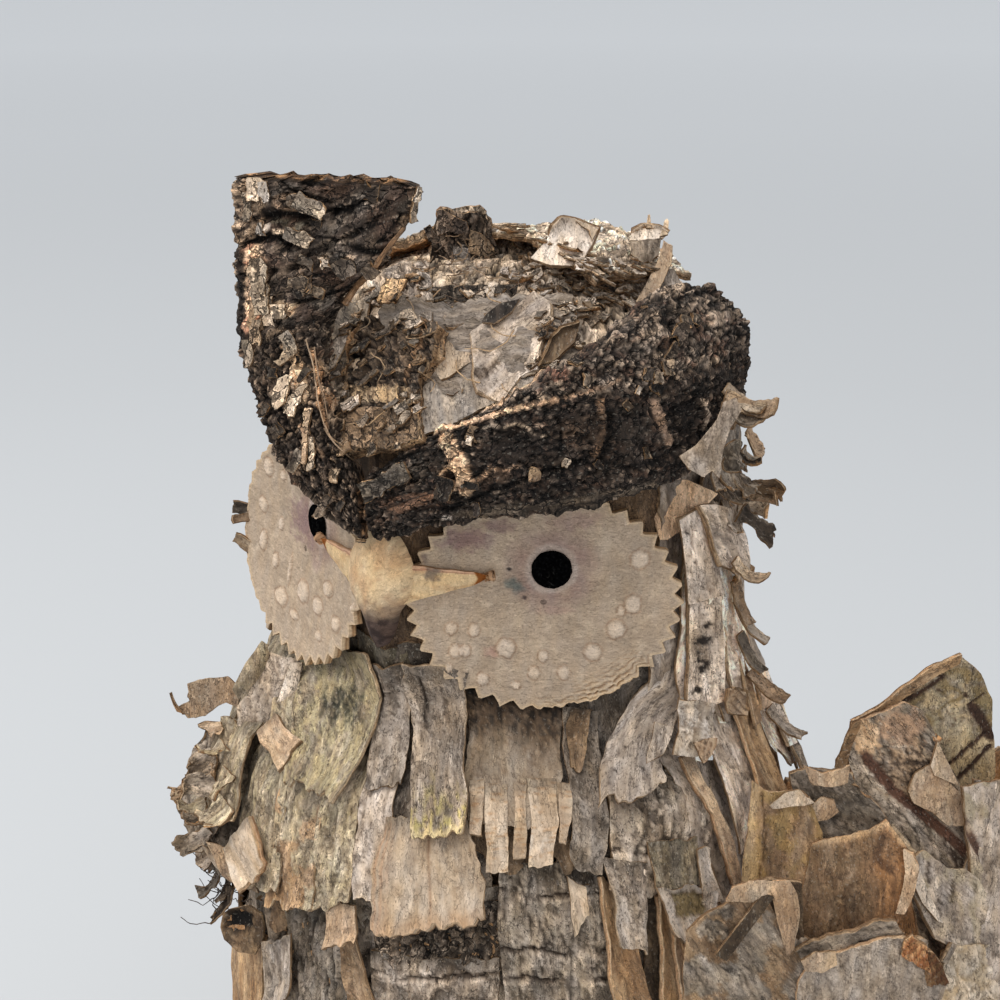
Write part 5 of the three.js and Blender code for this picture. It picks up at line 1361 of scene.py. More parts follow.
def left_brow_feature(h, col, v, u, s, t, kind, fine, X, Y):
    along, across = X * 0.85 - Y * 0.52, X * 0.52 + Y * 0.85
    wa = across + 9 * fbm(along / 45, across / 20, 3, 551)
    wl = along + 8 * fbm(along / 22, across / 16, 3, 552)
    f1, f2, num = cells(wl / 19, wa / 9.5, 553, 0.95)
    gap = ss(0.20, 0.04, f2 - f1)
    g1, g2, num2 = cells(wl / 8, wa / 4.6, 554, 0.95)
    gap2 = ss(0.2, 0.04, g2 - g1)
    long = ss(0.06, 0.015, np.abs(n2(wl / 60, wa / 13, 555))) * ss(-0.3, 0.1, n2(X / 40, Y / 30, 556))
    up = mixc(np.array([74, 64, 55.0]), np.array([128, 115, 101.0]), clamp01(0.55 * num + 0.4 * num2 + 0.25 * fine))
    up = mixc(up, np.array([96, 66, 52.0]), ss(0.2, 0.45, fbm(X / 22, Y / 18, 4, 557, 0.6)) * 0.6)
    up = mixc(up, np.array([168, 152, 132.0]), ss(0.72, 0.9, num2 + 0.3 * n2(X / 20, Y / 20, 558)) * 0.45)
    up = mixc(up, np.array(K, float), clamp01(np.maximum(np.maximum(gap * 0.9, gap2 * 0.5), long)))
    hu = 1.9 * (num - 0.5) + 0.8 * (num2 - 0.5) - 1.5 * gap - 0.5 * gap2 - 1.2 * long + 0.5 * (fine - 0.5)
    wl2, wa2 = X + 7 * fbm(X / 16, Y / 14, 3, 561), Y + 6 * fbm(X / 15, Y / 12, 3, 562)
    f1, f2, num = cells(wl2 / 13, wa2 / 7.5, 563, 0.95)
    gap = ss(0.22, 0.05, f2 - f1)
    r = ridge(X / 9, Y / 6, 4, 564)
    # the lower half's colour follows the ridges r that also raise its relief: crests painted light as a painted
    # highlight, hollows between them painted dark as painted shade
    lw = mixc(np.array([40, 32, 27.0]), np.array([88, 75, 64.0]), clamp01(0.45 * num + 1.1 * (r - 0.35)))
    lw = mixc(lw, np.array([96, 66, 48.0]), ss(0.15, 0.45, fbm(X / 17, Y / 12, 4, 565, 0.6)) * 0.5)
    lw = mixc(lw, np.array([138, 124, 108.0]), ss(0.74, 0.9, r + 0.15 * n2(X / 12, Y / 12, 566)) * 0.55)
    lw = mixc(lw, np.array(K, float), clamp01(gap * 0.85 + 0.8 * ss(0.42, 0.28, r)))
    hl = 1.6 * (num - 0.5) + 2.2 * (r - 0.55) - 1.3 * gap
    line_y = np.interp(X, [350, 396, 450, 505, 555, 620, 680, 740], [450, 438, 427, 412, 398, 392, 378, 352])
    lowm = ss(-3, 5, Y - line_y + 5 * n2(X / 16, Y / 14, 567))
    front = (kind == 0) | (kind == 1)
    h = np.where(front, lerp(hu, hl, lowm), h)
    col = np.where(front[..., None], mixc(up, lw, lowm), col)
    grain = n2(s / 14, t / 0.8, 568)
    lines = [
        ([(372, 442), (396, 438), (422, 433), (450, 427), (480, 419), (505, 412), (530, 406), (556, 400)], 3.0, (196, 160, 126), 0.95, 1.0),
        ([(350, 452), (372, 445), (396, 441)], 4.5, (150, 132, 106), 0.8, 0.6),
        ([(380, 449), (420, 441), (452, 434), (484, 425), (520, 415)], 1.8, K, 0.9, -0.8),
        ([(487, 407), (510, 395), (535, 378), (556, 361)], 2.2, (176, 146, 114), 0.85, 0.6),
        ([(550, 402), (590, 392), (620, 380)], 2.4, (140, 112, 88), 0.7, 0.6),
        ([(412, 510), (452, 507), (490, 492), (530, 477), (565, 465), (592, 457)], 3.2, K, 0.95, -1.6),
        ([(372, 478), (384, 462), (410, 455), (428, 450)], 2.6, K, 0.85, -1.2),
        ([(432, 500), (446, 498), (470, 494)], 2.6, K, 0.8, -1.2),
        ([(612, 416), (609, 440), (600, 460)], 5.0, K, 0.95, -2.0),
        ([(655, 402), (661, 420), (668, 442)], 6.0, (134, 110, 90), 0.9, 0.8),
        ([(600, 403), (604, 430), (596, 455)], 5.0, (116, 88, 62), 0.85, 0.8),
        ([(557, 412), (562, 432), (560, 456)], 2.4, K, 0.8, -1.0),
        ([(485, 428), (492, 424), (502, 430), (515, 423), (528, 428), (535, 438), (547, 437)], 2.2, (140, 128, 112), 0.85, 0.9),
        ([(552, 470), (600, 462), (640, 470), (690, 440)], 2.6, K, 0.8, -1.2),
        ([(703, 398), (709, 412), (706, 428)], 2.4, (150, 138, 124), 0.8, 0.6),
        ([(470, 484), (482, 478), (490, 468), (505, 470), (520, 466)], 2.4, (144, 116, 90), 0.85, 0.6)]
    blobs = [
        (515, 447, 34, 20, (44, 36, 30), 0.8, -1.2), (560, 375, 16, 6, (112, 72, 58), 0.7, 0.2), (583, 432, 26, 20, (76, 58, 43), 0.7, 0.6),
        (632, 432, 15, 28, (68, 60, 53), 0.6, 0.8), (688, 416, 18, 24, (30, 23, 19), 0.95, -2.2), (497, 476, 16, 8, (86, 66, 50), 0.8, 0.7),
        (414, 470, 18, 9, (84, 76, 66), 0.7, 0.8), (352, 498, 14, 38, (22, 17, 14), 0.8, -0.6), (394, 471, 4, 4, (176, 168, 152), 0.8, 0.6),
        (446, 518, 5, 3, (188, 182, 172), 0.85, 0.4), (440, 440, 8, 6, (36, 28, 24), 0.8, -1.0)]
    h, col = np.where(front, 1.0, 0) * 0 + h, col
    h2, c2 = spots(h, col, X, Y, lines, blobs, 2700)
    knot = band(X, Y, [(446, 440), (454, 452), (461, 468), (466, 488)], 10.0, 0.35, 2790, 1.6)
    kc = mixc(np.array([178, 152, 120.0]), np.array([136, 104, 76.0]), ss(-0.1, 0.5, fbm(X / 14, Y / 4, 4, 2791)))
    kc = mixc(kc, np.array([88, 62, 44.0]), ss(0.10, 0.03, np.abs(n2(X / 14, Y / 9, 2792))) * 0.7)
    c2 = mixc(c2, kc, knot)
    h2 = h2 * (1 - 0.6 * knot) + 1.5 * knot
    d = np.hypot((X - 449) / 9.5, (Y - 479) / 10.5) + 0.15 * n2(X / 4, Y / 4, 2793)
    ring_ = ss(1.25, 1.1, d)
    c2 = mixc(c2, mixc(np.array([172, 142, 108.0]), np.array([54, 38, 28.0]), ss(0.92, 0.62, d)), ring_)
    h2 = h2 + ring_ * (0.6 - 2.6 * ss(0.95, 0.5, d))
    strip_ = band(X, Y, [(455, 516), (500, 511), (560, 503), (620, 495), (655, 486)], 7.0, 0.4, 2794, 2.0)
    sc = mixc(np.array([96, 86, 72.0]), np.array([52, 44, 36.0]), ss(-0.1, 0.45, grain))
    c2 = mixc(c2, sc, strip_ * 0.85)
    h2 = h2 * (1 - 0.5 * strip_) + 0.4 * grain * strip_
    red = blob(X, Y, 408, 503, 38, 11, 2795, 0.5, 0.3)
    rc_ = mixc(np.array([124, 90, 68.0]), np.array([48, 34, 27.0]), ss(-0.15, 0.35, n2(X / 24 + Y / 9, Y / 2.6 + X / 11, 2796)))
    c2 = mixc(c2, rc_, red * 0.85)
    h = np.where(front, h2, h)
    col = np.where(front[..., None], c2, col)
    lum = col.mean(-1, keepdims=True)
    warm_ = 1 + ss(0.0, 0.45, fbm(X / 26, Y / 20, 3, 2799)) * 0.14
    return h * 0.62, np.clip((lum + (col - lum) * 0.70) * warm_[..., None] * (0.72 + 0.46 * ss(40, 115, lum)), 4, 215)


def right_brow_feature(h, col, v, u, s, t, kind, fine, X, Y):
    h, col = right_brow_base(h, col, v, u, s, t, kind, fine)
    front = kind == 0
    # the raised flap: long plates that climb to the upper right
    al, ac = X * 0.87 - Y * 0.49, X * 0.49 + Y * 0.87
    g = fbm(al / 40, ac / 6, 4, 572, 0.6)
    flap = mixc(np.array([66, 57, 50.0]), np.array([100, 89, 79.0]), ss(-0.3, 0.45, g + 0.3 * n2(X / 5, Y / 5, 573)))
    flap = mixc(flap, np.array([94, 96, 94.0]), ss(0.0, 0.4, n2(X / 50, Y / 34, 574)) * 0.4)
    flap = mixc(flap, np.array([84, 60, 48.0]), ss(0.05, 0.4, n2(X / 40 + 5, Y / 30, 575)) * 0.5)
    step = n2(al / 75, ac / 19 + 0.3 * n2(al / 30, ac / 14, 571), 576)
    edge_ = ss(0.05, 0.012, np.abs(step))
    step2 = n2(al / 34, ac / 9, 577)
    edge2 = ss(0.05, 0.012, np.abs(step2)) * ss(-0.1, 0.3, n2(X / 30, Y / 30, 578))
    # painted highlight: a light band on the raised side of each step of the flap
    flap = mixc(flap, np.array([138, 124, 108.0]), ss(0.0, 0.02, step) * ss(0.10, 0.03, step) * 0.55)
    flap = mixc(flap, np.array(K, float), np.maximum(edge_, edge2 * 0.8))
    hf = 1.1 * ss(-0.03, 0.05, step) + 0.5 * ss(-0.03, 0.05, step2) - 1.4 * edge_ - 0.8 * edge2 + 0.35 * g + 1.3 * fbm(X / 60, Y / 60, 2, 579)
    m = ss(330, 318, Y + 0.42 * (X - 300) + 6 * n2(X / 10, Y / 10, 580)) * front
    h = lerp(h, hf, m)
    col = mixc(col, flap, m)
    left = ss(270, 262, X + 5 * n2(X / 9, Y / 12, 581)) * ss(330, 316, Y) * front
    cr = ridge(X / 7, Y / 9, 4, 582)
    # the colour follows the ridges cr that also raise the relief: crests painted light as a painted highlight, hollows
    # painted dark as painted shade
    lc = mixc(np.array([66, 54, 45.0]), np.array([172, 150, 124.0]), ss(0.42, 0.75, cr))
    lc = mixc(lc, np.array(K, float), ss(0.40, 0.30, cr) * 0.8)
    col = mixc(col, lc, left * 0.9)
    h = h + left * 2.0 * (cr - 0.55)
    lines = [
        ([(262, 178), (271, 171), (293, 190), (313, 198), (333, 203)], 2.6, K, 0.9, -1.4), ([(302, 183), (323, 185)], 2.8, K, 0.9, -1.4),
        ([(308, 214), (330, 211), (347, 208), (360, 203), (370, 197)], 2.0, K, 0.95, -1.4), ([(331, 212), (352, 211)], 4.5, K, 0.95, -2.0),
        ([(353, 237), (377, 223)], 2.2, K, 0.9, -1.2), ([(376, 244), (397, 222), (418, 200)], 1.6, K, 0.9, -1.0), ([(267, 215), (287, 213), (307, 217)], 5.0, K, 0.95, -2.2),
        ([(248, 246), (263, 236), (280, 238), (287, 244)], 5.5, K, 0.95, -2.4), ([(303, 278), (330, 273)], 1.8, K, 0.85, -1.0),
        ([(297, 302), (320, 297), (347, 288), (366, 274)], 2.0, K, 0.9, -1.2), ([(356, 247), (372, 253), (388, 250)], 4.2, K, 0.95, -2.0),
        ([(340, 222), (362, 232), (350, 240)], 1.3, K, 0.8, -0.6), ([(322, 236), (345, 240), (352, 248)], 1.5, K, 0.8, -0.8),
        ([(398, 243), (408, 222), (420, 200)], 4.0, (132, 112, 92), 0.8, 0.7), ([(402, 246), (404, 254)], 4.0, K, 0.85, -1.2),
        ([(275, 233), (292, 231)], 3.5, (182, 164, 138), 0.85, 0.8), ([(275, 198), (292, 196), (305, 206), (286, 210), (276, 204)], 4.0, (150, 126, 102), 0.75, 0.8),
        ([(262, 232), (267, 226)], 3.5, (196, 190, 182), 0.85, 0.8), ([(282, 186), (290, 200), (303, 206)], 1.8, K, 0.6, -0.8)]
    blobs = [
        (326, 257, 7, 4, (158, 146, 130), 0.85, 0.9), (342, 242, 5, 4, (126, 116, 104), 0.8, 0.6), (353, 257, 6, 4, (170, 150, 128), 0.8, 0.6),
        (300, 226, 6, 5, (112, 114, 106), 0.7, 0.4), (281, 222, 10, 5, (70, 74, 56), 0.5, 0), (302, 262, 22, 9, (84, 66, 52), 0.4, 0.2)]
    h2, c2 = spots(h, col, X, Y, lines, blobs, 2800)
    # the pale curly strip and the cream flat at the foot of the tuft
    cm = band(X, Y, [(250, 252), (257, 262), (258, 285), (256, 305), (252, 325)], 11.0, 0.25, 2860, 2.0)
    curly = n2(X / 8 + 1.5 * n2(X / 12, Y / 14, 2861), Y / 22, 2862)
    cc = mixc(np.array([208, 180, 150.0]), np.array([170, 124, 98.0]), ss(-0.1, 0.45, curly))
    cc = mixc(cc, np.array([70, 48, 36.0]), ss(0.07, 0.02, np.abs(curly - 0.1)) * 0.8)
    c2 = mixc(c2, cc, cm * 0.92)
    h2 = h2 * (1 - 0.5 * cm) + cm * (0.8 + 1.2 * curly)
    fm = blob(X, Y, 282, 309, 17, 9, 2863, 0.4, 0.25)
    c2 = mixc(c2, mixc(np.array([206, 184, 150.0]), np.array([166, 138, 110.0]), ss(-0.1, 0.4, n2(X / 7, Y / 5, 2864))), fm * 0.9)
    sil = ss(248, 243, X + 3 * n2(Y / 7, 1.1, 2865)) * ss(240, 250, Y) * front
    c2 = mixc(c2, np.array([26, 20, 17.0]), sil * 0.85)
    # the lower arm: crumbled dark bark with pale splinters; its ridges are painted light on the crests and dark in the
    # hollows, as painted highlight and shade
    lo_ = ss(318, 332, Y + 0.42 * (X - 300)) * front
    wx, wy = X + 7 * fbm(X / 15, Y / 18, 3, 583), Y + 8 * fbm(X / 16, Y / 18, 3, 584)
    f1, f2, num = cells(wx / 8.5, wy / 14, 585, 0.95)
    gp_ = ss(0.22, 0.05, f2 - f1)
    r = ridge(X / 7, Y / 10, 4, 586)
    ac_ = mixc(np.array([44, 36, 31.0]), np.array([112, 97, 83.0]), clamp01(0.5 * num + 1.1 * (r - 0.4)))
    ac_ = mixc(ac_, np.array([166, 146, 122.0]), ss(0.70, 0.86, r + 0.2 * n2(X / 14, Y / 14, 587)) * 0.7)
    ac_ = mixc(ac_, np.array(K, float), clamp01(0.85 * gp_ + 0.8 * ss(0.42, 0.28, r)))
    c2 = mixc(c2, ac_, lo_ * (1 - cm) * (1 - fm) * 0.9)
    h2 = lerp(h2, 1.6 * (num - 0.5) + 2.2 * (r - 0.55) - 1.3 * gp_, lo_ * (1 - cm) * (1 - fm) * 0.9)
    pale_ = [([(290, 352), (298, 366), (294, 384)], 7.0, (196, 172, 140), 0.9, 0.9), ([(300, 372), (306, 388), (302, 400)], 5.0, (206, 184, 154), 0.9, 0.9),
             ([(312, 350), (317, 378), (320, 405), (326, 428)], 3.2, (178, 138, 98), 0.85, 0.6), ([(283, 345), (296, 350)], 4.0, (170, 140, 106), 0.8, 0.6),
             ([(268, 338), (276, 330), (292, 334)], 3.0, (140, 122, 100), 0.7, 0.5), ([(300, 425), (312, 440), (322, 456)], 2.6, (156, 128, 100), 0.7, 0.4),
             ([(262, 352), (272, 372), (268, 395)], 2.4, (104, 92, 80), 0.7, 0.6), ([(276, 392), (284, 420), (300, 446)], 2.2, K, 0.8, -1.2),
             ([(318, 470), (330, 492), (346, 512)], 2.0, (120, 104, 88), 0.7, 0.6), ([(338, 458), (340, 476), (336, 492)], 3.0, K, 0.8, -1.0)]
    h2, c2 = spots(h2, c2, X, Y, pale_, [], 2880)
    h = np.where(front, h2, h)
    col = np.where(front[..., None], c2, col)
    lum = col.mean(-1, keepdims=True)
    return h * 0.95, np.clip((lum + (col - lum) * 0.78) * (0.88 + 0.32 * ss(45, 115, lum)), 4, 235)


def right_brow_base(h, col, v, u, s, t, kind, fine):
    # the ear tuft is a thinner flap with dark smooth grain and long cracks that climb towards its tip
    p1 = s - 0.42 * t + 2.6 * fbm(s / 15, t / 17, 2, 87)
    q1 = t + 0.42 * s
    g1 = fbm(p1 / 2.6, q1 / 22, 4, 88, 0.6)
    c1 = n2(p1 / 9.0, q1 / 30, 89)
    crack = ss(0.045, 0.012, np.abs(c1)) * ss(-0.2, 0.15, n2(s / 12, t / 12, 90))
    c2_ = n2(p1 / 4.2 + 9, q1 / 19, 91)
    crack = np.maximum(crack, ss(0.06, 0.015, np.abs(c2_)) * ss(0.05, 0.3, n2(s / 9, t / 10, 92)) * 0.9)
    ledge = ss(-0.02, 0.10, c1) * 0.9 + 0.5 * ss(-0.02, 0.08, c2_)
    flap = mixc(np.array([96, 85, 75.0]), np.array([126, 114, 101.0]), ss(-0.3, 0.5, g1))
    flap = mixc(flap, np.array([74, 75, 74.0]), ss(0.0, 0.5, n2(s / 20, t / 16, 93)) * 0.35)
    flap = mixc(flap, np.array([70, 58, 49.0]), ss(-0.2, 0.3, fbm(s / 7, t / 7, 3, 94)) * 0.5)
    chips = ss(0.42, 0.5, n2(s / 3.0, t / 2.2, 95)) * ss(0.1, 0.5, n2(s / 12, t / 14, 96))
    flap = mixc(flap, np.array([172, 156, 132.0]), chips * 0.8)
    flap = mixc(flap, np.array([18, 14, 12.0]), crack)
    hf = 0.5 * g1 - 1.7 * crack + ledge + 0.9 * fbm(s / 16, t / 16, 2, 97) + 0.5 * chips
    m = ss(0.60, 0.68, v + 0.05 * n2(t / 6, s / 20, 98)) * ss(0.24, 0.36, u + 0.09 * n2(s / 6, t / 9, 99)) * (kind == 0)
    h = lerp(h, hf, m)
    col = mixc(col, flap, m)
    # pinkish tan curly strip beside it
    f = ss(0.50, 0.56, v) * ss(0.80, 0.74, v) * ss(0.27, 0.18, u + 0.08 * n2(s / 5, t / 9, 195)) * ss(0.02, 0.08, u) * (kind == 0)
    curly = fbm(s / 5, t / 1.3 + 1.5 * n2(s / 5, t / 6, 196), 4, 197, 0.6)
    cc = mixc(np.array([204, 172, 144.0]), np.array([164, 124, 98.0]), ss(-0.1, 0.5, curly))
    cc = mixc(cc, np.array([60, 42, 32.0]), ss(0.3, 0.6, curly))
    col = mixc(col, cc, f * 0.92)
    h = lerp(h, 1.2 * curly + 0.4, f)
    # pale fibres on the inner side of the lower arm
    f2 = ss(0.20, 0.28, v) * ss(0.50, 0.42, v) * ss(0.62, 0.74, u + 0.12 * n2(s / 6, t / 6, 198)) * ((kind == 0) | (kind == 1))
    fib = n2(t / 1.1, s / 12, 199)
    cf = mixc(np.array([206, 184, 154.0]), np.array([150, 112, 78.0]), ss(-0.2, 0.5, fib))
    col = mixc(col, cf, f2 * ss(-0.25, 0.15, n2(s / 7, t / 4, 200)) * 0.85)
    # the tuft's edge is pale, weathered and layered
    e = (kind == 1) * ss(0.70, 0.8, v)
    lay_ = np.sin(t * 5.5 + 1.5 * n2(s / 9, 1.1, 201))
    col = mixc(col, mixc(np.array([120, 104, 86.0]), np.array([60, 49, 40.0]), ss(-0.2, 0.6, lay_)), e * 0.8)
    return h, col


def patch(bag, corners, kind="grey", seed=0, off=None, res=0.8, t=0.9, jag=1.3, curl=0.0, curl_from=0.7, side=(0.0, 0.0), bow=0.0,
          wave=0.8, cup=0.0, coarse=2, under=(150, 124, 94), rim=None, relief=1.0, scaly=0.0, edge_w=0.8, lenticels=0.5, peel=1.0,
          rows=3, keep_as=None, feature=None, tone=1.0, size=(5, 9), head=0.0, kind2=None, grain=0):
    """A strip on the body between four picture points (x, y, height off the body): top left, top right, bottom right,
    bottom left. curl lifts its foot, side its left and right edges, mm."""
    pts = [seen(c[0], c[1], c[2]) + (c[2],) for c in corners]
    res = res * 1.08
    T = np.array([[q[2], q[3], q[4]] for q in pts])
    P = np.array([q[0] for q in pts])
    wid = (np.linalg.norm(P[1] - P[0]) + np.linalg.norm(P[2] - P[3])) / 2
    hei = (np.linalg.norm(P[3] - P[0]) + np.linalg.norm(P[2] - P[1])) / 2
    nu = coarse * max(2, int(round(wid / res / coarse)))
    nv = coarse * max(3, int(round(hei / res / coarse)))
    u = np.linspace(0, 1, nu + 1)[None, :]
    v = np.linspace(0, 1, nv + 1)[:, None]
    um, vm = u * wid + 0 * v, v * hei + 0 * u
    e = lambda a, k: jag * (1.2 * n2(a / 15, 1.1 * k, seed + k) + 0.28 * n2(a / 4.6, 2.2 * k, seed + k + 20) + 0.22 * torn(a * 1.3, seed + k + 22))
    uu = u + lerp(e(vm, 1), e(vm, 2), u) / wid * np.abs(2 * u - 1) ** 2
    vv = v + lerp(torn(um, seed + 3) * jag * 0.8, torn(um, seed + 4) * jag * 1.9, v) / hei * np.abs(2 * v - 1) ** 2
    bil = lambda k: lerp(lerp(T[0, k], T[1, k], uu), lerp(T[3, k], T[2, k], uu), vv)
    th, z, o = bil(0) + bow * np.sin(v * math.pi), bil(1), bil(2)
    o = o + cup * (2 * u - 1) ** 2 + head * clamp01(1 - v / 0.2) ** 2
    o = o + curl * clamp01((v - curl_from) / (1 - curl_from)) ** 1.7 * (1 + 0.4 * n2(um / 9, 4.4, seed + 30))
    o = o + side[0] * clamp01(1 - u / 0.28) ** 1.8 * (0.3 + v) + side[1] * clamp01((u - 0.72) / 0.28) ** 1.8 * (0.3 + v)
    o = o + wave * (0.45 * fbm(um / 13, vm / 15, 2, seed + 31) + 0.2 * fbm(um / 4, vm / 6, 2, seed + 32))
    p0 = around(th, surface_radius(th, np.clip(z, 16, 352)) + o, z)
    edge = np.minimum(np.minimum(u, 1 - u) * wid, np.minimum(v, 1 - v) * hei)
    s, tt = (um, vm) if not grain else (vm, um)
    h, col = surface(kind, s, tt, edge, seed, relief, scaly, edge_w, lenticels, peel, size)
    if kind2:
        _, other = surface(kind2, s, tt, edge, seed + 40, relief, scaly, edge_w, lenticels, peel, size)
        col = mixc(col, other, ss(-0.05, 0.12, fbm(um / 17, vm / 17, 4, seed + 44)))
    if feature is not None:
        col, h = feature(col, h, u + 0 * v, v + 0 * u, um, vm, edge)
    # painted shade: each patch is darkened towards its upper edge, where it tucks under the pieces above
    col = col * tone * (1 - 0.25 * ss(0.22, 0.0, v + 0 * u))[..., None]
    st = np.stack(np.broadcast_arrays(s, tt, seed * 3.1 + 0 * s), -1)
    bag.add(*sheet_arrays(p0, h, t * (1 + 0.2 * fbm(um / 5, vm / 7, 2, seed + 73)), col, st, under, seed, rows, 0.3, coarse, rim, keep_as))


def flat_patch(bag, corners, kind="grey", seed=0, bulge=0.0, **kw):
    """As patch, but straight between its four picture points, which may lie anywhere: for the crown and the brows.
    Each corner: picture x, y and either a height off the body or a (height, carriers) pair."""
    pts = []
    for c in corners:
        if isinstance(c[2], tuple):
            q, n = on(c[2][1], c[0], c[1])
            pts.append(q + n * c[2][0])
        else:
            pts.append(seen(c[0], c[1], c[2])[0])
    panel(bag, pts, bulge, kind=kind, seed=seed, **kw)


def curl_at(bag, px, py, names, up_px, **kw):
    """A leaf fastened where the picture shows (px, py) on the named pieces; its upper end points towards picture direction up_px."""
    if names is None:
        p, n = seen(px, py, kw.pop("off", 5.0))[:2]
    else:
        p, n = on(names, px, py)
    n = unit(n)
    up = RIGHT * up_px[0] + UP * up_px[1]
    leaf(bag, p, n, up, **kw)


def walk(points, n):
    """n + 1 points evenly along a broken line."""
    p = np.array(points, float)
    d = np.concatenate([[0], np.cumsum(np.linalg.norm(np.diff(p[:, :2], axis=0), axis=1))])
    at = np.linspace(0, d[-1], n + 1)
    return np.stack([np.interp(at, d, p[:, k]) for k in range(p.shape[1])], -1)


def flat_hit(px, py, plane, off=0.0):
    """Where the picture ray through (px, py) meets a plane (point, normal), lifted by off."""
    o, n = plane
    d = unit(-TOWARD * 1.0 + RIGHT * (px - 500) / 1000 * 36 / 61.2 + UP * (500 - py) / 1000 * 36 / 61.2)
    k = ((o + n * off - EYE) @ n) / (d @ n)
    return EYE + d * k


def plane_of(corners):
    c = np.array(corners, float)
    n = unit(np.cross(c[1] - c[3], c[2] - c[0]))
    return c.mean(0), (n if n @ TOWARD > 0 else -n)


def cut(bag, top, bottom, left=(), right=(), kind="grey", seed=0, plane=None, res=0.8, t=1.0, jag=0.6, bulge=0.0, wave=0.6, curl=(0, 0, 0, 0),
        coarse=2, under=(150, 120, 88), rim=None, relief=1.0, scaly=0.0, edge_w=0.8, lenticels=0.5, peel=1.0, rows=3, keep_as=None,
        feature=None, tone=1.0, size=(5, 9), turn=0.0, fold=0.0, kind2=None):
    """A sheet with a traced outline, points (picture x, picture y, height): top and bottom run left to right, with the corners;
    left and right run down between them. On the body, or on a plane. turn: degrees by which the grain leans.
    feature works in the outline's own x and y."""
    tl, tr, bl, br = top[0], top[-1], bottom[0], bottom[-1]
    res = res * 1.12
    size_px = lambda a: np.linalg.norm(np.diff(np.array(a, float)[:, :2], axis=0), axis=1).sum() / 3.1
    lft, rgt = [tl, *left, bl], [tr, *right, br]
    nu = coarse * max(2, int(round(max(size_px(top), size_px(bottom)) / res / coarse)))
    nv = coarse * max(2, int(round(max(size_px(lft), size_px(rgt)) / res / coarse)))
    T, B, L, R = walk(top, nu), walk(bottom, nu), walk(lft, nv), walk(rgt, nv)
    u = np.linspace(0, 1, nu + 1)[None, :, None]
    v = np.linspace(0, 1, nv + 1)[:, None, None]
    Q = (1 - v) * T[None] + v * B[None] + (1 - u) * L[:, None] + u * R[:, None]
    Q = Q - ((1 - u) * (1 - v) * T[0] + u * (1 - v) * T[-1] + (1 - u) * v * B[0] + u * v * B[-1])
    x, y, o = Q[..., 0], Q[..., 1], Q[..., 2]
    u, v = u[..., 0], v[..., 0]
    um, vm = (x - x.min()) / 3.1, (y - y.min()) / 3.1
    jx = jag * 3.1 * (0.7 * n2(vm / 6, 1.3, seed + 1) + 0.35 * torn(vm * 1.2, seed + 2))
    jy = jag * 3.1 * torn(um * 1.2, seed + 3)
    x = x + jx * np.abs(2 * u - 1) ** 6
    y = y + jy * np.abs(2 * v - 1) ** 6
    o = o + bulge * (1 - (2 * u - 1) ** 2) * (1 - (2 * v - 1) ** 2) + fold * (1 - np.abs(2 * u - 1))
    o = o + wave * (0.7 * fbm(um / 15, vm / 15, 2, seed + 4) + 0.25 * fbm(um / 5, vm / 6, 2, seed + 5))
    o = o + curl[0] * clamp01(1 - v / 0.2) ** 2 + curl[2] * clamp01((v - 0.8) / 0.2) ** 2 + curl[1] * clamp01((u - 0.8) / 0.2) ** 2 + curl[3] * clamp01(1 - u / 0.2) ** 2
    if plane is not None:
        pp, n = plane
        d = -TOWARD + RIGHT * ((x - 500) / 1000 * 36 / 61.2)[..., None] + UP * ((500 - y) / 1000 * 36 / 61.2)[..., None]
        k = ((pp - EYE) @ n + o) / (d @ n)
        p0 = EYE + d * k[..., None]
    else:
        k = 6
        ju = np.unique(np.r_[np.arange(0, nu, k), nu])
        jv = np.unique(np.r_[np.arange(0, nv, k), nv])
        th, zz = np.zeros((len(jv), len(ju))), np.zeros((len(jv), len(ju)))
        for a, j in enumerate(jv):
            for b, i in enumerate(ju):
                _, _, th[a, b], zz[a, b] = seen(x[j, i], y[j, i], o[j, i])
        grid = lambda g: np.array([np.interp(np.arange(nu + 1), ju, row) for row in np.array([np.interp(np.arange(nv + 1), jv, c) for c in g.T]).T])
        th, zz = grid(th), grid(zz)
        p0 = around(th, surface_radius(th, np.clip(zz, 16, 352)) + o, zz)
    edge = np.minimum(np.minimum(u, 1 - u) * nu, np.minimum(v, 1 - v) * nv) * res
    a = math.radians(turn)
    s_, t_ = um * math.cos(a) + vm * math.sin(a), vm * math.cos(a) - um * math.sin(a)
    h, col = surface(kind, s_, t_, edge, seed, relief, scaly, edge_w, lenticels, peel, size)
    if kind2:
        _, other = surface(kind2, s_, t_, edge, seed + 40, relief, scaly, edge_w, lenticels, peel, size)
        col = mixc(col, other, ss(-0.05, 0.12, fbm(um / 13, vm / 13, 4, seed + 44)))
    if feature is not None:
        col, h = feature(col, h, x, y, um, vm, edge)
    col = col * tone
    st = np.stack(np.broadcast_arrays(s_, t_, seed * 3.1 + 0 * s_), -1)
    bag.add(*sheet_arrays(p0, h, t * (1 + 0.2 * fbm(um / 5, vm / 7, 2, seed + 73)), col, st, under, seed, rows, 0.3, coarse, rim, keep_as))


def band(x, y, pts, w, soft=0.3, seed=0, wob=1.0):
    """1 along a broken line of the outline's own coordinates, half-width w."""
    best = np.full(x.shape, 99.0)
    for (ax, ay), (bx, by) in zip(pts[:-1], pts[1:]):
        dx, dy = bx - ax, by - ay
        k = clamp01(((x - ax) * dx + (y - ay) * dy) / (dx * dx + dy * dy))
        best = np.minimum(best, np.hypot(x - ax - k * dx, y - ay - k * dy))
    best = best + wob * fbm(x / 6, y / 6, 3, seed + 60)
    return ss(w, w * (1 - soft), best)


def blob(x, y, cx, cy, rx, ry, seed=0, wob=0.3, soft=0.2):
    d = np.hypot((x - cx) / rx, (y - cy) / ry) + wob * fbm(x / 8, y / 8, 4, seed + 61)
    return ss(1.0, 1 - soft, d)


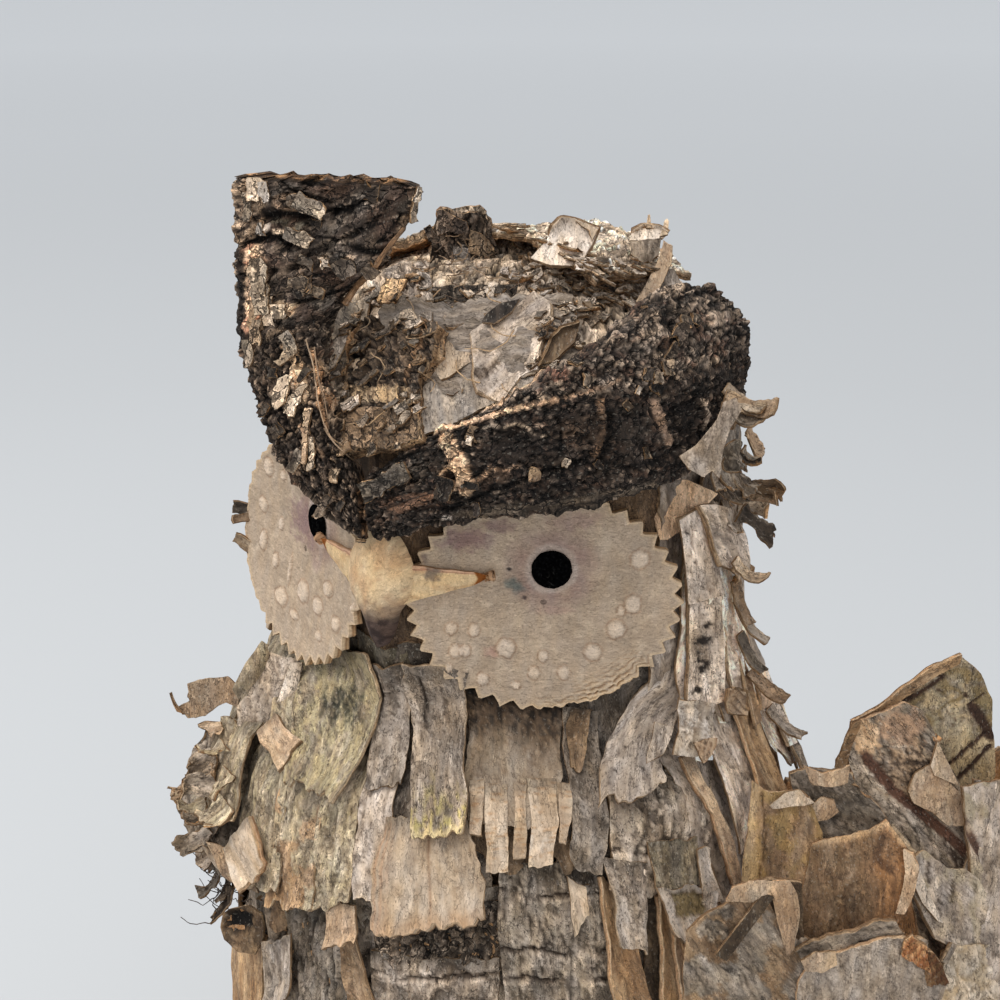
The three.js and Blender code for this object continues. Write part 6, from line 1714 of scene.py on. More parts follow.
def scatter(bag, region, names, n, kinds, w, l, seed, pitch=(5, 30), roll=(-15, 25), spin=(-40, 40), up_px=(0, 1), lift=0.3, t=0.7, tone=(0.8, 1.1), taper=(0.5, 1.0), rims=("plain",), res=0.75, scaly=0.0):
    """Loose chips over a region of the picture (outline points), fastened to the named pieces."""
    rng = np.random.default_rng(seed)
    poly = np.array(region, float)
    lo, hi = poly.min(0), poly.max(0)
    made = 0
    while made < n:
        px, py = lo + rng.random(2) * (hi - lo)
        inside = False
        for (ax, ay), (bx, by) in zip(poly, np.roll(poly, -1, 0)):
            if (ay > py) != (by > py) and px < (bx - ax) * (py - ay) / (by - ay) + ax:
                inside = not inside
        if not inside:
            continue
        made += 1
        r = lambda a: a[0] + (a[1] - a[0]) * rng.random()
        curl_at(bag, px, py, names, up_px, w=r(w), l=r(l), kind=kinds[rng.integers(len(kinds))], seed=int(rng.integers(9000)), pitch=r(pitch), roll=r(roll),
                spin=r(spin), lift=lift, t=t, tone=r(tone), taper=r(taper), rim=rims[rng.integers(len(rims))], res=res, jag=0.7, scaly=scaly, peel=0.4, chip=True, edge_w=0.35)


# ================================================================== assembly
build_body()
build_base()
build_disc(1, "left_face_disc", 301)
build_disc(-1, "right_face_disc", 321)
build_pupil(1, "left_pupil", 341)
build_pupil(-1, "right_pupil", 351)
build_beak()
build_brow("left_brow", "left_brow_slab", LEFT_BROW, 1, 401, left_brow_feature, 158)
build_brow("right_brow", "right_brow_slab", RIGHT_BROW, -1, 431, right_brow_feature, 118)

# ------------------------------------------------------------------ strips round the neck
A, B, RUFF, RUFF_A = (0.9, 6.0), (3.3, 9.4), (3.3, 14.0), (0.9, 11.0)
SLOT = {"cream": "inner_bark", "grey": "grey_bark", "pale": "pale_bark", "olive": "olive_bark", "wood": "tan_bark", "tan": "tan_bark",
        "weathered": "grey_bark", "white": "pale_bark", "brown": "tan_bark", "rough": "rough_bark", "dark": "rough_bark"}
NECK = [(78, A, 24, 28, "pale"), (95, B, 32, 36, "pale"), (117, A, 32, 36, "grey"), (143, B, 46, 50, "pale"), (171, A, 46, 50, "grey"),
        (201, B, 48, 52, "pale"), (231, A, 46, 50, "grey"), (259, B, 44, 46, "pale"), (282, A, 26, 28, "pale")]
for i, (th, lay, w0, w1, kind) in enumerate(NECK):
    bag = Bag()
    front = i < 2 or i == 8
    strip(bag, th, 322, 242, w0, w1, lay[0], lay[1], kind=kind, seed=600 + 13 * i, res=0.9 if front else 1.5, t=1.3,
          jag=5, keep_as=f"neck_{i + 1}", wave=1.2, curl=14 if i % 2 else 6, tone=0.94)
    bag.make(f"neck_bark_{i + 1}", f"{kind}_bark", [f"neck_strip_{i + 1}"])

MANTLE = [
    (-62, RUFF, 256, 177, 30, 38, -2, "olive"), (-41, A, 256, 174, 26, 35, 2, "olive"), (-25, A, 262, 182, 24, 32, -4, "olive"),
    (-6, A, 266, 188, 28, 32, -4, "olive"), (16, A, 268, 192, 30, 36, -3, "grey"), (32, A, 256, 212, 26, 30, 0, "brown"),
    (46, A, 258, 206, 18, 20, 1, "grey"), (60, A, 262, 184, 28, 32, 0, "grey"), (80, B, 262, 188, 32, 36, 0, "pale"),
    (103, A, 260, 190, 32, 40, 0, "grey"), (129, B, 258, 184, 40, 48, 0, "pale"), (157, A, 258, 182, 44, 50, 0, "grey"),
    (185, B, 258, 184, 44, 50, 0, "pale"), (214, A, 258, 182, 44, 50, 0, "grey"), (242, B, 258, 180, 44, 52, 0, "pale"),
    (271, RUFF_A, 258, 178, 38, 46, 0, "olive")]
for i, (th, lay, z0, z1, w0, w1, skew, kind) in enumerate(MANTLE):
    bag = Bag()
    under = 1 <= i <= 7  # these lie below the strips that the picture shows one by one
    node = "breast_fringe" if i == 5 else f"mantle_strip_{i + 1}"
    # tone 0.72 darkens the strips that lie under the others: painted shade
    strip(bag, th, z0, z1, w0, w1, lay[0], 4.6 if under else lay[1], skew=skew, kind=kind, seed=700 + 17 * i, res=1.1 if under else 0.9 if i < 10 else 1.6,
          t=1.3, jag=6, keep_as=f"mantle_{i + 1}", wave=1.2, curl=8 if under else 26, tone=0.72 if under else 0.95)
    bag.make(f"mantle_bark_{i + 1}" if i != 5 else "breast_fringe_bark", SLOT[kind], [node])

FLANK = [(-74, RUFF, 84, 70, "wood"), (-21, A, 70, 70, "grey"), (24, B, 74, 74, "weathered"), (66, A, 68, 68, "grey"),
         (108, B, 74, 74, "grey"), (152, A, 70, 70, "pale"), (197, B, 76, 76, "grey"), (243, A, 74, 74, "pale")]
for i, (th, lay, w0, w1, kind) in enumerate(FLANK):
    bag = Bag()
    strip(bag, th, 196 if i == 0 else 204, 62 if i == 0 else 104, w0, w1, lay[0], lay[1], kind=kind, seed=1000 + 23 * i,
          res=1.1 if i in (0, 1, 2, 3) else 1.7, t=1.4, jag=6, keep_as=f"flank_{i}", wave=1.6, curl=10)
    bag.make("right_wing_bark" if i == 0 else f"flank_bark_{i}", SLOT[kind], ["right_wing_folded" if i == 0 else f"flank_plate_{i}"])
SKIRT = [(-34, A, 66, 60, "pale"), (16, B, 74, 66, "grey"), (66, A, 66, 60, "pale"), (115, B, 72, 64, "grey"),
         (166, A, 68, 62, "pale"), (217, B, 74, 66, "grey"), (270, A, 68, 62, "pale")]
for i, (th, lay, w0, w1, kind) in enumerate(SKIRT):
    bag = Bag()
    strip(bag, th, 122, 22, w0, w1, lay[0], lay[1], kind=kind, seed=1200 + 29 * i, res=1.7, t=1.4, jag=4, keep_as=f"skirt_{i + 1}", wave=1.6)
    bag.make(f"skirt_bark_{i + 1}", SLOT[kind], [f"skirt_plate_{i + 1}"])
bag = Bag()
panel(bag, [[-26, 92, 132], [26, 92, 132], [30, 122, 40], [-30, 122, 40]], 6, t=2.4, kind="olive", seed=1400, res=1.4, jag=5, keep_as="tail", wave=2)
bag.make("tail_bark", "olive_bark", ["tail_sheet"])

# ------------------------------------------------------------------ wings
WING = {
    "rear_panel": ([[123, 45, 235], [135.2, 55, 245.4], [146, 68, 199], [128, 50, 190]], 3, "olive"),
    "front_panel": ([[109, 21, 229], [127, 40.5, 237.4], [157, 46, 165], [136, 22, 150]], 4, "tan"),
    "shoulder_sheet": ([[93, -17, 225], [133, -9.7, 220.3], [140, -2, 188], [101, -34, 184]], 7, "brown"),
    "lower_sheet": ([[91, -46, 192], [147, -6, 184], [149, -5, 96], [95, -39, 112]], 7, "grey"),
    "outer_sheet": ([[142, 47, 208], [164, 76, 200], [168, 70, 92], [153, 14, 94]], 6, "pale"),
    "back_sheet": ([[152, 84, 204], [81, 48, 190], [79, 54, 112], [158, 84, 100]], 8, "grey"),
}
for i, (name, (corners, bulge, kind)) in enumerate(WING.items()):
    if i < 3:
        continue  # traced below
    bag = Bag()
    panel(bag, corners, bulge, t=2.4, kind=kind, seed=900 + 19 * i, res=0.9 if i < 4 else 1.4, keep_as="wing_" + name, wave=1.6, jag=2)
    bag.make(f"wing_{name}_bark", {"brown": "tan_bark"}.get(kind, SLOT.get(kind, "tan_bark")), [f"left_wing_{name}"])

# ------------------------------------------------------------------ the crown
def crown_piece(name, node, corners, bulge, kind, slot, seed, t, **kw):
    bag = Bag()
    panel(bag, corners, bulge, t=t, kind=kind, seed=seed, res=0.8, keep_as=name, **kw)
    bag.make(name, slot, [node] if node else [])


crown_piece("forehead_paper", "forehead_sheet", [[-16, -40, 357], [34, -18, 362], [50, -40, 348], [6, -62, 337]], 2.5, "pale", "pale_bark", 501, 1.6,
            wave=1.6, jag=2.2, relief=0.7, peel=0.8, tone=0.74, grain=1)
crown_piece("crown_scales", "crown_patch", [[4, 50, 366], [50, 26, 361], [38, -14, 366], [-14, 6, 372]], 4, "weathered", "crown_bark", 511, 2.2, tone=1.5,
            scaly=1.5, wave=2.0, jag=2.6, size=(3.6, 2.6))
crown_piece("crown_back_scales", "crown_back_patch", [[-56, 20, 352], [-4, 56, 360], [-18, 8, 371], [-44, -10, 361]], 3, "weathered", "crown_bark", 531, 3.0,
            scaly=1.4, wave=2.0, jag=2.6, size=(3.6, 2.6))


# ------------------------------------------------------------------ breast, mantle and flank as the picture shows them
def lay(name, kind, corners, seed, slot=None, **kw):
    bag = Bag()
    patch(bag, corners, kind, seed, keep_as=name, **kw)
    bag.make(name, slot or SLOT[kind])


def plate_cracks(vs, depth=0.9, width=0.9):
    """Cracks across the grain at these distances down, mm."""
    def f(col, h, u, v, um, vm, edge):
        for k, at in enumerate(vs):
            line = np.abs(vm - at - 1.8 * n2(um / 9, k * 3.3, 55 + k) - 0.6 * n2(um / 2.2, k * 1.3, 58 + k))
            m = ss(width, width * 0.3, line) * ss(-0.45, 0.0, n2(um / 12, k * 2.1, 61 + k))
            col = mixc(col, np.array([44, 35, 28.0]), m * 0.85)
            h = h - depth * m
            lip = ss(1.2, 0.4, np.abs(vm - at - 1.8 * n2(um / 9, k * 3.3, 55 + k) - 1.3)) * (1 - m)
            col = col * (1 + 0.12 * lip)[..., None]
            h = h + 0.25 * lip
        return col, h
    return f


lay("flank_plate_mid", "weathered", [(498, 858, 4.4), (612, 862, 4.4), (622, 1012, 11.0), (506, 1012, 11.0)], 2001, feature=plate_cracks([9, 27, 36]), tone=0.98, relief=1.1, t=2)
lay("flank_rough", "rough", [(376, 900, 4.0), (500, 900, 4.0), (500, 968, 8.5), (374, 964, 8.5)], 2002, scaly=1.0, relief=1.5, size=(4, 3), tone=1.0)
lay("flank_plate_low", "grey", [(372, 950, 8.0), (498, 957, 8.0), (499, 1012, 12.0), (368, 1012, 12.0)], 2003, scaly=0.7, size=(11, 9), feature=plate_cracks([6]), tone=0.95, t=2)
lay("flank_fibres", "weathered", [(256, 896, 4.0), (380, 905, 4.0), (374, 1012, 9.0), (258, 1012, 9.0)], 2004, relief=1.6, tone=0.85, lenticels=0)
lay("flank_bare_wood", "wood", [(216, 930, 10.0), (262, 934, 8.0), (262, 1012, 10.0), (218, 1012, 12.0)], 2005, relief=0.8, peel=0.2, t=2)
lay("flank_pale_scrap", "pale", [(262, 944, 10.0), (291, 936, 10.0), (290, 1000, 12.0), (266, 996, 12.0)], 2006, curl=2, tone=0.95)
lay("flank_brown_strip", "brown", [(338, 925, 9.5), (352, 925, 9.5), (378, 1012, 12.0), (352, 1012, 12.0)], 2007, side=(1, 1))
lay("orange_strip_1", "wood", [(600, 876, 6.0), (622, 898, 6.5), (652, 1012, 13.0), (616, 1012, 13.0)], 2011, rim="orange", relief=0.9, peel=0.2, t=1.6, cup=1.5)
lay("dark_strip", "brown", [(642, 884, 5.0), (664, 880, 5.0), (672, 1012, 10.0), (648, 1012, 10.0)], 2012, tone=0.55)
lay("orange_strip_2", "wood", [(656, 894, 6.5), (672, 890, 6.5), (694, 1012, 13.5), (664, 1012, 13.5)], 2013, rim="orange", relief=0.9, peel=0.2, t=1.6, cup=1.5)
lay("orange_strip_3", "tan", [(672, 924, 8.5), (690, 926, 9.0), (700, 1000, 14.0), (680, 1010, 14.0)], 2014, rim="orange", relief=0.8, peel=0.2, t=1.6, cup=1.5)

lay("olive_strip_far", "olive", [(222, 716, 9.0), (264, 722, 6.0), (238, 822, 13.0), (192, 812, 16.0)], 2101, relief=1.2, curl=2.0, tone=1.1)
lay("olive_strip_1", "olive", [(262, 752, 5.0), (300, 758, 5.0), (284, 892, 11.0), (236, 874, 12.0)], 2102, relief=1.2, curl=2.5, rim="pale", tone=1.12)
lay("olive_strip_2", "olive", [(294, 760, 5.0), (336, 770, 5.0), (316, 908, 12.0), (272, 902, 11.5)], 2103, relief=1.2, curl=2.5, rim="pale", kind2="brown", tone=1.1)
lay("olive_strip_3", "olive", [(334, 770, 5.0), (374, 752, 4.6), (352, 900, 11.5), (314, 908, 11.5)], 2104, relief=1.3, curl=2.0, rim="pale", tone=1.1)
lay("grey_strip_1", "pale", [(374, 760, 5.0), (404, 764, 4.8), (386, 892, 10.5), (354, 896, 11.0)], 2105, relief=1.1, curl=2.0, rim="pale", tone=1.05)
lay("grey_strip_2", "grey", [(370, 664, 3.0), (402, 664, 3.0), (402, 790, 8.5), (364, 788, 8.5)], 2106, relief=1.2, tone=0.9)
lay("olive_strip_head", "olive", [(284, 650, 4.5), (306, 652, 4.2), (300, 745, 9.5), (276, 738, 10.0)], 2107, relief=0.9, side=(0.6, 0))


def smudge(col, h, u, v, um, vm, edge):
    li = ss(0.02, 0.10, fbm(um / 6, vm / 9, 5, 93, 0.66) + 0.05)
    col = mixc(col, np.array([188, 182, 144.0]), li * 0.48)
    d = np.hypot((u - 0.58) / 0.30, (v - 0.40) / 0.17) + 0.5 * fbm(um / 3, vm / 4, 4, 91)
    streak_ = clamp01(0.75 + 0.9 * fbm(um / 0.9 + vm / 3, vm / 3.5, 3, 92))
    col = mixc(col, np.array([50, 52, 44.0]), ss(1.05, 0.35, d) * streak_ * 0.95)
    return col, h


lay("olive_strip_front", "olive", [(300, 652, 4.8), (366, 654, 4.0), (338, 796, 12.0), (288, 778, 12.0)], 2110, bow=3.2, feature=smudge, relief=0.8, rim="pale",
    side=(0.3, 0.8), t=1.2, curl=1.5, peel=0.6)


def lichen_foot(col, h, u, v, um, vm, edge):
    m = ss(0.72, 0.95, v + 0.1 * n2(um / 5, vm / 5, 95))
    g = fbm(um / 2, vm / 3, 4, 96)
    col = mixc(col, np.array([186, 180, 112.0]), m * ss(-0.1, 0.4, g) * 0.75)
    col = mixc(col, np.array([84, 80, 70.0]), m * ss(0.0, 0.5, -g) * ss(0.3, 0.5, u) * ss(0.9, 0.7, u) * 0.8)
    col = mixc(col, np.array([214, 202, 160.0]), ss(2.2, 0.5, edge) * ss(0.9, 0.97, v) * 0.9)
    c = ss(0.9, 0.2, np.abs(um - 0.25 * um.max() - 1.2 * n2(vm / 9, 1.1, 97))) * ss(0.5, 0.42, v) * ss(0.05, 0.15, v)
    col = mixc(col, np.array([40, 33, 27.0]), c * 0.9)
    return col, h - 0.9 * c


lay("grey_strip_front", "grey", [(396, 664, 4.2), (466, 672, 4.6), (464, 828, 12.5), (412, 828, 12.0)], 2111, feature=lichen_foot, relief=1.0, tone=0.97, rim="pale",
    side=(0.2, 1.0), t=1.3, curl=2.2, peel=0.6, jag=1.6)


def cream_plate(col, h, u, v, um, vm, edge):
    crease = ss(0.5, 0.1, np.abs(um - 0.53 * um.max() - 0.8 * n2(vm / 10, 1.7, 98)))
    col = mixc(col, np.array([132, 104, 80.0]), crease * 0.6)
    left = ss(0.20, 0.04, u + 0.03 * n2(vm / 5, 2.2, 99))
    lines = np.sin((um + 0.5 * n2(vm / 8, 3.3, 100)) * 3.4)
    col = mixc(col, np.array([194, 162, 134.0]), left * ss(-0.2, 0.8, lines) * 0.75)
    foot = ss(0.86, 1.0, v + 0.04 * n2(um / 5, 1.1, 101))
    col = mixc(col, np.array([186, 156, 124.0]), foot * 0.5)
    return col, h - 0.4 * crease - 0.25 * left * ss(0, 0.8, lines)


lay("cream_plate", "cream", [(384, 812, 8.0), (472, 818, 7.5), (489, 908, 15.0), (371, 926, 15.5)], 2112, feature=cream_plate, relief=0.8, rim="pale",
    t=2.2, curl=3.0, curl_from=0.75, peel=0.15, rows=4, jag=2.4, tone=0.89)
lay("tan_flap_low", "tan", [(327, 899, 12.0), (358, 905, 12.5), (356, 941, 15.0), (324, 948, 15.0)], 2113, peel=0.2, relief=0.5, t=1.0, curl=1.5)
lay("tan_diamond", "tan", [(257, 732, 11.5), (276, 713, 11.0), (301, 739, 11.8), (279, 774, 13.8)], 2114, peel=0.1, relief=0.5, t=1.2)
lay("tan_flap_left", "cream", [(224, 850, 16.0), (246, 818, 14.0), (264, 868, 15.0), (242, 883, 17.5)], 2115, peel=0.1, relief=0.4, t=2.4, rim="orange", rows=4, side=(2.0, 0))


def crumbly_top(col, h, u, v, um, vm, edge):
    m = ss(0.55, 0.18, v + 0.12 * fbm(um / 4, vm / 8, 3, 103))
    r = ridge(um / 2.6, vm / 4.5, 4, 104)
    c2 = mixc(np.array([98, 80, 62.0]), np.array([34, 27, 21.0]), ss(0.66, 0.42, r))
    c2 = mixc(c2, np.array([146, 126, 102.0]), ss(0.78, 0.88, r) * 0.7)
    col = mixc(col, c2, m * 0.9)
    h = h + m * 1.8 * (r - 0.6)
    slit = ss(0.55, 0.72, n2(um / 2.4, vm / 22, 105)) * ss(0.2, 0.4, v)
    col = mixc(col, np.array([48, 38, 30.0]), slit * 0.85)
    return col, h - 1.1 * slit


lay("fringe_back", "cream", [(464, 688, 2.6), (562, 696, 2.6), (560, 826, 6.5), (468, 822, 6.5)], 2120, feature=crumbly_top, relief=1.3, tone=0.76, peel=0.8)


def cross_grain(col, h, u, v, um, vm, edge):
    c = fbm(um / 5, vm / 0.55, 3, 107)
    col = col * (1 + 0.10 * c)[..., None]
    col = mixc(col, np.array([150, 122, 92.0]), ss(0.35, 0.6, c) * 0.6)
    return col, h + 0.12 * c


for i, (x0, x1, y0, y1, xb0, xb1) in enumerate([(470, 484, 780, 834, 471, 482), (485, 507, 784, 872, 486, 506), (514, 526, 782, 858, 515, 525),
                                                (528, 556, 778, 866, 529, 553), (557, 569, 782, 842, 559, 566)]):
    lay(f"fringe_finger_{i + 1}", "cream", [(x0, y0, 5.6), (x1, y0, 5.6), (xb1, y1 - 3 * (i % 2), 9.5), (xb0, y1, 9.5)], 2130 + i, feature=cross_grain, relief=0.7,
        jag=0.7, t=1.4, rim="pale", peel=0.1, curl=0.8, tone=0.97, res=0.6)
lay("grey_strip_3", "grey", [(560, 706, 3.8), (598, 712, 3.4), (602, 874, 8.5), (570, 868, 8.5)], 2140, relief=1.1, tone=0.8)
lay("thin_strip_dark", "brown", [(572, 712, 5.0), (594, 708, 5.0), (582, 768, 8.0), (570, 766, 8.0)], 2141, tone=0.85)
lay("plates_right", "weathered", [(600, 770, 4.8), (706, 764, 4.8), (702, 892, 9.5), (612, 892, 9.5)], 2142, feature=plate_cracks([22]), relief=1.1, t=1.6, tone=1.14)
lay("olive_plate", "olive", [(650, 842, 9.5), (698, 838, 9.5), (702, 884, 12.0), (656, 888, 12.0)], 2143, tone=0.85, peel=0.4, relief=0.7)
lay("tapered_strip", "grey", [(604, 856, 8.0), (648, 862, 8.5), (646, 948, 14.0), (620, 946, 14.0)], 2144, curl=2.0, rim="pale")


def dots(col, h, u, v, um, vm, edge):
    f1, f2, num = cells(um / 3.6, vm / 3.6, 110, 1.0)
    m = ss(0.14, 0.07, f1) * (num > 0.55)
    col = mixc(col, np.array([58, 50, 46.0]), m * 0.85)
    return col, h


lay("smooth_grey_strip", "pale", [(664, 652, 2.0), (698, 634, 4.5), (666, 792, 13.0), (597, 802, 13.5)], 2150, feature=dots, relief=0.22, peel=0.12, t=2.0, rows=4,
    rim="pale", bow=-1.4, jag=1.8, tone=0.93, lenticels=0.1)
lay("neck_pale_1", "pale", [(684, 545, 4.0), (712, 515, 4.5), (716, 752, 10.5), (688, 768, 10.0)], 2151, relief=1.2, lenticels=1.0, tone=1.5)
lay("neck_pale_2", "pale", [(708, 500, 5.0), (734, 505, 6.5), (768, 706, 12.0), (722, 725, 11.0)], 2152, relief=1.1, tone=1.5)
lay("neck_pale_3", "pale", [(732, 560, 6.5), (752, 600, 8.0), (834, 770, 14.0), (772, 750, 12.0)], 2153, relief=1.2, tone=1.5)
lay("brown_strip_right", "wood", [(726, 688, 12.5), (746, 690, 12.5), (780, 786, 15.0), (760, 792, 14.5)], 2154, relief=1.2, cup=1.6, rim="orange", tone=0.9, t=1.4)
lay("pale_plate_right", "pale", [(700, 706, 10.0), (734, 716, 11.0), (762, 800, 13.0), (740, 852, 13.0)], 2155, relief=0.8, tone=1.25)
lay("splinter_edge", "tan", [(679, 756, 10.0), (693, 754, 10.5), (743, 886, 14.0), (736, 886, 14.0)], 2156, relief=1.4, t=2.2, rim="orange", peel=0.2, res=0.6, rows=4)
lay("white_band", "white", [(695, 850, 12.0), (708, 848, 12.2), (720, 896, 14.0), (704, 900, 14.0)], 2157, relief=0.5, peel=0.2, side=(0, 0.8))


def olive_heart(col, h, u, v, um, vm, edge):
    d = np.maximum(np.abs(u - 0.5) / 0.30, np.abs(v - 0.42) / 0.30) + 0.25 * fbm(um / 4, vm / 4, 3, 112)
    m = ss(1.0, 0.9, d)
    col = mixc(col, np.array([128, 118, 88.0]) * (1 + 0.25 * fbm(um / 1.5, vm / 1.5, 3, 113))[..., None], m * 0.95)
    rim_ = np.exp(-np.abs(d - 0.98) / 0.05)
    col = mixc(col, np.array([84, 70, 52.0]), rim_ * 0.6)
    return col, h - 0.8 * m


lay("white_curl", "white", [(655, 884, 12.5), (718, 888, 13.5), (712, 922, 16.0), (672, 934, 16.0)], 2158, feature=olive_heart, relief=0.7, peel=0.3, curl=1.5, side=(0.8, 0.8), jag=2.0)
lay("small_cream_leaf", "cream", [(568, 878, 9.5), (582, 884, 9.5), (590, 908, 11.0), (575, 928, 11.5)], 2159, relief=0.4, peel=0.1)


# ------------------------------------------------------------------ the raised wing as the picture shows it
PLANE = {k: plane_of(c[0]) for k, c in WING.items()}


def rear_marks(col, h, x, y, um, vm, edge):
    swirl = n2(um / 5 + 1.6 * fbm(um / 9, vm / 9, 2, 211), vm / 7, 212)
    col = mixc(col, np.array([132, 118, 84.0]), ss(0.0, 0.5, swirl) * 0.75)
    col = mixc(col, np.array([204, 190, 156.0]), ss(0.12, 0.5, -swirl) * 0.7)
    col = mixc(col, np.array([84, 66, 48.0]), ss(0.05, 0.0, np.abs(swirl - 0.12)) * 0.45)
    right = ss(930, 965, x)
    col = mixc(col, np.array([196, 182, 148.0]), right * ss(725, 745, y) * 0.75)
    for pts, w in (([(974, 709), (983, 722), (991, 736)], 7.0), ([(949, 765), (966, 750), (986, 733)], 2.6), ([(958, 779), (974, 764), (990, 746)], 3.0),
                   ([(904, 702), (922, 692), (944, 676)], 3.2), ([(968, 706), (984, 694)], 1.6)):
        m = band(x, y, pts, w, 0.4, 213)
        col = mixc(col, np.array([58, 42, 34.0]), m * 0.92)
        h = h - 0.5 * m
    for cx, cy, r in ((966, 695, 3.5), (939, 690, 2.2), (928, 722, 2.5), (955, 720, 2.0)):
        m = blob(x, y, cx, cy, r, r, 214, 0.4)
        col = mixc(col, np.array([74, 58, 46.0]), m * 0.85)
    return col, h


def front_marks(col, h, x, y, um, vm, edge):
    tan = blob(x, y, 866, 738, 14, 22, 221, 0.35)
    fib = n2(um / 0.9, vm / 14, 222)
    col = mixc(col, mixc(np.array([206, 182, 150.0]), np.array([166, 136, 106.0]), ss(-0.2, 0.5, fib)), tan * 0.9)
    pink = blob(x, y, 903, 728, 24, 20, 223, 0.4)
    col = mixc(col, np.array([156, 134, 114.0]) * (1 + 0.2 * fbm(um / 3, vm / 3, 3, 224))[..., None], pink * 0.85)
    flaky = blob(x, y, 908, 768, 36, 30, 225, 0.5, 0.4)
    r = ridge(um / 2.4, vm / 3.2, 4, 226)
    fc = mixc(np.array([60, 50, 42.0]), np.array([166, 148, 126.0]), ss(0.45, 0.72, r))
    col = mixc(col, fc, flaky * 0.85)
    h = h + flaky * 1.2 * (r - 0.6)
    line = band(x, y, [(866, 757), (893, 790), (922, 814), (952, 838), (966, 852)], 6.0, 0.25, 227, 0.8)
    col = mixc(col, np.array([82, 60, 50.0]) * (1 + 0.15 * fib)[..., None], line * 0.95)
    h = h - 0.7 * line
    dark = band(x, y, [(948, 842), (962, 866), (965, 885)], 8.0, 0.6, 228, 2.0) * ss(-0.2, 0.2, fbm(um / 2, vm / 2, 2, 229))
    col = mixc(col, np.array([46, 36, 30.0]), dark * 0.85)
    col = mixc(col, np.array([206, 192, 166.0]), band(x, y, [(893, 826), (912, 850), (942, 872), (950, 884)], 2.4, 0.4, 230, 0.7) * 0.85)
    return col, h


def brown_marks(col, h, x, y, um, vm, edge):
    fib = fbm(um / 1.1, vm / 16, 3, 231)
    right = ss(855, 890, x + 10 * n2(vm / 7, 1.1, 232))
    col = mixc(col, mixc(np.array([162, 124, 86.0]), np.array([108, 80, 56.0]), ss(-0.3, 0.5, fib)), right * 0.85)
    col = mixc(col, np.array([72, 52, 38.0]), band(x, y, [(883, 838), (876, 858), (890, 870)], 5, 0.5, 233, 1.5) * 0.6)
    speck = ss(0.35, 0.5, n2(um / 0.8, vm / 0.9, 234))
    col = mixc(col, np.array([88, 68, 50.0]), speck * 0.5 * (1 - right))
    top = ss(3.0, 0.5, edge) * ss(850, 842, y)
    col = mixc(col, np.array([206, 180, 144.0]), top * 0.8)
    return col, h


def olive_brown(col, h, x, y, um, vm, edge):
    m = ss(-0.2, 0.4, fbm(um / 8, vm / 8, 4, 241))
    col = mixc(col, np.array([142, 122, 78.0]), m * 0.6)
    edge_l = ss(768, 750, x + 6 * n2(vm / 8, 1.2, 242))
    col = mixc(col, np.array([176, 158, 124.0]), edge_l * 0.6)
    crease = band(x, y, [(762, 795), (766, 840), (758, 885)], 1.4, 0.5, 243, 0.6)
    col = mixc(col, np.array([90, 72, 50.0]), crease * 0.7)
    return col, h - 0.5 * crease


def wing_object(name, node, pieces, slot):
    bag = Bag()
    for i, (plane, spec) in enumerate(pieces):
        o, n = PLANE[plane]
        cut(bag, plane=(o + n * (5.2 if plane == "lower_sheet" else 0), n), keep_as=f"{name}_{i}", **spec)
    bag.make(name, slot, [node] if node else [])


wing_object("wing_rear_panel_bark", "left_wing_rear_panel", [
    ("rear_panel", dict(top=[(854, 725, 0.6), (880, 710, 0.6), (906, 689, 0.6), (938, 667, 0.6), (964, 657, 0.6)], right=[(982, 674, 0.6), (992, 700, 0.6), (994, 740, 0.6)],
                        bottom=[(880, 905, 0.6), (930, 880, 0.6), (965, 840, 0.6), (996, 776, 0.6)], left=[(846, 750, 0.6), (860, 830, 0.6)],
                        kind="olive", seed=901, t=2.0, relief=0.5, peel=0.3, feature=rear_marks, rim="orange", rows=4, tone=1.0)),
    ("rear_panel", dict(top=[(852, 722, 2.2), (880, 707, 2.2), (906, 686, 2.2), (938, 664, 2.2), (963, 655, 2.2)], bottom=[(858, 730, 2.2), (882, 716, 2.2), (908, 696, 2.2), (940, 674, 2.2), (960, 664, 2.2)],
                        kind="wood", seed=902, t=1.6, relief=0.8, peel=0.2, rim="orange", tone=0.95, turn=58, jag=0.3, res=0.6))], "olive_bark")
wing_object("wing_front_panel_bark", "left_wing_front_panel", [
    ("front_panel", dict(top=[(846, 742, 0.6), (853, 726, 0.6), (862, 721, 0.6), (885, 712, 0.6), (905, 703, 0.6), (922, 710, 0.6), (937, 738, 0.6)],
                         right=[(950, 765, 0.6), (963, 790, 0.6), (967, 812, 0.6)], bottom=[(926, 965, 0.6), (955, 962, 0.6), (990, 960, 0.6)],
                         left=[(850, 765, 0.6), (858, 790, 0.6), (872, 812, 0.6), (893, 838, 0.6), (908, 880, 0.6)],
                         kind="weathered", seed=911, t=2.0, relief=0.8, peel=0.5, feature=front_marks, turn=-38, rim="orange", rows=4, tone=1.08)),
    ("front_panel", dict(top=[(838, 762, 1.6), (846, 742, 1.4), (854, 724, 1.4), (862, 720, 1.4)], bottom=[(836, 770, 1.4), (846, 768, 1.4), (852, 746, 1.4), (860, 728, 1.4)],
                         kind="wood", seed=912, t=1.6, relief=0.8, peel=0.2, tone=0.78, turn=62, jag=0.3, res=0.6))], "grey_bark")
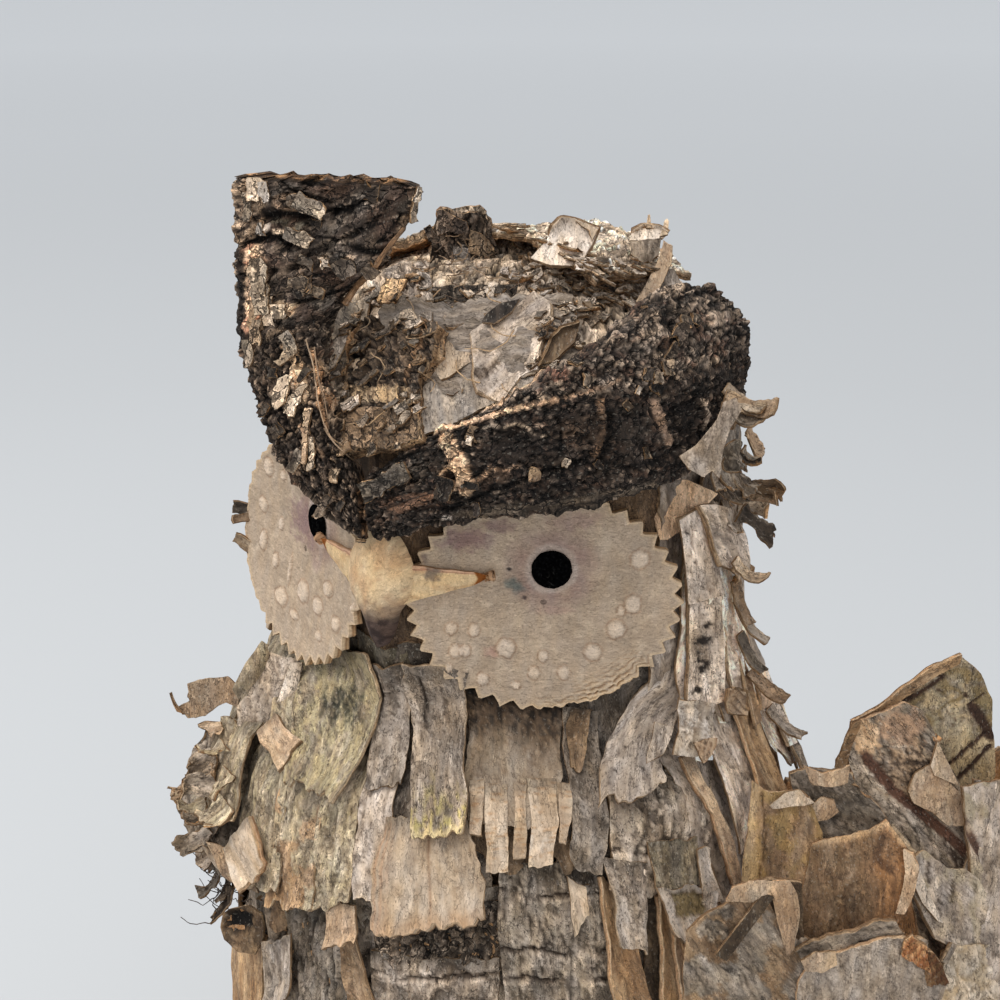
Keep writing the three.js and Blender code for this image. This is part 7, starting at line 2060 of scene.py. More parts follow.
wing_object("wing_tan_patch", None, [
    ("front_panel", dict(top=[(908, 792, 2.4), (915, 774, 2.4), (930, 766, 2.4), (946, 778, 2.4)], right=[(966, 800, 2.4)], bottom=[(930, 812, 2.4), (948, 826, 2.4), (967, 826, 2.4)],
                         left=[(914, 803, 2.4)], kind="tan", seed=921, t=1.2, relief=0.6, peel=0.1, tone=0.93)),
    ("front_panel", dict(top=[(931, 766, 3.2), (938, 742, 3.2)], right=[(950, 765, 3.2)], bottom=[(935, 776, 3.2), (960, 787, 3.2)], kind="cream", seed=922, t=1.0, relief=0.3, peel=0.1, jag=0.3, tone=0.97))], "tan_bark")


def pale_marks(col, h, x, y, um, vm, edge):
    line = band(x, y, [(964, 820), (977, 848), (990, 870), (1012, 896)], 4.4, 0.25, 251, 0.7)
    col = mixc(col, np.array([84, 64, 54.0]), line * 0.95)
    h = h - 0.6 * line
    for cx, cy, rx, ry in ((929, 872, 2.2, 13), (953, 892, 2.6, 11), (976, 886, 1.6, 10), (983, 930, 2.4, 12), (940, 905, 1.2, 8)):
        m = blob(x, y, cx, cy, rx, ry, 252, 0.5)
        col = mixc(col, np.array([62, 52, 44.0]), m * 0.85)
        h = h - 0.4 * m
    g = ss(0.0, 0.5, fbm(um / 7, vm / 10, 4, 253))
    col = mixc(col, np.array([150, 142, 112.0]), g * 0.5)
    col = mixc(col, np.array([216, 206, 186.0]), ss(0.2, 0.6, -fbm(um / 6, vm / 9, 4, 254)) * 0.6)
    return col, h


wing_object("wing_pale_sheets", None, [
    ("outer_sheet", dict(top=[(963, 788, 1.5), (985, 783, 1.5), (1014, 778, 1.5)], bottom=[(978, 915, 2.5), (1014, 925, 2.5)], left=[(966, 815, 1.5), (970, 850, 1.5), (972, 880, 2)],
                         kind="pale", seed=931, t=1.4, relief=0.6, peel=0.4, feature=pale_marks)),
    ("outer_sheet", dict(top=[(903, 866, 3.5), (925, 850, 3.5), (948, 868, 3.5), (966, 868, 3.0)], bottom=[(936, 938, 5), (958, 952, 5), (985, 950, 4), (1000, 948, 4)], left=[(912, 890, 3.5), (922, 912, 4)],
                         right=[(980, 880, 3), (996, 910, 4)], kind="pale", seed=932, t=1.4, relief=0.7, peel=0.5, feature=pale_marks, tone=1.0)),
    ("outer_sheet", dict(top=[(912, 878, 5.4), (920, 871, 5.4)], right=[(930, 895, 5.4)], bottom=[(938, 921, 6), (943, 923, 6)], left=[(922, 903, 5.4)], kind="white", seed=933, t=0.8, relief=0.3, peel=0.1, jag=0.2)),
    ("outer_sheet", dict(top=[(946, 952, 5), (965, 945, 5), (990, 945, 5), (1014, 952, 5)], bottom=[(925, 1014, 8), (1014, 1014, 8)], left=[(942, 978, 6)], kind="pale", seed=934, t=2.0, relief=1.0, scaly=1.0,
                         size=(4.5, 4), feature=lambda col, h, x, y, um, vm, e: (mixc(mixc(col, np.array([206, 198, 176.0]), 0.45 + 0 * x), np.array([160, 140, 104.0]), ss(0.1, 0.5, fbm(um / 6, vm / 6, 3, 256)) * 0.45), h))),
    ("outer_sheet", dict(top=[(953, 943, 7), (958, 945, 7)], bottom=[(943, 962, 7), (947, 965, 7)], kind="grey", seed=935, t=1.6, jag=0.2, tone=0.8))], "pale_bark")
wing_object("wing_shoulder_sheet_bark", "left_wing_shoulder_sheet", [
    ("shoulder_sheet", dict(top=[(752, 782, 0.8), (768, 793, 1.0), (786, 791, 1.2), (802, 791, 1.2), (812, 805, 1.0)], right=[(822, 832, 0.8), (826, 866, 0.8)],
                            bottom=[(741, 896, 0.8), (770, 888, 1.2), (800, 890, 1.2), (826, 890, 0.8)], left=[(748, 830, 1.4), (743, 862, 1.0)],
                            kind="brown", seed=941, t=1.8, relief=0.5, peel=0.25, feature=olive_brown, rim="orange", lenticels=0.2, tone=1.02)),
    ("shoulder_sheet", dict(top=[(812, 843, 2.2), (822, 840, 2.6), (850, 834, 3.0), (870, 829, 3.0), (888, 821, 2.6)], right=[(900, 838, 2.6), (911, 852, 2.6), (917, 864, 2.6), (914, 890, 2.6)],
                            bottom=[(796, 940, 2.2), (830, 942, 2.4), (860, 934, 2.6), (895, 926, 2.6), (910, 912, 2.6)], left=[(806, 872, 2.4), (799, 902, 2.2)],
                            kind="brown", seed=942, t=2.2, relief=0.6, peel=0.2, feature=brown_marks, rim="orange", bulge=2.0, rows=4, lenticels=0.2, tone=0.94)),
    ("shoulder_sheet", dict(top=[(903, 850, 4.2), (912, 856, 5.0)], right=[(919, 868, 5.2), (915, 892, 5.0)], bottom=[(896, 914, 4.2), (905, 915, 4.8)], left=[(905, 872, 4.2), (902, 892, 4.2)],
                            kind="tan", seed=943, t=2.4, relief=0.4, peel=0.1, rim="orange", jag=0.3, tone=1.0, res=0.6))], "tan_bark")
wing_object("wing_shoulder_scraps", None, [
    ("shoulder_sheet", dict(top=[(790, 775, -2.5), (812, 768, -2.5), (850, 772, -2.5), (862, 792, -2.5)], right=[(880, 808, -2.5)], bottom=[(796, 820, -2.5), (822, 845, -2.5), (860, 838, -2.5), (893, 830, -2.5)], left=[(794, 795, -2.5)],
                            kind="weathered", seed=951, t=2.2, relief=1.1, peel=0.6, tone=0.86, turn=-60)),
    ("shoulder_sheet", dict(top=[(804, 766, 0.5), (822, 774, 0.5), (850, 766, 0.5)], bottom=[(812, 785, 0.5), (830, 787, 0.5), (848, 783, 0.5)], kind="tan", seed=952, t=1.6, relief=0.5, peel=0.1, rim="orange", tone=0.92, jag=0.4)),
    ("shoulder_sheet", dict(top=[(770, 806, 2.8), (785, 792, 3.2), (800, 789, 3.4), (806, 796, 3.2)], bottom=[(773, 809, 2.6), (790, 806, 3.0), (806, 805, 3.0), (815, 803, 2.8)], kind="cream", seed=953, t=0.8, relief=0.3, peel=0.1, tone=0.93, jag=0.3)),
    ("shoulder_sheet", dict(top=[(812, 806, 1.0), (822, 797, 1.2), (834, 800, 1.0)], bottom=[(816, 822, 0.6), (828, 820, 0.6), (838, 812, 0.6)], kind="tan", seed=954, t=0.8, relief=0.3, peel=0.1, tone=0.9, jag=0.3))], "tan_bark")


def broken_end(col, h, x, y, um, vm, edge):
    fib = fbm((um * 0.75 + vm * 0.65) / 1.0, (vm * 0.75 - um * 0.65) / 9, 3, 261)
    col = mixc(np.array([208, 170, 126.0]), np.array([146, 100, 66.0]), ss(-0.25, 0.35, fib))
    return col, h + 0.9 * fib


wing_object("wing_lower_scraps", None, [
    ("lower_sheet", dict(top=[(742, 884, 0.5), (770, 880, 0.5), (802, 884, 0.5)], bottom=[(742, 960, 0.5), (806, 975, 0.5)], kind="brown", seed=960, t=1.6, relief=0.7, peel=0.4, tone=0.62, turn=-35)),
    ("lower_sheet", dict(top=[(686, 934, 2.5), (705, 915, 3.0), (735, 898, 4.0), (768, 900, 4.5), (782, 925, 4.0)], right=[(802, 962, 3.5), (824, 988, 3.5)], bottom=[(684, 1014, 3.5), (838, 1014, 3.5)], left=[(683, 970, 3.0)],
                         kind="brown", kind2="weathered", seed=961, t=1.6, relief=0.7, peel=0.4, tone=0.93, turn=-35, scaly=0.2)),
    ("lower_sheet", dict(top=[(732, 890, 6.0), (750, 880, 7.0), (790, 881, 7.0), (798, 895, 6.4)], right=[(800, 915, 6.2), (794, 950, 6.0)], bottom=[(726, 902, 5.4), (752, 902, 6.0), (772, 896, 6.4), (777, 920, 6.2), (787, 956, 5.6)],
                         kind="tan", seed=962, t=1.6, relief=0.5, peel=0.15, rim="orange", bulge=1.2, tone=0.95, jag=0.4)),
    ("lower_sheet", dict(top=[(764, 893, 7.6), (775, 897, 7.6)], bottom=[(716, 955, 6.4), (727, 961, 6.4)], kind="brown", seed=963, t=1.2, relief=0.5, peel=0.1, tone=0.5, jag=0.3, res=0.6)),
    ("lower_sheet", dict(top=[(800, 978, 5.5), (815, 962, 5.5), (850, 950, 6.0), (885, 940, 6.5), (905, 938, 6.5)], right=[(925, 948, 6.5), (948, 984, 6.0)], bottom=[(795, 1014, 5.5), (935, 1014, 6.5)], left=[(797, 995, 5.5)],
                         kind="grey", seed=964, t=1.8, relief=0.35, peel=0.12, tone=0.93, lenticels=0.1, rim="orange")),
    ("lower_sheet", dict(top=[(903, 941, 7.6), (913, 937, 7.8), (927, 948, 7.8)], bottom=[(902, 956, 7.2), (916, 965, 7.4), (931, 974, 7.4)], kind="wood", seed=965, t=1.4, feature=broken_end, jag=0.8, res=0.6)),
    ("lower_sheet", dict(top=[(926, 949, 7.4), (934, 953, 7.2)], right=[(943, 967, 7.0)], bottom=[(927, 986, 6.8), (949, 983, 6.8)], left=[(926, 968, 7.0)], kind="wood", seed=966, t=2.0, feature=broken_end, tone=0.62, jag=0.6, res=0.6)),
    ("lower_sheet", dict(top=[(792, 954, 3.5), (812, 941, 3.8), (850, 933, 4.2), (880, 922, 4.4), (896, 924, 4.4)], bottom=[(794, 966, 3.5), (830, 961, 3.8), (870, 947, 4.2), (905, 936, 4.4)], kind="weathered", seed=967, t=1.8, relief=1.0,
                         peel=0.5, turn=72, jag=0.8, tone=0.96)),
    ("lower_sheet", dict(top=[(802, 962, 6.8), (815, 954, 7.0), (836, 952, 7.0)], bottom=[(806, 972, 6.6), (822, 974, 6.8), (838, 964, 6.8)], kind="tan", seed=968, t=1.0, relief=0.3, peel=0.1, jag=0.4, tone=0.92))], "tan_bark")


# ------------------------------------------------------------------ the hollow of the crown
def local_plane(names, pts, lift=0.0):
    """The plane through three or four picture points on the named pieces."""
    q = np.array([on(names, x, y)[0] for x, y in pts])
    n = unit(np.cross(q[1] - q[0], q[-1] - q[0]))
    n = n if n @ TOWARD > 0 else -n
    return q.mean(0) + n * lift, n


def pieces_on(name, slot, pieces, node=None):
    bag = Bag()
    for i, (plane, spec) in enumerate(pieces):
        cut(bag, plane=plane, keep_as=f"{name}_{i}", **spec)
    bag.make(name, slot, [node] if node else [])


def flat(pts, o=0.0):
    return [(x, y, o) for x, y in pts]


TROUGH = ["forehead_paper", "body"]
PAPER = plane_of([[-16, -40, 357], [34, -18, 362], [50, -40, 348], [6, -62, 337]])


def block_marks(col, h, x, y, um, vm, edge):
    ws = x + 5 * fbm(x / 20, y / 16, 3, 301)
    wy = y + 5 * fbm(x / 16, y / 18, 3, 302)
    f1, f2, num = cells(ws / 17, wy / 11, 303, 0.95)
    gap = ss(0.16, 0.03, f2 - f1)
    upper = ss(392, 384, y + 3 * n2(x / 9, 1.1, 304))
    row = ss(384, 388, y + 3 * n2(x / 9, 1.1, 304)) * ss(404, 399, y + 3 * n2(x / 12, 2.2, 305)) * ss(412, 402, x)
    lower = ss(400, 406, y + 3 * n2(x / 12, 2.2, 305))
    r = ridge(um / 2.2, vm / 1.8, 4, 306)
    cu = mixc(np.array([70, 60, 51.0]), np.array([122, 109, 93.0]), clamp01(0.5 * num + 0.9 * (r - 0.35)))
    cu = mixc(cu, np.array([26, 20, 17.0]), clamp01(gap + 0.7 * ss(0.45, 0.3, r)))
    fib = n2(um / 0.85, vm / 16, 307)
    cr = mixc(np.array([166, 150, 124.0]), np.array([88, 74, 58.0]), ss(-0.1, 0.45, fib))
    cl = mixc(np.array([104, 90, 74.0]), np.array([134, 117, 97.0]), ss(-0.2, 0.5, fbm(um / 3, vm / 5, 4, 308)))
    cl = mixc(cl, np.array([40, 32, 26.0]), ss(0.07, 0.02, np.abs(n2(um / 7, vm / 5, 309))) * 0.8)
    col = mixc(col, cu, upper)
    col = mixc(col, cl, lower)
    col = mixc(col, cr, row)
    line = ss(2.2, 0.6, np.abs(y - 404 - 3 * n2(x / 12, 2.2, 305))) * ss(425, 412, x)
    col = mixc(col, np.array([30, 24, 20.0]), line * 0.9)
    stem = band(x, y, [(428, 322), (418, 350), (404, 384)], 1.6, 0.4, 310, 0.6)
    col = mixc(col, np.array([132, 108, 84.0]), stem)
    h = h + upper * (1.2 * (num - 0.5) + 0.9 * (r - 0.55) - 1.3 * gap) + row * 0.5 * fib - 0.8 * line + 0.8 * stem + 0.6 * upper
    return col, h


def strip_marks(col, h, x, y, um, vm, edge):
    m = band(x, y, [(493, 366), (514, 346), (537, 329)], 3.6, 0.25, 312, 0.5)
    two = ss(2, -2, (x - 515) * 0.75 + (y - 346) * 0.65 + 1.5 * n2(um, vm, 313))
    col = mixc(col, mixc(np.array([120, 110, 97.0]), np.array([82, 73, 64.0]), two), m * 0.95)
    h = h - 0.4 * m
    m2 = blob(x, y, 481, 373, 12, 8, 314, 0.5)
    ringv = np.abs(np.hypot((x - 481) / 12, (y - 373) / 8) - 0.55)
    col = mixc(col, np.array([64, 54, 46.0]), m2 * (0.45 + 0.5 * ss(0.25, 0.05, ringv)))
    line = ss(0.9, 0.3, np.abs((x - 500) * 0.66 + (y - 330) * 0.75 - 2.0 * n2(x / 20, y / 20, 315)))
    col = mixc(col, np.array([122, 112, 98.0]), line * 0.7)
    return col, h


def haze(col, h, x, y, um, vm, edge):
    g = fbm(um / 2.2, vm / 2.2, 4, 316, 0.6)
    col = mixc(col, np.array([136, 134, 130.0]) * (1 + 0.22 * g)[..., None], 0.75 + 0 * x)
    col = mixc(col, np.array([184, 178, 168.0]), ss(0.25, 0.5, g) * 0.5)
    return col, h


bp = local_plane(["forehead_paper", "body"], [(352, 322), (425, 322), (412, 430), (345, 436)], 4.0)
pieces_on("crown_block_bark", "rough_bark", [(bp, dict(
    top=flat([(352, 322), (374, 316), (400, 323), (422, 318), (437, 326)]), right=flat([(434, 350), (420, 378), (417, 408)]), bottom=flat([(338, 450), (358, 446), (392, 447), (418, 437)]),
    left=flat([(349, 345), (346, 378), (339, 412)]), kind="rough", seed=3001, t=5.0, relief=0.5, peel=0.3, feature=block_marks, rows=5, res=0.6, jag=0.9, bulge=1.5))])
gp = local_plane(["body"], [(320, 325), (365, 300), (362, 340), (325, 360)], 1.6)
pieces_on("crown_grey_paper", "crown_bark", [
    (gp, dict(top=flat([(314, 322), (338, 306), (371, 296)]), bottom=flat([(318, 380), (344, 372), (350, 340)]), left=flat([(318, 345)]), right=flat([(366, 322)]), kind="weathered", seed=3011, t=1.2, relief=0.8,
              wave=2.0, tone=0.86, peel=0.6)),
    (gp, dict(top=flat([(330, 345), (346, 330), (352, 326)], 1.5), bottom=flat([(326, 372), (334, 368), (341, 352)], 1.5), kind="pale", seed=3012, t=0.8, relief=0.6, wave=1.5, tone=0.9))])
wp = local_plane(["body"], [(376, 285), (425, 270), (428, 296), (380, 305)], 1.0)
pieces_on("crown_fibrous_scraps", "crown_bark", [
    (wp, dict(top=flat([(366, 282), (385, 268), (405, 262), (428, 262)]), bottom=flat([(372, 306), (400, 306), (434, 300)]), kind="pale", seed=3021, t=2.0, relief=1.4, wave=2.0, scaly=1.2, size=(3, 2.2), tone=0.95)),
    (wp, dict(top=flat([(402, 302), (420, 290), (432, 296)], 1.0), bottom=flat([(400, 330), (418, 332), (432, 322)], 1.0), kind="grey", seed=3022, t=1.0, relief=0.7, wave=1.5, tone=0.85)),
    (wp, dict(top=flat([(401, 310), (412, 308), (420, 322)], 2.4), bottom=flat([(398, 318), (408, 318), (416, 326)], 2.4), kind="cream", seed=3023, t=0.9, relief=0.3, peel=0.1, tone=0.95, jag=0.2))])
pieces_on("crown_pale_strip", "pale_bark", [
    (PAPER, dict(top=flat([(424, 386), (440, 376), (470, 378), (500, 374), (532, 364)], 2.6), bottom=flat([(420, 436), (450, 426), (480, 409), (503, 397), (545, 388)], 2.6), kind="pale", seed=3031, t=0.9, relief=0.4, peel=0.1, feature=haze,
                 wave=1.2)),
    (PAPER, dict(top=flat([(470, 332), (486, 322), (506, 318), (522, 300), (534, 290), (550, 300)], 3.6), right=flat([(549, 318), (540, 345)], 3.6), bottom=flat([(478, 390), (490, 398), (502, 402), (520, 376), (537, 368)], 3.6),
                 left=flat([(473, 352), (474, 372)], 3.6), kind="pale", seed=3032, t=1.6, relief=0.5, peel=0.25, feature=strip_marks, turn=48, wave=1.0, tone=1.02, curl=(0, 1.2, 0, 1.2), rim="pale")),
    (PAPER, dict(top=flat([(433, 342), (446, 338), (456, 352), (476, 354)], 3.0), bottom=flat([(432, 366), (440, 380), (452, 376), (474, 360)], 3.0), kind="cream", seed=3033, t=0.9, relief=0.4, peel=0.2, tone=0.86, fold=1.6)),
    (PAPER, dict(top=flat([(486, 314), (500, 303), (520, 299)], 5.6), bottom=flat([(482, 321), (494, 323), (512, 311)], 5.6), kind="dark", seed=3034, t=0.9, relief=0.5, peel=0.2, rim="pale", jag=0.4, tone=0.8)),
    (PAPER, dict(top=flat([(553, 336), (562, 327), (580, 323)], 5.0), bottom=flat([(540, 366), (552, 361), (574, 342)], 5.0), kind="brown", seed=3035, t=0.9, relief=0.5, peel=0.2, tone=0.68, curl=(1.5, 0, 0, 1.0)))])


# ------------------------------------------------------------------ scraps that stand on the crown
TUFT = plane_of([[-17, -4, 379], [-1, 6, 382], [2, 4, 364], [-20, -8, 361]])


def scrap_marks(col, h, x, y, um, vm, edge):
    m = blob(x, y, 461, 257, 8, 15, 321, 0.35)
    col = mixc(col, np.array([128, 128, 128.0]) * (1 + 0.15 * fbm(um, vm, 3, 322))[..., None], m * 0.8)
    hollow = blob(x, y, 488, 276, 15, 12, 323, 0.4)
    col = mixc(col, np.array([22, 17, 14.0]), hollow * 0.9)
    h = h - 1.5 * hollow
    col = mixc(col, np.array([206, 200, 192.0]), blob(x, y, 480, 263, 3, 3, 324) * 0.9)
    cr = band(x, y, [(468, 228), (474, 250), (468, 285)], 1.4, 0.5, 325, 1.5)
    col = mixc(col, np.array([24, 18, 15.0]), cr * 0.9)
    return col, h - cr


pieces_on("crown_scrap_bark", "rough_bark", [
    (TUFT, dict(top=flat([(436, 214), (446, 210), (462, 214), (480, 212), (490, 224)]), right=flat([(498, 250), (503, 275)]), bottom=flat([(428, 290), (450, 288), (475, 292), (502, 288)]), left=flat([(432, 240), (430, 264)]),
                kind="dark", seed=3041, t=4.5, relief=1.1, wave=2.0, feature=scrap_marks, tone=1.08, res=0.6, rows=4)),
    (TUFT, dict(top=flat([(437, 210), (442, 209), (455, 217), (466, 221)], 2.4), bottom=flat([(437, 236), (449, 231), (460, 234), (469, 229)], 2.4), left=flat([(436, 224)], 2.4), kind="dark", seed=3042, t=1.0, relief=0.3, peel=0.1, tone=1.42, jag=0.3)),
    (TUFT, dict(top=flat([(470, 230), (484, 236), (494, 248)], 3.4), bottom=flat([(468, 252), (482, 258), (497, 264)], 3.4), kind="brown", seed=3043, t=1.0, relief=0.3, peel=0.1, tone=0.66, jag=0.4)),
    (TUFT, dict(top=flat([(453, 211), (468, 205), (481, 206), (488, 214)], -3), right=flat([(492, 226)], -3), bottom=flat([(458, 232), (475, 236), (492, 240)], -3), kind="weathered", seed=3044, t=3.0, relief=1.2, scaly=1.6, size=(2.4, 2.0), tone=0.95, jag=0.8)),
    (TUFT, dict(top=flat([(424, 228), (430, 225)], 0.5), bottom=flat([(428, 242), (440, 240)], 0.5), kind="dark", seed=3045, t=1.2, tone=0.9, jag=0.5))], node="crown_tuft")
sp = local_plane(["body"], [(440, 300), (500, 296), (478, 322)], 1.5)
pieces_on("crown_dark_shelf", "rough_bark", [(sp, dict(
    top=flat([(424, 288), (450, 284), (490, 285), (518, 286)]), bottom=flat([(432, 330), (452, 336), (474, 330), (488, 314), (514, 300)]), left=flat([(430, 310)]), kind="rough", seed=3051, t=3.0, relief=1.3, wave=2.0, scaly=0.8, size=(4, 2.4), tone=0.62))])

FACING = unit(TOWARD * 0.8 + UP * 0.45)
SCALES = ["crown_scales", "body"]


def standing(px, py, push=0.0):
    """An upright plane that faces the viewer's side, through the crown where the picture shows (px, py)."""
    return on(SCALES, px, py)[0] + FACING * push, FACING


st1, st2 = standing(566, 258, 0.5), standing(636, 262, 0.5)
pieces_on("crown_cream_curl", "pale_bark", [
    (st1, dict(top=flat([(553, 226), (562, 217), (574, 219), (585, 224), (598, 228)]), right=flat([(592, 244), (584, 256)]), bottom=flat([(530, 258), (550, 264), (572, 266), (584, 264)]), left=flat([(545, 242)]),
               kind="white", seed=3061, t=1.2, relief=0.35, peel=0.12, wave=1.6, curl=(1.8, 0.8, 0, 0), jag=0.4, tone=1.04)),
    (st1, dict(top=flat([(574, 219), (585, 222), (598, 229)], 1.4), bottom=flat([(582, 226), (590, 230), (592, 240)], 1.4), kind="cream", seed=3062, t=0.7, relief=0.2, peel=0.1, jag=0.2, tone=0.85)),
    (st2, dict(top=flat([(633, 230), (645, 223), (660, 226), (668, 232)], 0.5), bottom=flat([(629, 240), (645, 240), (662, 238)], 0.5), kind="white", seed=3063, t=0.9, relief=0.3, peel=0.1, jag=0.3, tone=1.05, curl=(1.2, 0, 0, 0))),
    (st2, dict(top=flat([(646, 228), (648, 214), (650, 214)], 1.2), bottom=flat([(645, 228), (651, 227)], 1.2), kind="tan", seed=3064, t=0.7, relief=0.2, peel=0.1, jag=0.15)),
    (st2, dict(top=flat([(665, 220), (667, 218), (669, 221)], 1.2), bottom=flat([(660, 236), (668, 234)], 1.2), kind="cream", seed=3065, t=0.7, relief=0.2, peel=0.1, jag=0.15)),
    (st2, dict(top=flat([(629, 240), (645, 238), (661, 237)], 0.2), bottom=flat([(630, 252), (644, 262), (658, 256)], 0.2), kind="grey", seed=3066, t=1.4, relief=0.6, peel=0.4, bulge=2.0, tone=0.8)),
    (st2, dict(top=flat([(664, 240), (673, 246)], 0.8), bottom=flat([(636, 302), (650, 306)], 0.8), right=flat([(672, 262), (662, 284)], 0.8), left=flat([(660, 258), (646, 284)], 0.8), kind="tan", seed=3067, t=1.2, relief=0.5, peel=0.2, rim="orange", tone=0.85)),
    (st2, dict(top=flat([(662, 270), (674, 268), (682, 284)], -1), bottom=flat([(646, 304), (668, 306), (690, 300)], -1), kind="pale", seed=3068, t=1.2, relief=0.7, tone=0.8))])

chips = Bag()
scatter(chips, [(500, 226), (545, 224), (600, 246), (640, 256), (690, 286), (645, 300), (590, 320), (560, 300), (515, 288), (500, 262)], SCALES, 120,
        ["weathered", "pale", "pale", "white", "pale", "rough", "cream"], (2.2, 7.0), (1.8, 5.0), 3101, pitch=(4, 30), spin=(-50, 50), tone=(0.78, 1.12), up_px=(0.2, 1), t=0.8)
scatter(chips, [(545, 250), (600, 250), (608, 270), (560, 276)], SCALES, 16, ["white", "cream", "white"], (3, 7), (2, 4), 3102, pitch=(4, 20), tone=(0.95, 1.05), t=0.7)
chips.make("crown_chips", "crown_bark")
chips = Bag()
scatter(chips, [(315, 300), (350, 290), (400, 262), (432, 262), (440, 320), (430, 380), (418, 440), (340, 455), (318, 400)], ["crown_block_bark_0", "crown_grey_paper_0", "crown_fibrous_scraps_0", "body"], 80,
        ["weathered", "brown", "rough", "pale", "rough"], (1.6, 5.0), (1.6, 5.0), 3103, pitch=(4, 38), spin=(-60, 60), tone=(0.65, 1.05), t=0.7)
scatter(chips, [(432, 288), (520, 286), (470, 330), (430, 330)], ["crown_dark_shelf_0", "body"], 26, ["rough", "dark", "weathered"], (2, 6), (1.6, 4), 3104, pitch=(4, 38), spin=(-60, 60), tone=(0.6, 1.1), t=0.8)
scatter(chips, [(545, 300), (600, 300), (580, 340), (545, 372), (530, 366)], ["crown_pale_strip_1", "forehead_paper", "body"], 34, ["weathered", "pale", "grey", "rough"], (2, 5.5), (1.6, 4), 3105, pitch=(4, 30), spin=(-60, 60), tone=(0.7, 1.05), t=0.7)
curl_at(chips, 391, 305, ["crown_grey_paper_0", "body"], (0.05, 1), w=6.6, l=10.5, kind="wood", seed=3106, pitch=8, roll=30, tone=1.08, taper=1.0, anchor=0.9, lift=1.2,
        feature=lambda c, h, *r: (c, h))
curl_at(chips, 497, 226, SCALES, (0.3, 1), w=4.4, l=9, kind="cream", seed=3107, pitch=-10, anchor=0.9, taper=1.0, roll=20)
chips.make("crown_trough_chips", "rough_bark")


# ------------------------------------------------------------------ loose parts on the brows
B1, B2 = ["right_brow"], ["left_brow"]
bits = Bag()
for px, py, w, l, kind, seed, kw in [
        (254, 181, 5.4, 6.5, "cream", 3201, dict(roll=40, pitch=10, tone=1.0)), (262, 186, 4.0, 5.0, "white", 3202, dict(roll=30, tone=0.95)), (247, 196, 4.0, 8.0, "weathered", 3203, dict(roll=20)),
        (420, 190, 3.6, 3.6, "white", 3204, dict(roll=20, tone=0.95)), (414, 200, 3.0, 6.0, "weathered", 3205, dict(tone=0.9)), (262, 222, 3.2, 3.2, "white", 3206, dict(tone=0.85)),
        (288, 232, 4.4, 8.0, "weathered", 3207, dict(spin=70)), (300, 200, 6.0, 9.0, "weathered", 3208, dict(spin=60, tone=0.95)), (325, 257, 3.6, 3.0, "weathered", 3209, dict(tone=1.1)),
        (258, 262, 6.0, 10.0, "cream", 3210, dict(roll=50, tone=0.85)), (262, 283, 5.0, 9.0, "cream", 3211, dict(roll=60, tone=0.95)), (256, 303, 4.6, 8.5, "tan", 3212, dict(roll=40, tone=0.9)),
        (268, 300, 4.0, 8.0, "cream", 3213, dict(roll=-50, tone=0.95)), (256, 322, 5.0, 7.0, "tan", 3214, dict(roll=40, tone=0.8)), (280, 306, 5.0, 4.0, "cream", 3215, dict(tone=1.02)),
        (293, 349, 4.4, 6.0, "tan", 3216, dict(spin=-40, tone=0.95)), (291, 380, 5.0, 9.5, "cream", 3217, dict(spin=-25, tone=1.0, roll=20)), (306, 386, 4.0, 10.0, "cream", 3218, dict(spin=-30, tone=1.02, roll=20)),
        (310, 412, 2.4, 8.0, "tan", 3219, dict(roll=30)), (313, 440, 2.0, 9.0, "cream", 3220, dict(roll=20, tone=0.9)), (309, 438, 1.6, 8.0, "tan", 3221, dict(roll=20)),
        (337, 470, 3.0, 3.5, "tan", 3222, dict(tone=0.8)), (250, 345, 4.0, 7.0, "weathered", 3223, dict(tone=0.9)), (285, 338, 4.0, 7.0, "weathered", 3224, dict(tone=0.9, spin=30)),
        (300, 452, 3.0, 7.0, "weathered", 3225, dict(tone=0.7, spin=-30)), (330, 500, 3.4, 7.0, "rough", 3226, dict(tone=1.1, spin=-40))]:
    curl_at(bits, px, py, B1, (0.0, 1), w=w, l=l, kind=kind, seed=seed, **{**dict(pitch=10, lift=0.5, t=0.8, taper=0.7, jag=0.9, peel=0.3, res=0.6, chip=True, edge_w=0.35), **kw})
scatter(bits, [(240, 172), (300, 178), (420, 192), (400, 250), (340, 300), (300, 320), (262, 250)], B1, 10, ["rough", "dark", "rough"], (2.0, 6.5), (2.0, 6.0), 3231, pitch=(4, 18), spin=(30, 90), tone=(0.6, 0.95), t=0.8)
scatter(bits, [(245, 330), (300, 330), (330, 440), (380, 530), (345, 545), (280, 470), (255, 420)], B1, 9, ["rough", "dark", "rough", "brown"], (1.8, 5.0), (1.8, 5.5), 3232, pitch=(4, 24), spin=(-60, 60), tone=(0.45, 0.85), t=0.8)
bits.make("right_brow_chips", "rough_bark")
bits = Bag()
scatter(bits, [(560, 360), (640, 290), (700, 282), (742, 320), (735, 360), (660, 380), (580, 390)], B2, 10, ["rough", "rough", "dark"], (2.2, 7.5), (1.8, 4.6), 3241, pitch=(4, 20), spin=(-20, 55), tone=(0.6, 1.0), t=0.9)
scatter(bits, [(365, 470), (450, 432), (560, 400), (740, 370), (735, 420), (700, 450), (600, 480), (450, 530), (390, 540)], B2, 8, ["rough", "dark", "dark", "brown"], (1.8, 6.0), (1.6, 4.5), 3242, pitch=(4, 24), spin=(-20, 70), tone=(0.4, 0.8), t=0.8)
scatter(bits, [(365, 470), (450, 432), (560, 400), (740, 370), (735, 420), (700, 450), (600, 480), (450, 530), (390, 540)], B2, 6, ["pale", "grey", "tan"], (1.2, 2.8), (1.2, 2.6), 3243, pitch=(4, 30), spin=(-60, 60), tone=(0.8, 1.0), t=0.6)
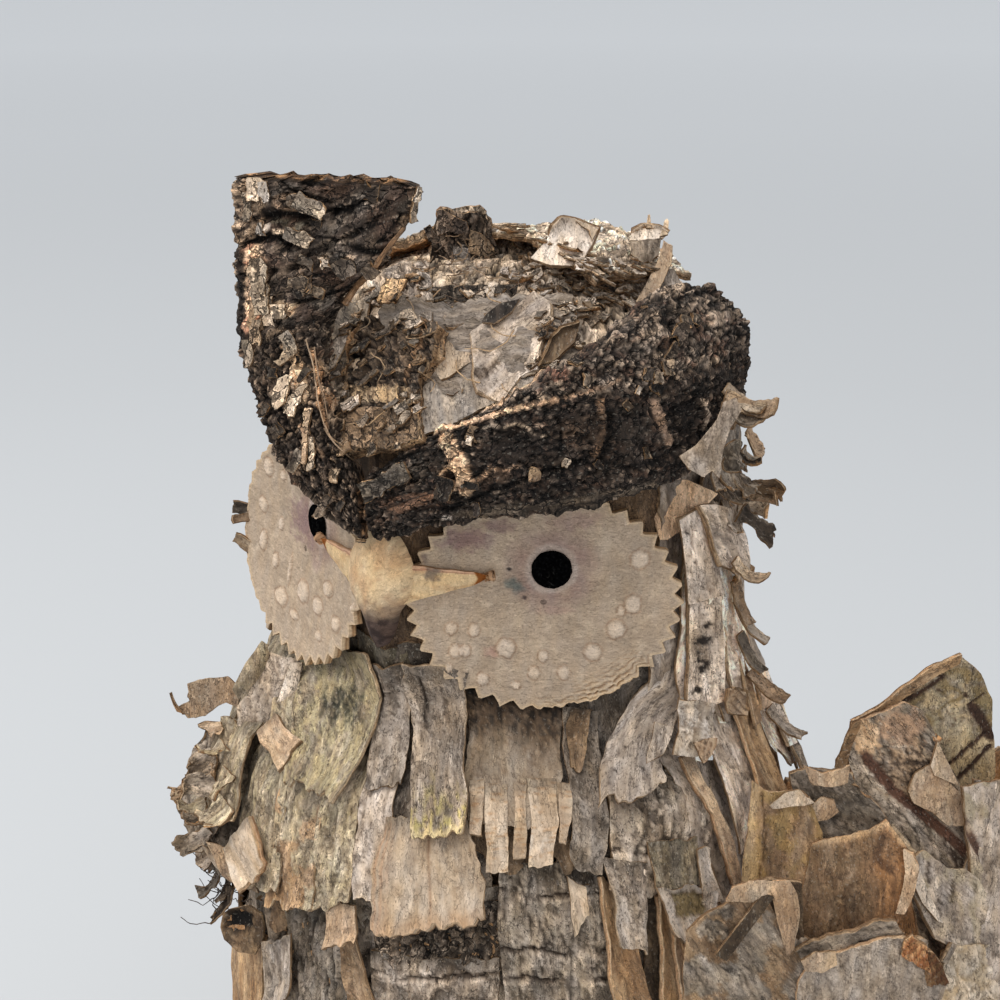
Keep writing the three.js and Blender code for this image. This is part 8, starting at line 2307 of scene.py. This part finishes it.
curl_at(bits, 448, 480, B2, (0.3, 1), w=5.0, l=6, kind="dark", seed=3245, pitch=6, roll=30, tone=0.6, taper=0.7, lift=1.8, jag=0.8, res=0.6)
curl_at(bits, 405, 470, B2, (0.9, 0.4), w=5.0, l=16, kind="weathered", seed=3246, pitch=4, roll=14, tone=0.62, lift=0.8, res=0.7)
curl_at(bits, 391, 472, B2, (0.3, 1), w=2.6, l=3.4, kind="pale", seed=3247, pitch=4, roll=14, tone=0.95, lift=1.2, res=0.6)
bits.make("left_brow_chips", "rough_bark")
lines = Bag()


def fibre(bag, names, pts, r0, r1, color, seed, lift=0.8, wob=0.6):
    q = []
    for p_ in pts:
        a, n = on(names, p_[0], p_[1])
        q.append(a + n * (lift + (p_[2] if len(p_) > 2 else 0)))
    thread(bag, np.array(q), r0, r1, 5, color, seed, wob)


fibre(lines, B1, [(341, 306), (356, 288), (372, 268), (388, 248), (402, 228)], 1.1, 0.6, (128, 104, 80), 3301, 1.2, 0.3)
for k, (dx, dy) in enumerate(((0, 0), (4, 5))):
    fibre(lines, B1, [(310 + dx, 342 + dy), (315 + dx, 372 + dy), (319 + dx, 400 + dy), (325 + dx, 425 + dy)], 0.26, 0.15, ((170, 154, 134), (150, 132, 112), (206, 184, 152), (160, 124, 92))[k], 3302 + k, 1.0, 0.5)
    fibre(lines, ["body", "right_brow"], [(322 + dx, 424 + dy), (333 + dx, 440 + dy), (345 + dx, 450 + dy), (359 + dx, 458 + dy)], 0.26, 0.15, ((166, 146, 122), (156, 138, 116), (176, 134, 96), (204, 178, 144))[k], 3312 + k, 1.0, 0.4)
for k in range(26):
    rg = np.random.default_rng(3330 + k)
    x0, y0 = 425 + 95 * rg.random(), 225 + 75 * rg.random()
    a = rg.random() * 3.14
    names = ["crown_scrap_bark_0", "crown_dark_shelf_0", "crown_scales", "body"]
    ln = 10 + 22 * rg.random()
    q = [(x0 + ln * math.cos(a + 0.5 * j) * j / 2, y0 + ln * math.sin(a + 0.5 * j) * j / 3) for j in range(4)]
    fibre(lines, names, q, 0.22, 0.12, (150, 132, 110) if k % 2 else (96, 82, 70), 3360 + k, 1.2, 1.4)
for k in range(16):
    rg = np.random.default_rng(3430 + k)
    x0, y0 = 330 + 200 * rg.random(), 300 + 110 * rg.random()
    a = rg.random() * 3.14
    ln = 12 + 24 * rg.random()
    q = [(x0 + ln * math.cos(a + 0.35 * j) * j / 2, y0 + ln * math.sin(a + 0.35 * j) * j / 3) for j in range(4)]
    fibre(lines, ["crown_block_bark_0", "crown_pale_strip_1", "forehead_paper", "body"], q, 0.2, 0.12, (170, 150, 122), 3460 + k, 1.4, 1.2)
lines.make("crown_fibres", "tan_bark")


# ------------------------------------------------------------------ beside the disc and on the right outline
def spotted(col, h, x, y, um, vm, edge):
    for i, (cx, cy, rx, ry) in enumerate(((704, 642, 6, 8), (705, 666, 6, 7), (699, 655, 3, 5), (708, 625, 4, 3), (699, 690, 5, 4))):
        m = blob(x, y, cx, cy, rx, ry, 331 + i, 0.9, 0.4)
        col = mixc(col, np.array([34, 30, 27.0]), m)
        h = h - 0.5 * m
    return col, h


def two_dots(col, h, x, y, um, vm, edge):
    for i, (cx, cy, r) in enumerate(((687, 533, 2.8), (695, 563, 2.6), (690, 548, 1.2), (684, 580, 1.2))):
        col = mixc(col, np.array([46, 40, 36.0]), blob(x, y, cx, cy, r, r * 0.8, 341 + i, 0.5, 0.4))
    g = ss(0.05, 0.015, np.abs(n2(x / 9, y / 70, 345)))
    col = mixc(col, np.array([112, 100, 90.0]), g * 0.6)
    return col, h - 0.4 * g


def laminated(col, h, x, y, um, vm, edge):
    lines = np.sin((x + 0.25 * y + 3 * n2(x / 20, y / 40, 346)) * 1.25)
    col = mixc(col, np.array([96, 74, 54.0]), ss(0.3, 1.0, lines) * 0.8)
    return col, h + 0.3 * lines


def traced(name, kind, corners, seed, **kw):
    bag = Bag()
    cut(bag, [corners[0], corners[1]], [corners[3], corners[2]], kind=kind, seed=seed, keep_as=name, **kw)
    bag.make(name, SLOT[kind])


traced("pale_strip_beside_disc", "pale", [(680, 520, 8.0), (702, 508, 8.0), (726, 594, 9.5), (690, 606, 9.5)], 3501, feature=two_dots, relief=0.35, peel=0.1, tone=1.18, t=1.6, bulge=1.4, curl=(0, 1.0, 0, 0))
traced("spotted_strip", "grey", [(690, 598, 7.0), (722, 594, 8.0), (726, 700, 12.5), (688, 716, 12.0)], 3502, feature=spotted, relief=0.8, tone=1.28, t=1.5, peel=0.5)
traced("pale_strip_outer", "pale", [(702, 505, 9.0), (736, 508, 8.5), (758, 575, 9.0), (722, 566, 11.0)], 3503, relief=1.0, tone=1.15, t=1.8, jag=1.8, curl=(0, 0.4, 0, 0.8), turn=-20)
traced("white_block", "white", [(680, 700, 14.0), (716, 702, 14.0), (708, 758, 16.5), (676, 752, 16.0)], 3504, relief=1.3, scaly=0.8, size=(3, 3), tone=0.92, t=1.6, jag=1.8)
traced("grey_flap_low", "grey", [(655, 722, 15.0), (674, 728, 15.5), (664, 754, 17.5), (646, 762, 17.0)], 3505, relief=0.3, peel=0.1, tone=0.98, t=0.9, jag=0.6)
traced("laminated_scrap", "tan", [(694, 742, 17.0), (716, 738, 17.0), (712, 756, 18.0), (704, 764, 18.0)], 3506, feature=laminated, relief=0.4, peel=0.1, tone=0.95, t=1.4, jag=0.8)
traced("laminated_top", "tan", [(727, 688, 15.0), (744, 690, 15.5), (748, 716, 16.5), (730, 712, 16.0)], 3507, feature=laminated, relief=0.5, peel=0.2, tone=0.85, t=1.4, jag=1.2)
for i, (x0, y0, x1, y1, w, kind, tone_) in enumerate(((722, 572, 738, 690, 9, "grey", 0.95), (732, 566, 752, 700, 8, "pale", 1.0), (742, 590, 768, 704, 8, "tan", 0.85), (748, 612, 780, 716, 7, "grey", 0.9),
                                                     (752, 636, 794, 742, 7, "pale", 0.95), (740, 650, 760, 720, 5, "brown", 0.8), (758, 660, 808, 768, 6, "weathered", 0.85))):
    traced(f"right_outline_strip_{i + 1}", kind, [(x0 - w / 2, y0, 6.0 + i * 0.8), (x0 + w / 2, y0, 6.0 + i * 0.8), (x1 + w / 2, y1, 12.0 + i * 0.9), (x1 - w / 2, y1 + 4, 12.0 + i * 0.9)], 3510 + i,
        tone=tone_ * 1.42, relief=0.8, t=1.4, jag=0.9, bulge=-0.6, rim="pale")

side = Bag()
pl = (on(["neck_2", "neck_1", "body"], 690, 500)[0] + TOWARD * 4, unit(TOWARD + RIGHT * 0.25))
cut(side, plane=pl, top=flat([(645, 487), (660, 478), (688, 480), (718, 494)]), right=flat([(706, 506), (692, 520)]), bottom=flat([(660, 540), (668, 540), (680, 532)]), left=flat([(650, 503), (655, 522)]),
    kind="tan", seed=3521, t=1.2, tone=1.22, relief=0.5, peel=0.3, lenticels=1.0, rim="orange", jag=0.4)
pl = (on(B2, 700, 430)[0] + TOWARD * 3, unit(TOWARD + RIGHT * 0.4 - UP * 0.1))
cut(side, plane=pl, top=flat([(724, 402), (736, 398), (742, 410)]), right=flat([(730, 428), (724, 448)]), bottom=flat([(690, 470), (704, 478), (712, 470), (720, 478)]), left=flat([(716, 420), (696, 445), (680, 456)]),
    kind="grey", seed=3522, t=1.0, tone=1.05, relief=0.6, peel=0.4, jag=0.5, bulge=1.5)
side.make("flaps_beside_disc", "tan_bark")


def curly(bag, px, py, names, up_px, w, l, kind, seed, pitch, roll=0, tone=1.0, push=0.0, spin=0, **kw):
    """A curled scrap whose foot winds up."""
    a, n = on(names, px, py)
    up = RIGHT * up_px[0] + UP * up_px[1]
    n2_ = unit(n + TOWARD * 0.3)
    leaf(bag, a + n2_ * push, n2_, up, w, l, kind=kind, seed=seed, pitch=pitch, roll=roll, tone=tone, spin=spin, **{**dict(anchor=0.0, power=1.2, t=0.8, jag=0.8, res=0.6, relief=0.6), **kw})


E = ["pale_strip_outer", *[f"right_outline_strip_{i + 1}" for i in range(7)], "neck_pale_2", "neck_pale_3", "neck_2", "body", "left_brow"]
roll_ = Bag()
curly(roll_, 722, 396, B2, (-0.95, 0.3), 5.0, 17, "tan", 3531, 120, 20, 0.85, 0.5)
curly(roll_, 722, 388, B2, (-0.8, 0.6), 4.0, 13, "cream", 3532, 90, 20, 0.8, 0.5)
curly(roll_, 728, 402, B2, (-0.6, 0.8), 4.6, 12, "grey", 3533, 100, 30, 0.8, 0.0)
for k, (px, py, ux, uy, w, l, kind, pitch, tone_) in enumerate((
        (730, 440, -0.5, 0.8, 7, 12, "weathered", 70, 0.7), (736, 446, -0.8, 0.5, 6, 11, "dark", 100, 0.9), (724, 455, -0.2, 1, 8, 13, "weathered", 60, 0.8), (732, 465, -0.6, 0.8, 7, 12, "grey", 80, 0.7),
        (738, 470, -0.8, 0.6, 6, 11, "weathered", 110, 0.9), (726, 478, -0.3, 1, 8, 13, "rough", 50, 0.9), (736, 486, -0.7, 0.7, 7, 12, "weathered", 80, 0.75), (745, 492, -0.9, 0.4, 6, 12, "brown", 100, 0.7),
        (742, 505, -0.7, 0.7, 7, 13, "rough", 70, 0.8), (750, 512, -0.8, 0.6, 6, 11, "weathered", 120, 0.7), (728, 498, -0.4, 0.9, 7, 12, "grey", 60, 0.8), (716, 462, 0.2, 1, 6, 11, "grey", 50, 0.85),
        (748, 430, -0.7, 0.7, 5, 9, "tan", 130, 0.85), (744, 448, -0.8, 0.4, 4, 8, "weathered", 140, 0.8), (755, 520, -0.6, 0.8, 5, 8, "dark", 90, 0.8))):
    rg = np.random.default_rng(3950 + k)
    curly(roll_, px - 6, py, E, (ux, uy + 0.8 * (rg.random() - 0.5)), w * (0.9 + 0.6 * rg.random()), l * (0.6 + 0.5 * rg.random()), kind, 3540 + k, pitch * (0.3 + 0.8 * rg.random()), 60 * (rg.random() - 0.3), tone_ * 1.15,
          2.0, chip=True, jag=1.7, wave=1.6)
curly(roll_, 738, 500, E, (-0.98, -0.1), 4.2, 15, "tan", 3561, 150, 10, 0.95, 0.8, power=1.8)
curly(roll_, 738, 505, E, (-0.98, 0.1), 3.6, 12, "cream", 3562, 170, 10, 0.85, 0.8, power=1.8)
curly(roll_, 734, 560, E, (-0.7, 0.6), 3.4, 13, "cream", 3563, 130, 10, 1.0, 0.8)
curly(roll_, 733, 566, E, (-0.8, 0.3), 3.0, 14, "tan", 3564, -60, 10, 1.0, 0.8)
curly(roll_, 731, 578, E, (-0.4, 0.9), 4.0, 14, "tan", 3565, 40, 30, 0.8, 0.6)
curly(roll_, 736, 600, E, (-0.5, 0.8), 4.0, 16, "grey", 3566, 60, 30, 0.85, 0.6)
curly(roll_, 740, 632, E, (-0.5, 0.8), 4.0, 14, "weathered", 3567, 50, 30, 0.8, 0.6)
curly(roll_, 752, 670, E, (-0.6, 0.8), 5.0, 14, "tan", 3568, 60, 30, 0.85, 0.6)
curly(roll_, 768, 708, E, (-0.6, 0.8), 5.0, 14, "grey", 3569, 60, 30, 0.85, 0.6)
roll_.make("curls_on_right_outline", "grey_bark")

# ------------------------------------------------------------------ curls and scraps on the left outline
def left_plane(px, py, push=4.0, lean=0.0):
    return on(["mantle_1", "olive_strip_far", "olive_strip_1", "body"], px, py)[0] + TOWARD * push, unit(TOWARD - RIGHT * 0.35 + UP * lean)


LO = ["mantle_1", "mantle_2", "flank_0", "body"]
edge_l = Bag()
LS = ["left_outline_a", "left_outline_b", "olive_strip_far", "mantle_1", "flank_0", "body"]
pl = left_plane(262, 690, 4)
cut(edge_l, plane=pl, top=flat([(172, 692), (176, 708), (190, 701), (187, 684), (205, 678), (228, 676), (240, 690)]), bottom=flat([(176, 703), (188, 719), (206, 715), (216, 706), (226, 702), (238, 708)]), kind="tan", seed=3601, t=0.9,
    tone=0.82, relief=0.5, peel=0.3, jag=0.4, curl=(0, 0, 0, 2.0), wave=1.6)
cut(edge_l, plane=pl, top=flat([(232, 690), (246, 662), (262, 640), (268, 645)], 3.0), bottom=flat([(238, 700), (254, 684), (266, 668), (270, 655)], 3.0), kind="olive", seed=3602, t=1.2, tone=1.08, relief=0.4, peel=0.2, bulge=3.0, jag=0.4, rim="pale")
cut(edge_l, plane=pl, top=flat([(266, 652), (276, 654), (300, 660), (303, 672)], 2.5), right=flat([(298, 695), (284, 716)], 3.5), bottom=flat([(238, 725), (248, 731), (262, 726), (272, 724)], 4.0), left=flat([(250, 690), (236, 708)], 3.0),
    kind="grey", seed=3603, t=1.4, tone=1.06, relief=0.9, peel=0.8, bulge=2.0, jag=0.8, rim="pale")
cut(edge_l, plane=pl, top=flat([(290, 662), (302, 662)], 6.0), bottom=flat([(268, 722), (282, 712)], 7.0), right=flat([(298, 690)], 6.5), left=flat([(280, 694)], 6.5), kind="white", seed=3604, t=0.9, tone=0.9, relief=0.3, peel=0.1, bulge=1.0, jag=0.3)
cut(edge_l, plane=pl, top=flat([(222, 716), (240, 722), (262, 728)], 1.0), bottom=flat([(190, 800), (225, 815), (248, 790)], 2.0), left=flat([(205, 755)], 1.0), right=flat([(262, 760)], 2.0), kind="olive", seed=3605, t=1.6, tone=1.02, relief=1.1, jag=1.4, bulge=1.5, keep_as="left_outline_a")
cut(edge_l, plane=pl, top=flat([(205, 728), (215, 722), (230, 730)], 0.0), bottom=flat([(184, 828), (206, 842), (228, 812)], 1.0), left=flat([(190, 760), (178, 790)], 0.5), right=flat([(234, 770)], 1.0), kind="weathered", seed=3606, t=1.8, tone=0.95, relief=1.3, jag=2.4,
    bulge=1.5, keep_as="left_outline_b")
cut(edge_l, plane=pl, top=flat([(196, 800), (215, 790), (250, 800)], -2.0), bottom=flat([(214, 868), (240, 888), (262, 884)], -1.0), left=flat([(200, 835)], -2.0), right=flat([(264, 840)], -1.0), kind="weathered", seed=3607, t=1.8,
    tone=0.7, relief=1.2, jag=2.0)
edge_l.make("left_outline_sheets", "olive_bark")
rolls = Bag()
for k, (px, py, ux, uy, w, l, kind, pitch, tone_) in enumerate((
        (226, 742, 0.8, 0.5, 9, 13, "olive", 100, 0.95), (220, 756, 0.8, 0.2, 8, 12, "weathered", 120, 0.9), (212, 768, 0.9, 0.3, 9, 15, "tan", 130, 0.75), (206, 780, 0.9, 0.1, 7, 13, "weathered", 140, 0.8),
        (216, 790, 0.8, -0.1, 8, 12, "weathered", 100, 0.95), (210, 800, 0.9, 0.3, 8, 12, "olive", 120, 0.85), (218, 812, 0.8, 0.4, 8, 12, "weathered", 100, 0.8), (212, 824, 0.8, 0.6, 8, 11, "weathered", 120, 0.85),
        (226, 832, 0.5, 0.8, 7, 11, "grey", 80, 0.85), (230, 770, 0.6, 0.7, 9, 12, "olive", 60, 1.0), (232, 800, 0.6, 0.7, 9, 12, "olive", 50, 0.95), (206, 836, 0.7, 0.7, 5, 10, "weathered", 90, 0.8),
        (224, 728, 0.7, 0.6, 6, 9, "tan", 80, 0.85), (218, 846, 0.6, 0.8, 5, 9, "grey", 70, 0.8))):
    rg = np.random.default_rng(3900 + k)
    curly(rolls, px - 4 + 8 * rg.random(), py + 8 * rg.random() - 4, LS, (ux, uy + 0.8 * (rg.random() - 0.5)), w * (0.8 + 0.7 * rg.random()), l * (0.6 + 0.5 * rg.random()), kind, 3620 + k, pitch * (0.4 + 0.8 * rg.random()),
          60 * (rg.random() - 0.3), tone_ * 1.22, 0.8, chip=True, jag=1.7, wave=1.6)
for k, (px, py, ux, uy, w, l, kind, pitch, tone_) in enumerate((
        (234, 868, 0.4, 0.9, 9, 14, "rough", 50, 1.0), (222, 872, 0.7, 0.7, 7, 12, "rough", 80, 0.9), (246, 872, 0.1, 1, 8, 14, "weathered", 40, 0.6), (228, 888, 0.6, 0.8, 8, 13, "rough", 70, 0.9), (244, 892, 0.2, 1, 8, 13, "rough", 50, 1.0),
        (214, 868, 0.8, 0.6, 6, 12, "weathered", 110, 0.6), (256, 890, 0, 1, 7, 12, "brown", 30, 0.6))):
    curly(rolls, px + 12, py, LS + ["flank_fibres"], (ux, uy), w, l, kind, 3640 + k, pitch * 0.6, 30, tone_, 1.5, chip=True, jag=1.7, wave=1.6)
rolls.make("curls_on_left_outline", "grey_bark")
dk = Bag()
pl = left_plane(262, 920, 8)
cut(dk, plane=pl, top=flat([(222, 914), (232, 908), (248, 906), (260, 914)], 3.0), bottom=flat([(224, 940), (238, 952), (254, 956), (262, 940)], 3.0), left=flat([(220, 926)], 3.0), right=flat([(263, 928)], 3.0), kind="brown", seed=3661, t=1.4, tone=0.75, relief=0.6,
    jag=0.4, rim="pale", feature=lambda c, h, x, y, um, vm, e: (mixc(c, np.array([18, 14, 11.0]), blob(x, y, 238, 922, 15, 12, 3662, 0.2)), h - 2.5 * blob(x, y, 238, 922, 15, 12, 3662, 0.2)))
cut(dk, plane=pl, top=flat([(206, 842), (230, 850), (262, 868)], 5.0), bottom=flat([(222, 876), (240, 888), (264, 884)], 6.0), kind="tan", seed=3663, t=0.9, tone=0.9, relief=0.3, jag=0.4, rim="orange")
cut(dk, plane=pl, top=flat([(202, 846), (226, 858), (252, 880)], 3.0), bottom=flat([(214, 866), (236, 886), (258, 893)], 3.0), kind="cream", seed=3664, t=0.9, tone=0.8, relief=0.3, jag=0.4, rim="orange")
cut(dk, plane=pl, top=flat([(262, 942), (276, 938), (291, 944)], 5.0), bottom=flat([(266, 998), (280, 1004), (290, 984)], 6.0), kind="grey", seed=3665, t=1.2, tone=0.86, relief=0.7, jag=0.8, bulge=2.0)
cut(dk, plane=pl, top=flat([(264, 898), (282, 892), (290, 905)], 5.0), bottom=flat([(268, 936), (276, 940), (284, 926)], 6.0), kind="rough", seed=3666, t=1.2, tone=0.9, relief=1.0, jag=0.8, bulge=2.0)
cut(dk, plane=pl, top=flat([(273, 900), (282, 898), (292, 915)], 7.0), bottom=flat([(268, 926), (276, 934), (284, 930)], 8.0), kind="brown", seed=3667, t=1.2, tone=0.85, relief=1.0, jag=0.8, bulge=1.0)
dk.make("scraps_on_left_flank", "tan_bark")

DISC_L = ["right_face_disc"]
hooks = Bag()
curly(hooks, 252, 511, DISC_L, (0.95, -0.1), 4.0, 7.5, "weathered", 3671, 60, 50, 0.55, -2.0)
curly(hooks, 252, 513, DISC_L, (0.9, 0.3), 2.4, 8.0, "tan", 3672, 110, 40, 0.7, -2.0)
curly(hooks, 252, 552, DISC_L, (0.95, -0.35), 4.0, 9.0, "tan", 3673, 40, 60, 0.75, -2.0)
curly(hooks, 252, 556, DISC_L, (0.9, -0.2), 3.0, 9.0, "weathered", 3674, -30, 60, 0.7, -2.0)
hooks.make("curls_behind_right_disc", "tan_bark")
wires = Bag()
for k in range(22):
    rg = np.random.default_rng(3700 + k)
    x0, y0 = 222 + 40 * rg.random(), 862 + 50 * rg.random()
    a = 1.2 + 2.4 * rg.random()
    ln = 14 + 22 * rg.random()
    q = [(x0 + ln * math.cos(a + 0.5 * j) * j / 3, y0 + ln * math.sin(a + 0.5 * j) * j / 3) for j in range(4)]
    fibre(wires, LS + ["flank_fibres"], q, 0.2, 0.12, (70, 58, 48), 3730 + k, 2.0, 1.4)
wires.make("loose_fibres", "tan_bark")


# ------------------------------------------------------------------ floor and light
# the floor is painted darker near the figure and lighter far off: painted shade that evens out the pool of light from
# the lamps
FLOOR_PAINTED_SHADE = [0.565, 0.565, 0.60, 0.66, 0.735]
def plain(name, rgb, rough):
    m = bpy.data.materials.new(name)
    m.use_nodes = True
    b = m.node_tree.nodes["Principled BSDF"]
    b.inputs["Base Color"].default_value = (*rgb, 1)
    b.inputs["Roughness"].default_value = rough
    b.inputs["Specular IOR Level"].default_value = 0.1
    return m


radii, around_ = [0.3, 0.6, 0.9, 1.2, 1.5, 1.8, 2.2, 2.6, 3.0, 3.5, 4.0, 5.0, 7.0, 10.0, 16.0], 48
ring_pts = [(0, 0, 0)] + [(r * math.cos(2 * math.pi * k / around_), r * math.sin(2 * math.pi * k / around_), 0) for r in radii for k in range(around_)]
faces = [(0, 1 + k, 1 + (k + 1) % around_) for k in range(around_)]
for j in range(len(radii) - 1):
    for k in range(around_):
        a0, a1 = 1 + j * around_ + k, 1 + j * around_ + (k + 1) % around_
        faces.append((a0, a0 + around_, a1 + around_, a1))
me = bpy.data.meshes.new("floor")
me.from_pydata(ring_pts, [], faces)
paper = plain("floor_paper", (0.6, 0.6, 0.6), 0.9)
shade = me.attributes.new("Col", "FLOAT_COLOR", "POINT")
rr = np.hypot([q[0] for q in ring_pts], [q[1] for q in ring_pts])
tone = np.interp(rr, [0, 1.2, 2.0, 3.0, 5.0], FLOOR_PAINTED_SHADE)
rgba = np.ones((len(ring_pts), 4), np.float32)
rgba[:, :3] = tone[:, None] * np.array([0.975, 1.0, 1.018])
shade.data.foreach_set("color", rgba.ravel())
node = paper.node_tree.nodes.new("ShaderNodeAttribute")
node.attribute_name = "Col"
paper.node_tree.links.new(node.outputs["Color"], paper.node_tree.nodes["Principled BSDF"].inputs["Base Color"])
me.materials.append(paper)
floor = bpy.data.objects.new("floor", me)
bpy.context.scene.collection.objects.link(floor)

world = bpy.data.worlds.new("studio")
bpy.context.scene.world = world
world.use_nodes = True
bg = world.node_tree.nodes["Background"]
bg.inputs["Color"].default_value = (0.95, 0.97, 1.0, 1)
bg.inputs["Strength"].default_value = 0.83


def softbox(name, loc, target, size, power, color=(1, 1, 1)):
    d = bpy.data.lights.new(name, "AREA")
    d.shape = "RECTANGLE"
    d.size, d.size_y = size
    d.energy = power
    d.color = color
    o = bpy.data.objects.new(name, d)
    bpy.context.scene.collection.objects.link(o)
    o.location = loc
    o.rotation_euler = (Vector(target) - Vector(loc)).to_track_quat("-Z", "Y").to_euler()
    return o


softbox("overhead", (-0.5, -0.9, 2.0), (0, 0, 0.25), (1.6, 1.6), 33, (1.0, 0.985, 0.96))
softbox("fill", (1.9, -1.3, 1.1), (0, 0, 0.28), (1.2, 1.2), 5, (0.97, 0.985, 1.0))

bpy.context.scene.view_settings.view_transform = "Standard"
